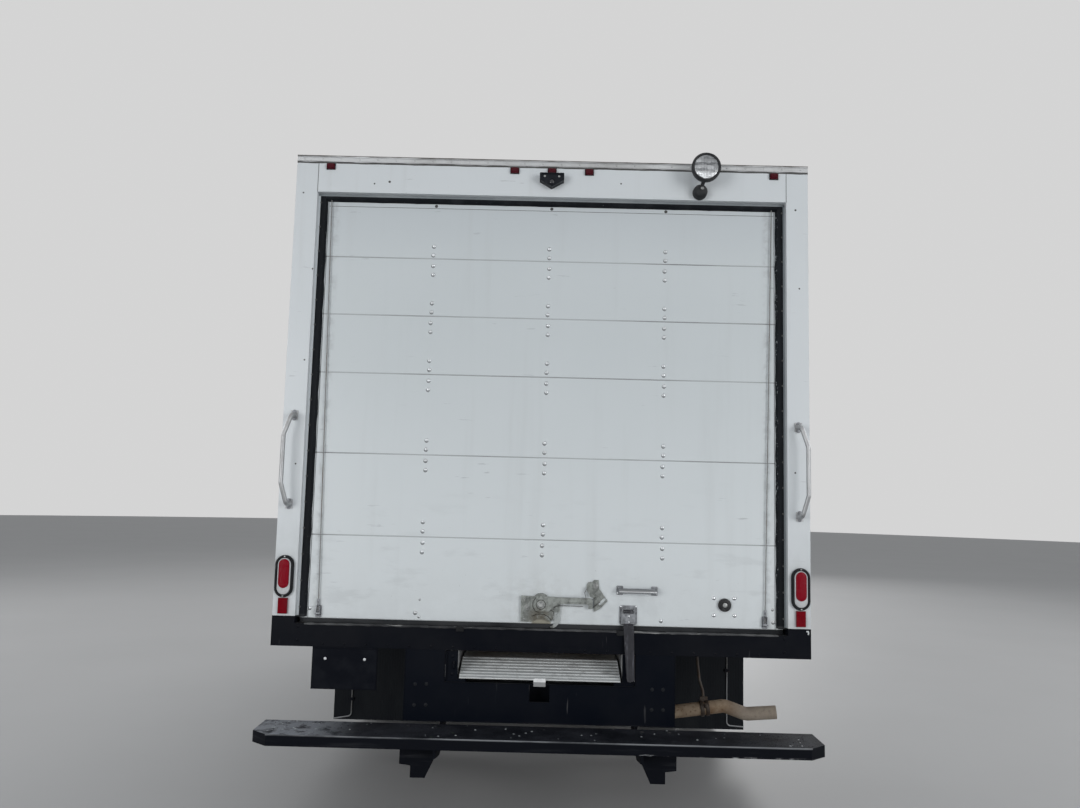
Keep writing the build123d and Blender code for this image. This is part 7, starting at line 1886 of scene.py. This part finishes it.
# ---- Front bumper ------------------------------------------------------------
# Pressed steel bumper in satin grey paint, stone-chipped to the primer, held to the frame
# rails by two coach bolts a side.
place = begin("bumper_paint")
film = cloud(place * (5.0, 5.0, 2.5), 1.0, 6.0).rise(0.3, 0.72)
stone = cloud(place, 45.0, 5.0, 0.7).rise(0.67, 0.71)
rust = cloud(place, 45.0, 5.0, 0.7).rise(0.695, 0.72)
colour = coats(
    (film * 0.5).blend((0.3, 0.31, 0.32), (0.17, 0.165, 0.155)),
    (stone, 0.7, (0.09, 0.09, 0.09)),
    (rust, 0.8, (0.12, 0.05, 0.022)),
)
bumper_paint = close(place, colour, 0.32 + film * 0.3, film - stone, 0.0003, 0.004, coat_weight=0.3)
dress(bumper_paint, "front_bumper")


def bumper_y(x):
    """Front face of the bumper at a place across it."""
    return 3.391 - 0.022 * (x / 0.895) ** 2


bumper_bolts = Shape()
for s in (-1, 1):
    for z in (0.52, 0.62):
        dome(bumper_bolts, facing(FRONT, (s * 0.4, bumper_y(0.4) - 0.0005, z)), 0.014, 0.0042)
bumper_bolts.piece("bumper_bolts", "chrome", chrome, sharp=60)

# ---- Seats -------------------------------------------------------------------
# Two bucket seats in grey woven cloth on black pedestals. Each cover is sewn over foam, with
# cross channels and a piped edge, and has a head restraint on two steel pins.
place = begin("seat_cloth")
thread = (place.x * 1900.0).wave() * 0.5 + (place.z * 1900.0 + place.y * 1900.0).wave() * 0.5
fade = cloud(place, 5.0, 4.0)
fluff = cloud(place, 320.0, 3.0)
colour = (thread * 0.4 + 0.5).blend((0.05, 0.052, 0.058), (0.115, 0.118, 0.125))
colour = (fade * 0.35).blend(colour, (0.15, 0.15, 0.15))
seat_cloth = close(place, colour, 0.85, thread + fluff, 0.0006, sheen_weight=0.3)
FLOOR_TOP = 0.73
SEAT_X = 0.56
MOST_SWELL = 0.009


def groove(distance):
    """How deep a sewn line pulls a cover down at a distance from it, from 0 to 1."""
    return exp(-((distance / 0.008) ** 2))


def settle(made):
    """Make what an object's modifiers show into its own mesh."""
    graph = bpy.context.evaluated_depsgraph_get()
    shown = bpy.data.meshes.new_from_object(made.evaluated_get(graph))
    made.modifiers.clear()
    made.data = shown


def pad_mesh(name, size, channels):
    """Cushion of a size in metres, blown tight inside its cover, with sewn channels across it."""
    work = bmesh.new()
    bmesh.ops.create_cube(work, size=1.0)
    bmesh.ops.scale(work, vec=[side * 0.96 for side in size], verts=work.verts)
    bmesh.ops.bevel(work, geom=list(work.edges), offset=size[2] * 0.32, segments=4, affect="EDGES",
                    profile=0.55)
    mesh = bpy.data.meshes.new(name)
    work.to_mesh(mesh)
    work.free()
    made = stand(name, mesh)
    skin = made.modifiers.new("skin", "REMESH")
    skin.mode = "VOXEL"
    skin.voxel_size = 0.012
    settle(made)
    rest = [v.co.copy() for v in made.data.vertices]
    cover = made.modifiers.new("cover", "CLOTH")
    cover.settings.quality = 4
    cover.settings.use_pressure = True
    cover.settings.uniform_pressure_force = 4.0
    cover.settings.effector_weights.gravity = 0.0
    for step in range(1, 21):
        bpy.context.scene.frame_set(step)
    settle(made)
    for point, start in zip(made.data.vertices, rest):
        moved = point.co - start
        point.co = start + moved * min(1.0, MOST_SWELL / max(moved.length, 1e-6))
    bpy.context.scene.frame_set(1)
    for point in made.data.vertices:
        x, y, z = point.co
        if z > 0:
            seam = sum(groove(y - line) for line in channels)
            edge = min(1.0, max(0.0, (size[0] / 2 - 0.045 - abs(x)) / 0.01))
            point.co.z -= 0.01 * seam * edge + 0.006 * groove(abs(x) - size[0] / 2 + 0.055)
    swell = made.modifiers.new("smooth", "SUBSURF")
    swell.levels = 1
    settle(made)
    shown = made.data
    bpy.data.objects.remove(made)
    shown.shade_smooth()
    shown.materials.clear()
    shown.materials.append(seat_cloth)
    return shown


# name, middle (y, z), lean in degrees, half turn to face ahead, size, lines of the channels
PADS = (
    ("cushion", (1.665, 1.03), 4.6, 0, (0.48, 0.44, 0.135), (-0.11, -0.02, 0.07)),
    ("backrest", (1.388, 1.32), 98.8, pi, (0.46, 0.43, 0.09), (-0.11, -0.03, 0.05, 0.13)),
    ("head_restraint", (1.339, 1.632), 98.8, pi, (0.27, 0.13, 0.07), ()),
)
seat_pieces = []
for pad_name, middle, tilt, flip, size, channels in PADS:
    shown = pad_mesh(pad_name, size, channels)
    for s, side in ((-1, "left"), (1, "right")):
        own = shown.copy()
        turn = Matrix.Rotation(radians(tilt), 4, "X") @ Matrix.Rotation(flip, 4, "Y")
        own.transform(Matrix.Translation((s * SEAT_X, *middle)) @ turn)
        made = stand(f"seat_{pad_name}_{side}", own)
        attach(made, "chassis")
        seat_pieces.append(made)
for made in seat_pieces:
    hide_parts("seats")
pedestals = Shape()
pins = Shape()
SIDE_PLATE = ((1.45, 0.764), (1.82, 0.764), (1.84, 0.962), (1.48, 0.942))
for middle in (-SEAT_X, SEAT_X):
    for x in (middle - 0.19, middle + 0.19):
        pedestals.slab((x - 0.02, 1.42, FLOOR_TOP + 0.0005), (x + 0.02, 1.84, 0.765))
        pedestals.prism(facing(RIGHT, (x - 0.004, 0, 0)), SIDE_PLATE, 0.0, 0.008)
    pedestals.slab((middle - 0.215, 1.455, 0.93), (middle + 0.215, 1.85, 0.966))
    back_at = Matrix.Translation((middle, 1.337, 1.325)) @ Matrix.Rotation(radians(8.8), 4, "X")
    pedestals.slab((-0.205, -0.012, -0.4), (0.205, 0.008, 0.2), back_at)
    for x in (middle - 0.055, middle + 0.055):
        pins.bar([(x, 1.362, 1.48), (x, 1.344, 1.6)], 0.0055, 10)
pedestals.piece("seat_pedestals", "black_plastic", grained, round=0.004)
pins.piece("head_restraint_pins", "chrome", chrome, sharp=60)

# ---- Dashboard and controls --------------------------------------------------
# Moulded grey dashboard with a hooded pair of dials, slatted vents, a plain radio and a
# glovebox lid; a steering column with its shroud and stalks; two pedals on arms.
dress(grained, "dashboard", "steering_wheel")
place = begin("floor_mat")
ridge = (place.x * 420.0).wave() * 0.5 + 0.5
dirt = cloud(place, 6.0, 6.0).rise(0.35, 0.72)
colour = dirt.blend((0.014, 0.014, 0.015), (0.085, 0.078, 0.068))
mat_rubber = close(place, colour, 0.7 + dirt * 0.2, ridge, 0.002)
dress(mat_rubber, "cab_floor")
STEER_X = -0.52
HUB = Vector((STEER_X, 1.9217, 1.33))
lean = Vector((0, cos(radians(38)), -sin(radians(38))))
dials = Shape()
trim = Shape()
DIAL = [(0.032, 0), (0.032, 0.004), (0.0295, 0.004), (0.029, 0.0015), (0, 0.0015)]
arch = [(0.205 * cos(pi * n / 12), 0.075 * sin(pi * n / 12)) for n in range(13)]
arches = []
for y, k in ((2.04, 1.0), (2.06, 1.02), (2.15, 1.0), (2.21, 0.85)):
    outer = [(STEER_X + x * k, y, 1.318 + z * k) for x, z in arch]
    inner = [(STEER_X + x * (k - 0.08), y, 1.318 + z * (k - 0.08)) for x, z in reversed(arch)]
    arches.append(outer + inner)
trim.rings(arches)
trim.slab((STEER_X - 0.19, 2.085, 1.3), (STEER_X + 0.19, 2.095, 1.375))
for x in (STEER_X - 0.085, STEER_X + 0.085):
    dial_at = facing(BACK, (x, 2.084, 1.348))
    dials.turned(dial_at, DIAL, 28)
    for a in [radians(225 - 27 * n) for n in range(11)]:
        mark = [(r * cos(a), r * sin(a), 0.0022) for r in (0.023, 0.0275)]
        dials.bar(mark, 0.0007, 4, place=dial_at)
    dials.bar(((0, 0, 0.003), (-0.012, -0.014, 0.003)), 0.0012, 6, place=dial_at)
vents = Shape()
dash_face = facing((0, -1, 0.3), (0, 2.0135, 1.262))
for x in (-0.835, -0.195, 0.195, 0.835):
    around = [(x - 0.062, -0.03), (x + 0.062, -0.03), (x + 0.062, 0.03), (x - 0.062, 0.03)]
    vents.bar([(*p, 0.004) for p in around], 0.005, 6, closed=True, place=dash_face)
    for n in range(5):
        slat = [(x + dx, -0.022 + n * 0.011, 0.003) for dx in (-0.058, 0.058)]
        vents.bar(slat, 0.0022, 6, flat=1.6, place=dash_face)
glovebox = [(0.3, -0.046, 0.003), (0.74, -0.046, 0.003), (0.74, 0.03, 0.003), (0.3, 0.03, 0.003)]
vents.bar(glovebox, 0.003, 6, closed=True, place=dash_face)
vents.slab((0.5, -0.014, 0.0), (0.54, 0.004, 0.01), dash_face)
vents.slab((-0.105, -0.028, -0.004), (0.105, 0.026, 0.006), dash_face)
for x in (-0.085, 0.085):
    vents.turned(dash_face @ Matrix.Translation((x, 0, 0.006)),
                 [(0.011, 0), (0.0105, 0.014), (0.008, 0.016), (0, 0.016)], 16)
vents.piece("dash_vents", "black_plastic", body_black, sharp=50)
dial_white = mottled("dial_marks", (200.0,), None, (0.3, 0.3, 0.3), (0.48, 0.48, 0.48), 0.4)
dials.piece("dash_dials", "grey_plastic", dial_white, sharp=50)
trim.piece("instrument_hood", "black_plastic", grained, sharp=50)
column = Shape()
column.turned(facing(lean, HUB + lean * 0.04),
              [(0.036, 0), (0.05, 0.02), (0.058, 0.08), (0.058, 0.15), (0.03, 0.155)], 24)
for s in (-1, 1):
    base = HUB + lean * 0.085
    tip = base + Vector((s * 0.19, -0.015, 0.035))
    column.bar([base, base.lerp(tip, 0.6) + lean * 0.008, tip], 0.0055, 10)
column.turned(facing(-lean, HUB - lean * 0.0235),
              [(0.062, -0.004), (0.06, 0.006), (0.044, 0.012), (0, 0.015)], 32)
column.piece("steering_column", "black_plastic", grained, sharp=50)
grip_ring = Shape()
WHEEL_RADIUS = 0.195
upward = RIGHT.cross(lean)
turns = [2 * pi * n / 72 for n in range(72)]
rim_circle = [HUB + (RIGHT * cos(a) + upward * sin(a)) * WHEEL_RADIUS for a in turns]
grip_ring.bar(rim_circle, 0.0158, 12, closed=True)
grip_ring.piece("steering_grip", "black_plastic", body_black, sharp=60)
pedals = Shape()
for x, z, half in ((-0.6, 0.88, 0.042), (-0.44, 0.87, 0.026)):
    pad_at = facing((0, -1, 0.55), (x, 2.085, z))
    pedals.slab((-half, -0.045, 0), (half, 0.045, 0.012), pad_at)
    for y in (-0.03, -0.01, 0.01, 0.03):
        pedals.bar([(end, y, 0.013) for end in (-half * 0.9, half * 0.9)], 0.0022, 6, place=pad_at)
    pedals.bar([(x, 2.09, z), (x, 2.18, z + 0.08), (x, 2.243, z + 0.2)], 0.008, 8)
pedals.piece("pedals", "black_plastic", body_black, sharp=50)
visors = Shape()
for s in (-1, 1):
    visors.slab((s * 0.2, 1.74, 1.972), (s * 0.62, 1.89, 1.986))
    for x in (0.23, 0.59):
        visors.bar([(s * x, 1.88, 1.98), (s * x, 1.88, 2.026)], 0.005, 8)
visors.piece("sun_visors", "grey_plastic", grained, round=0.005)
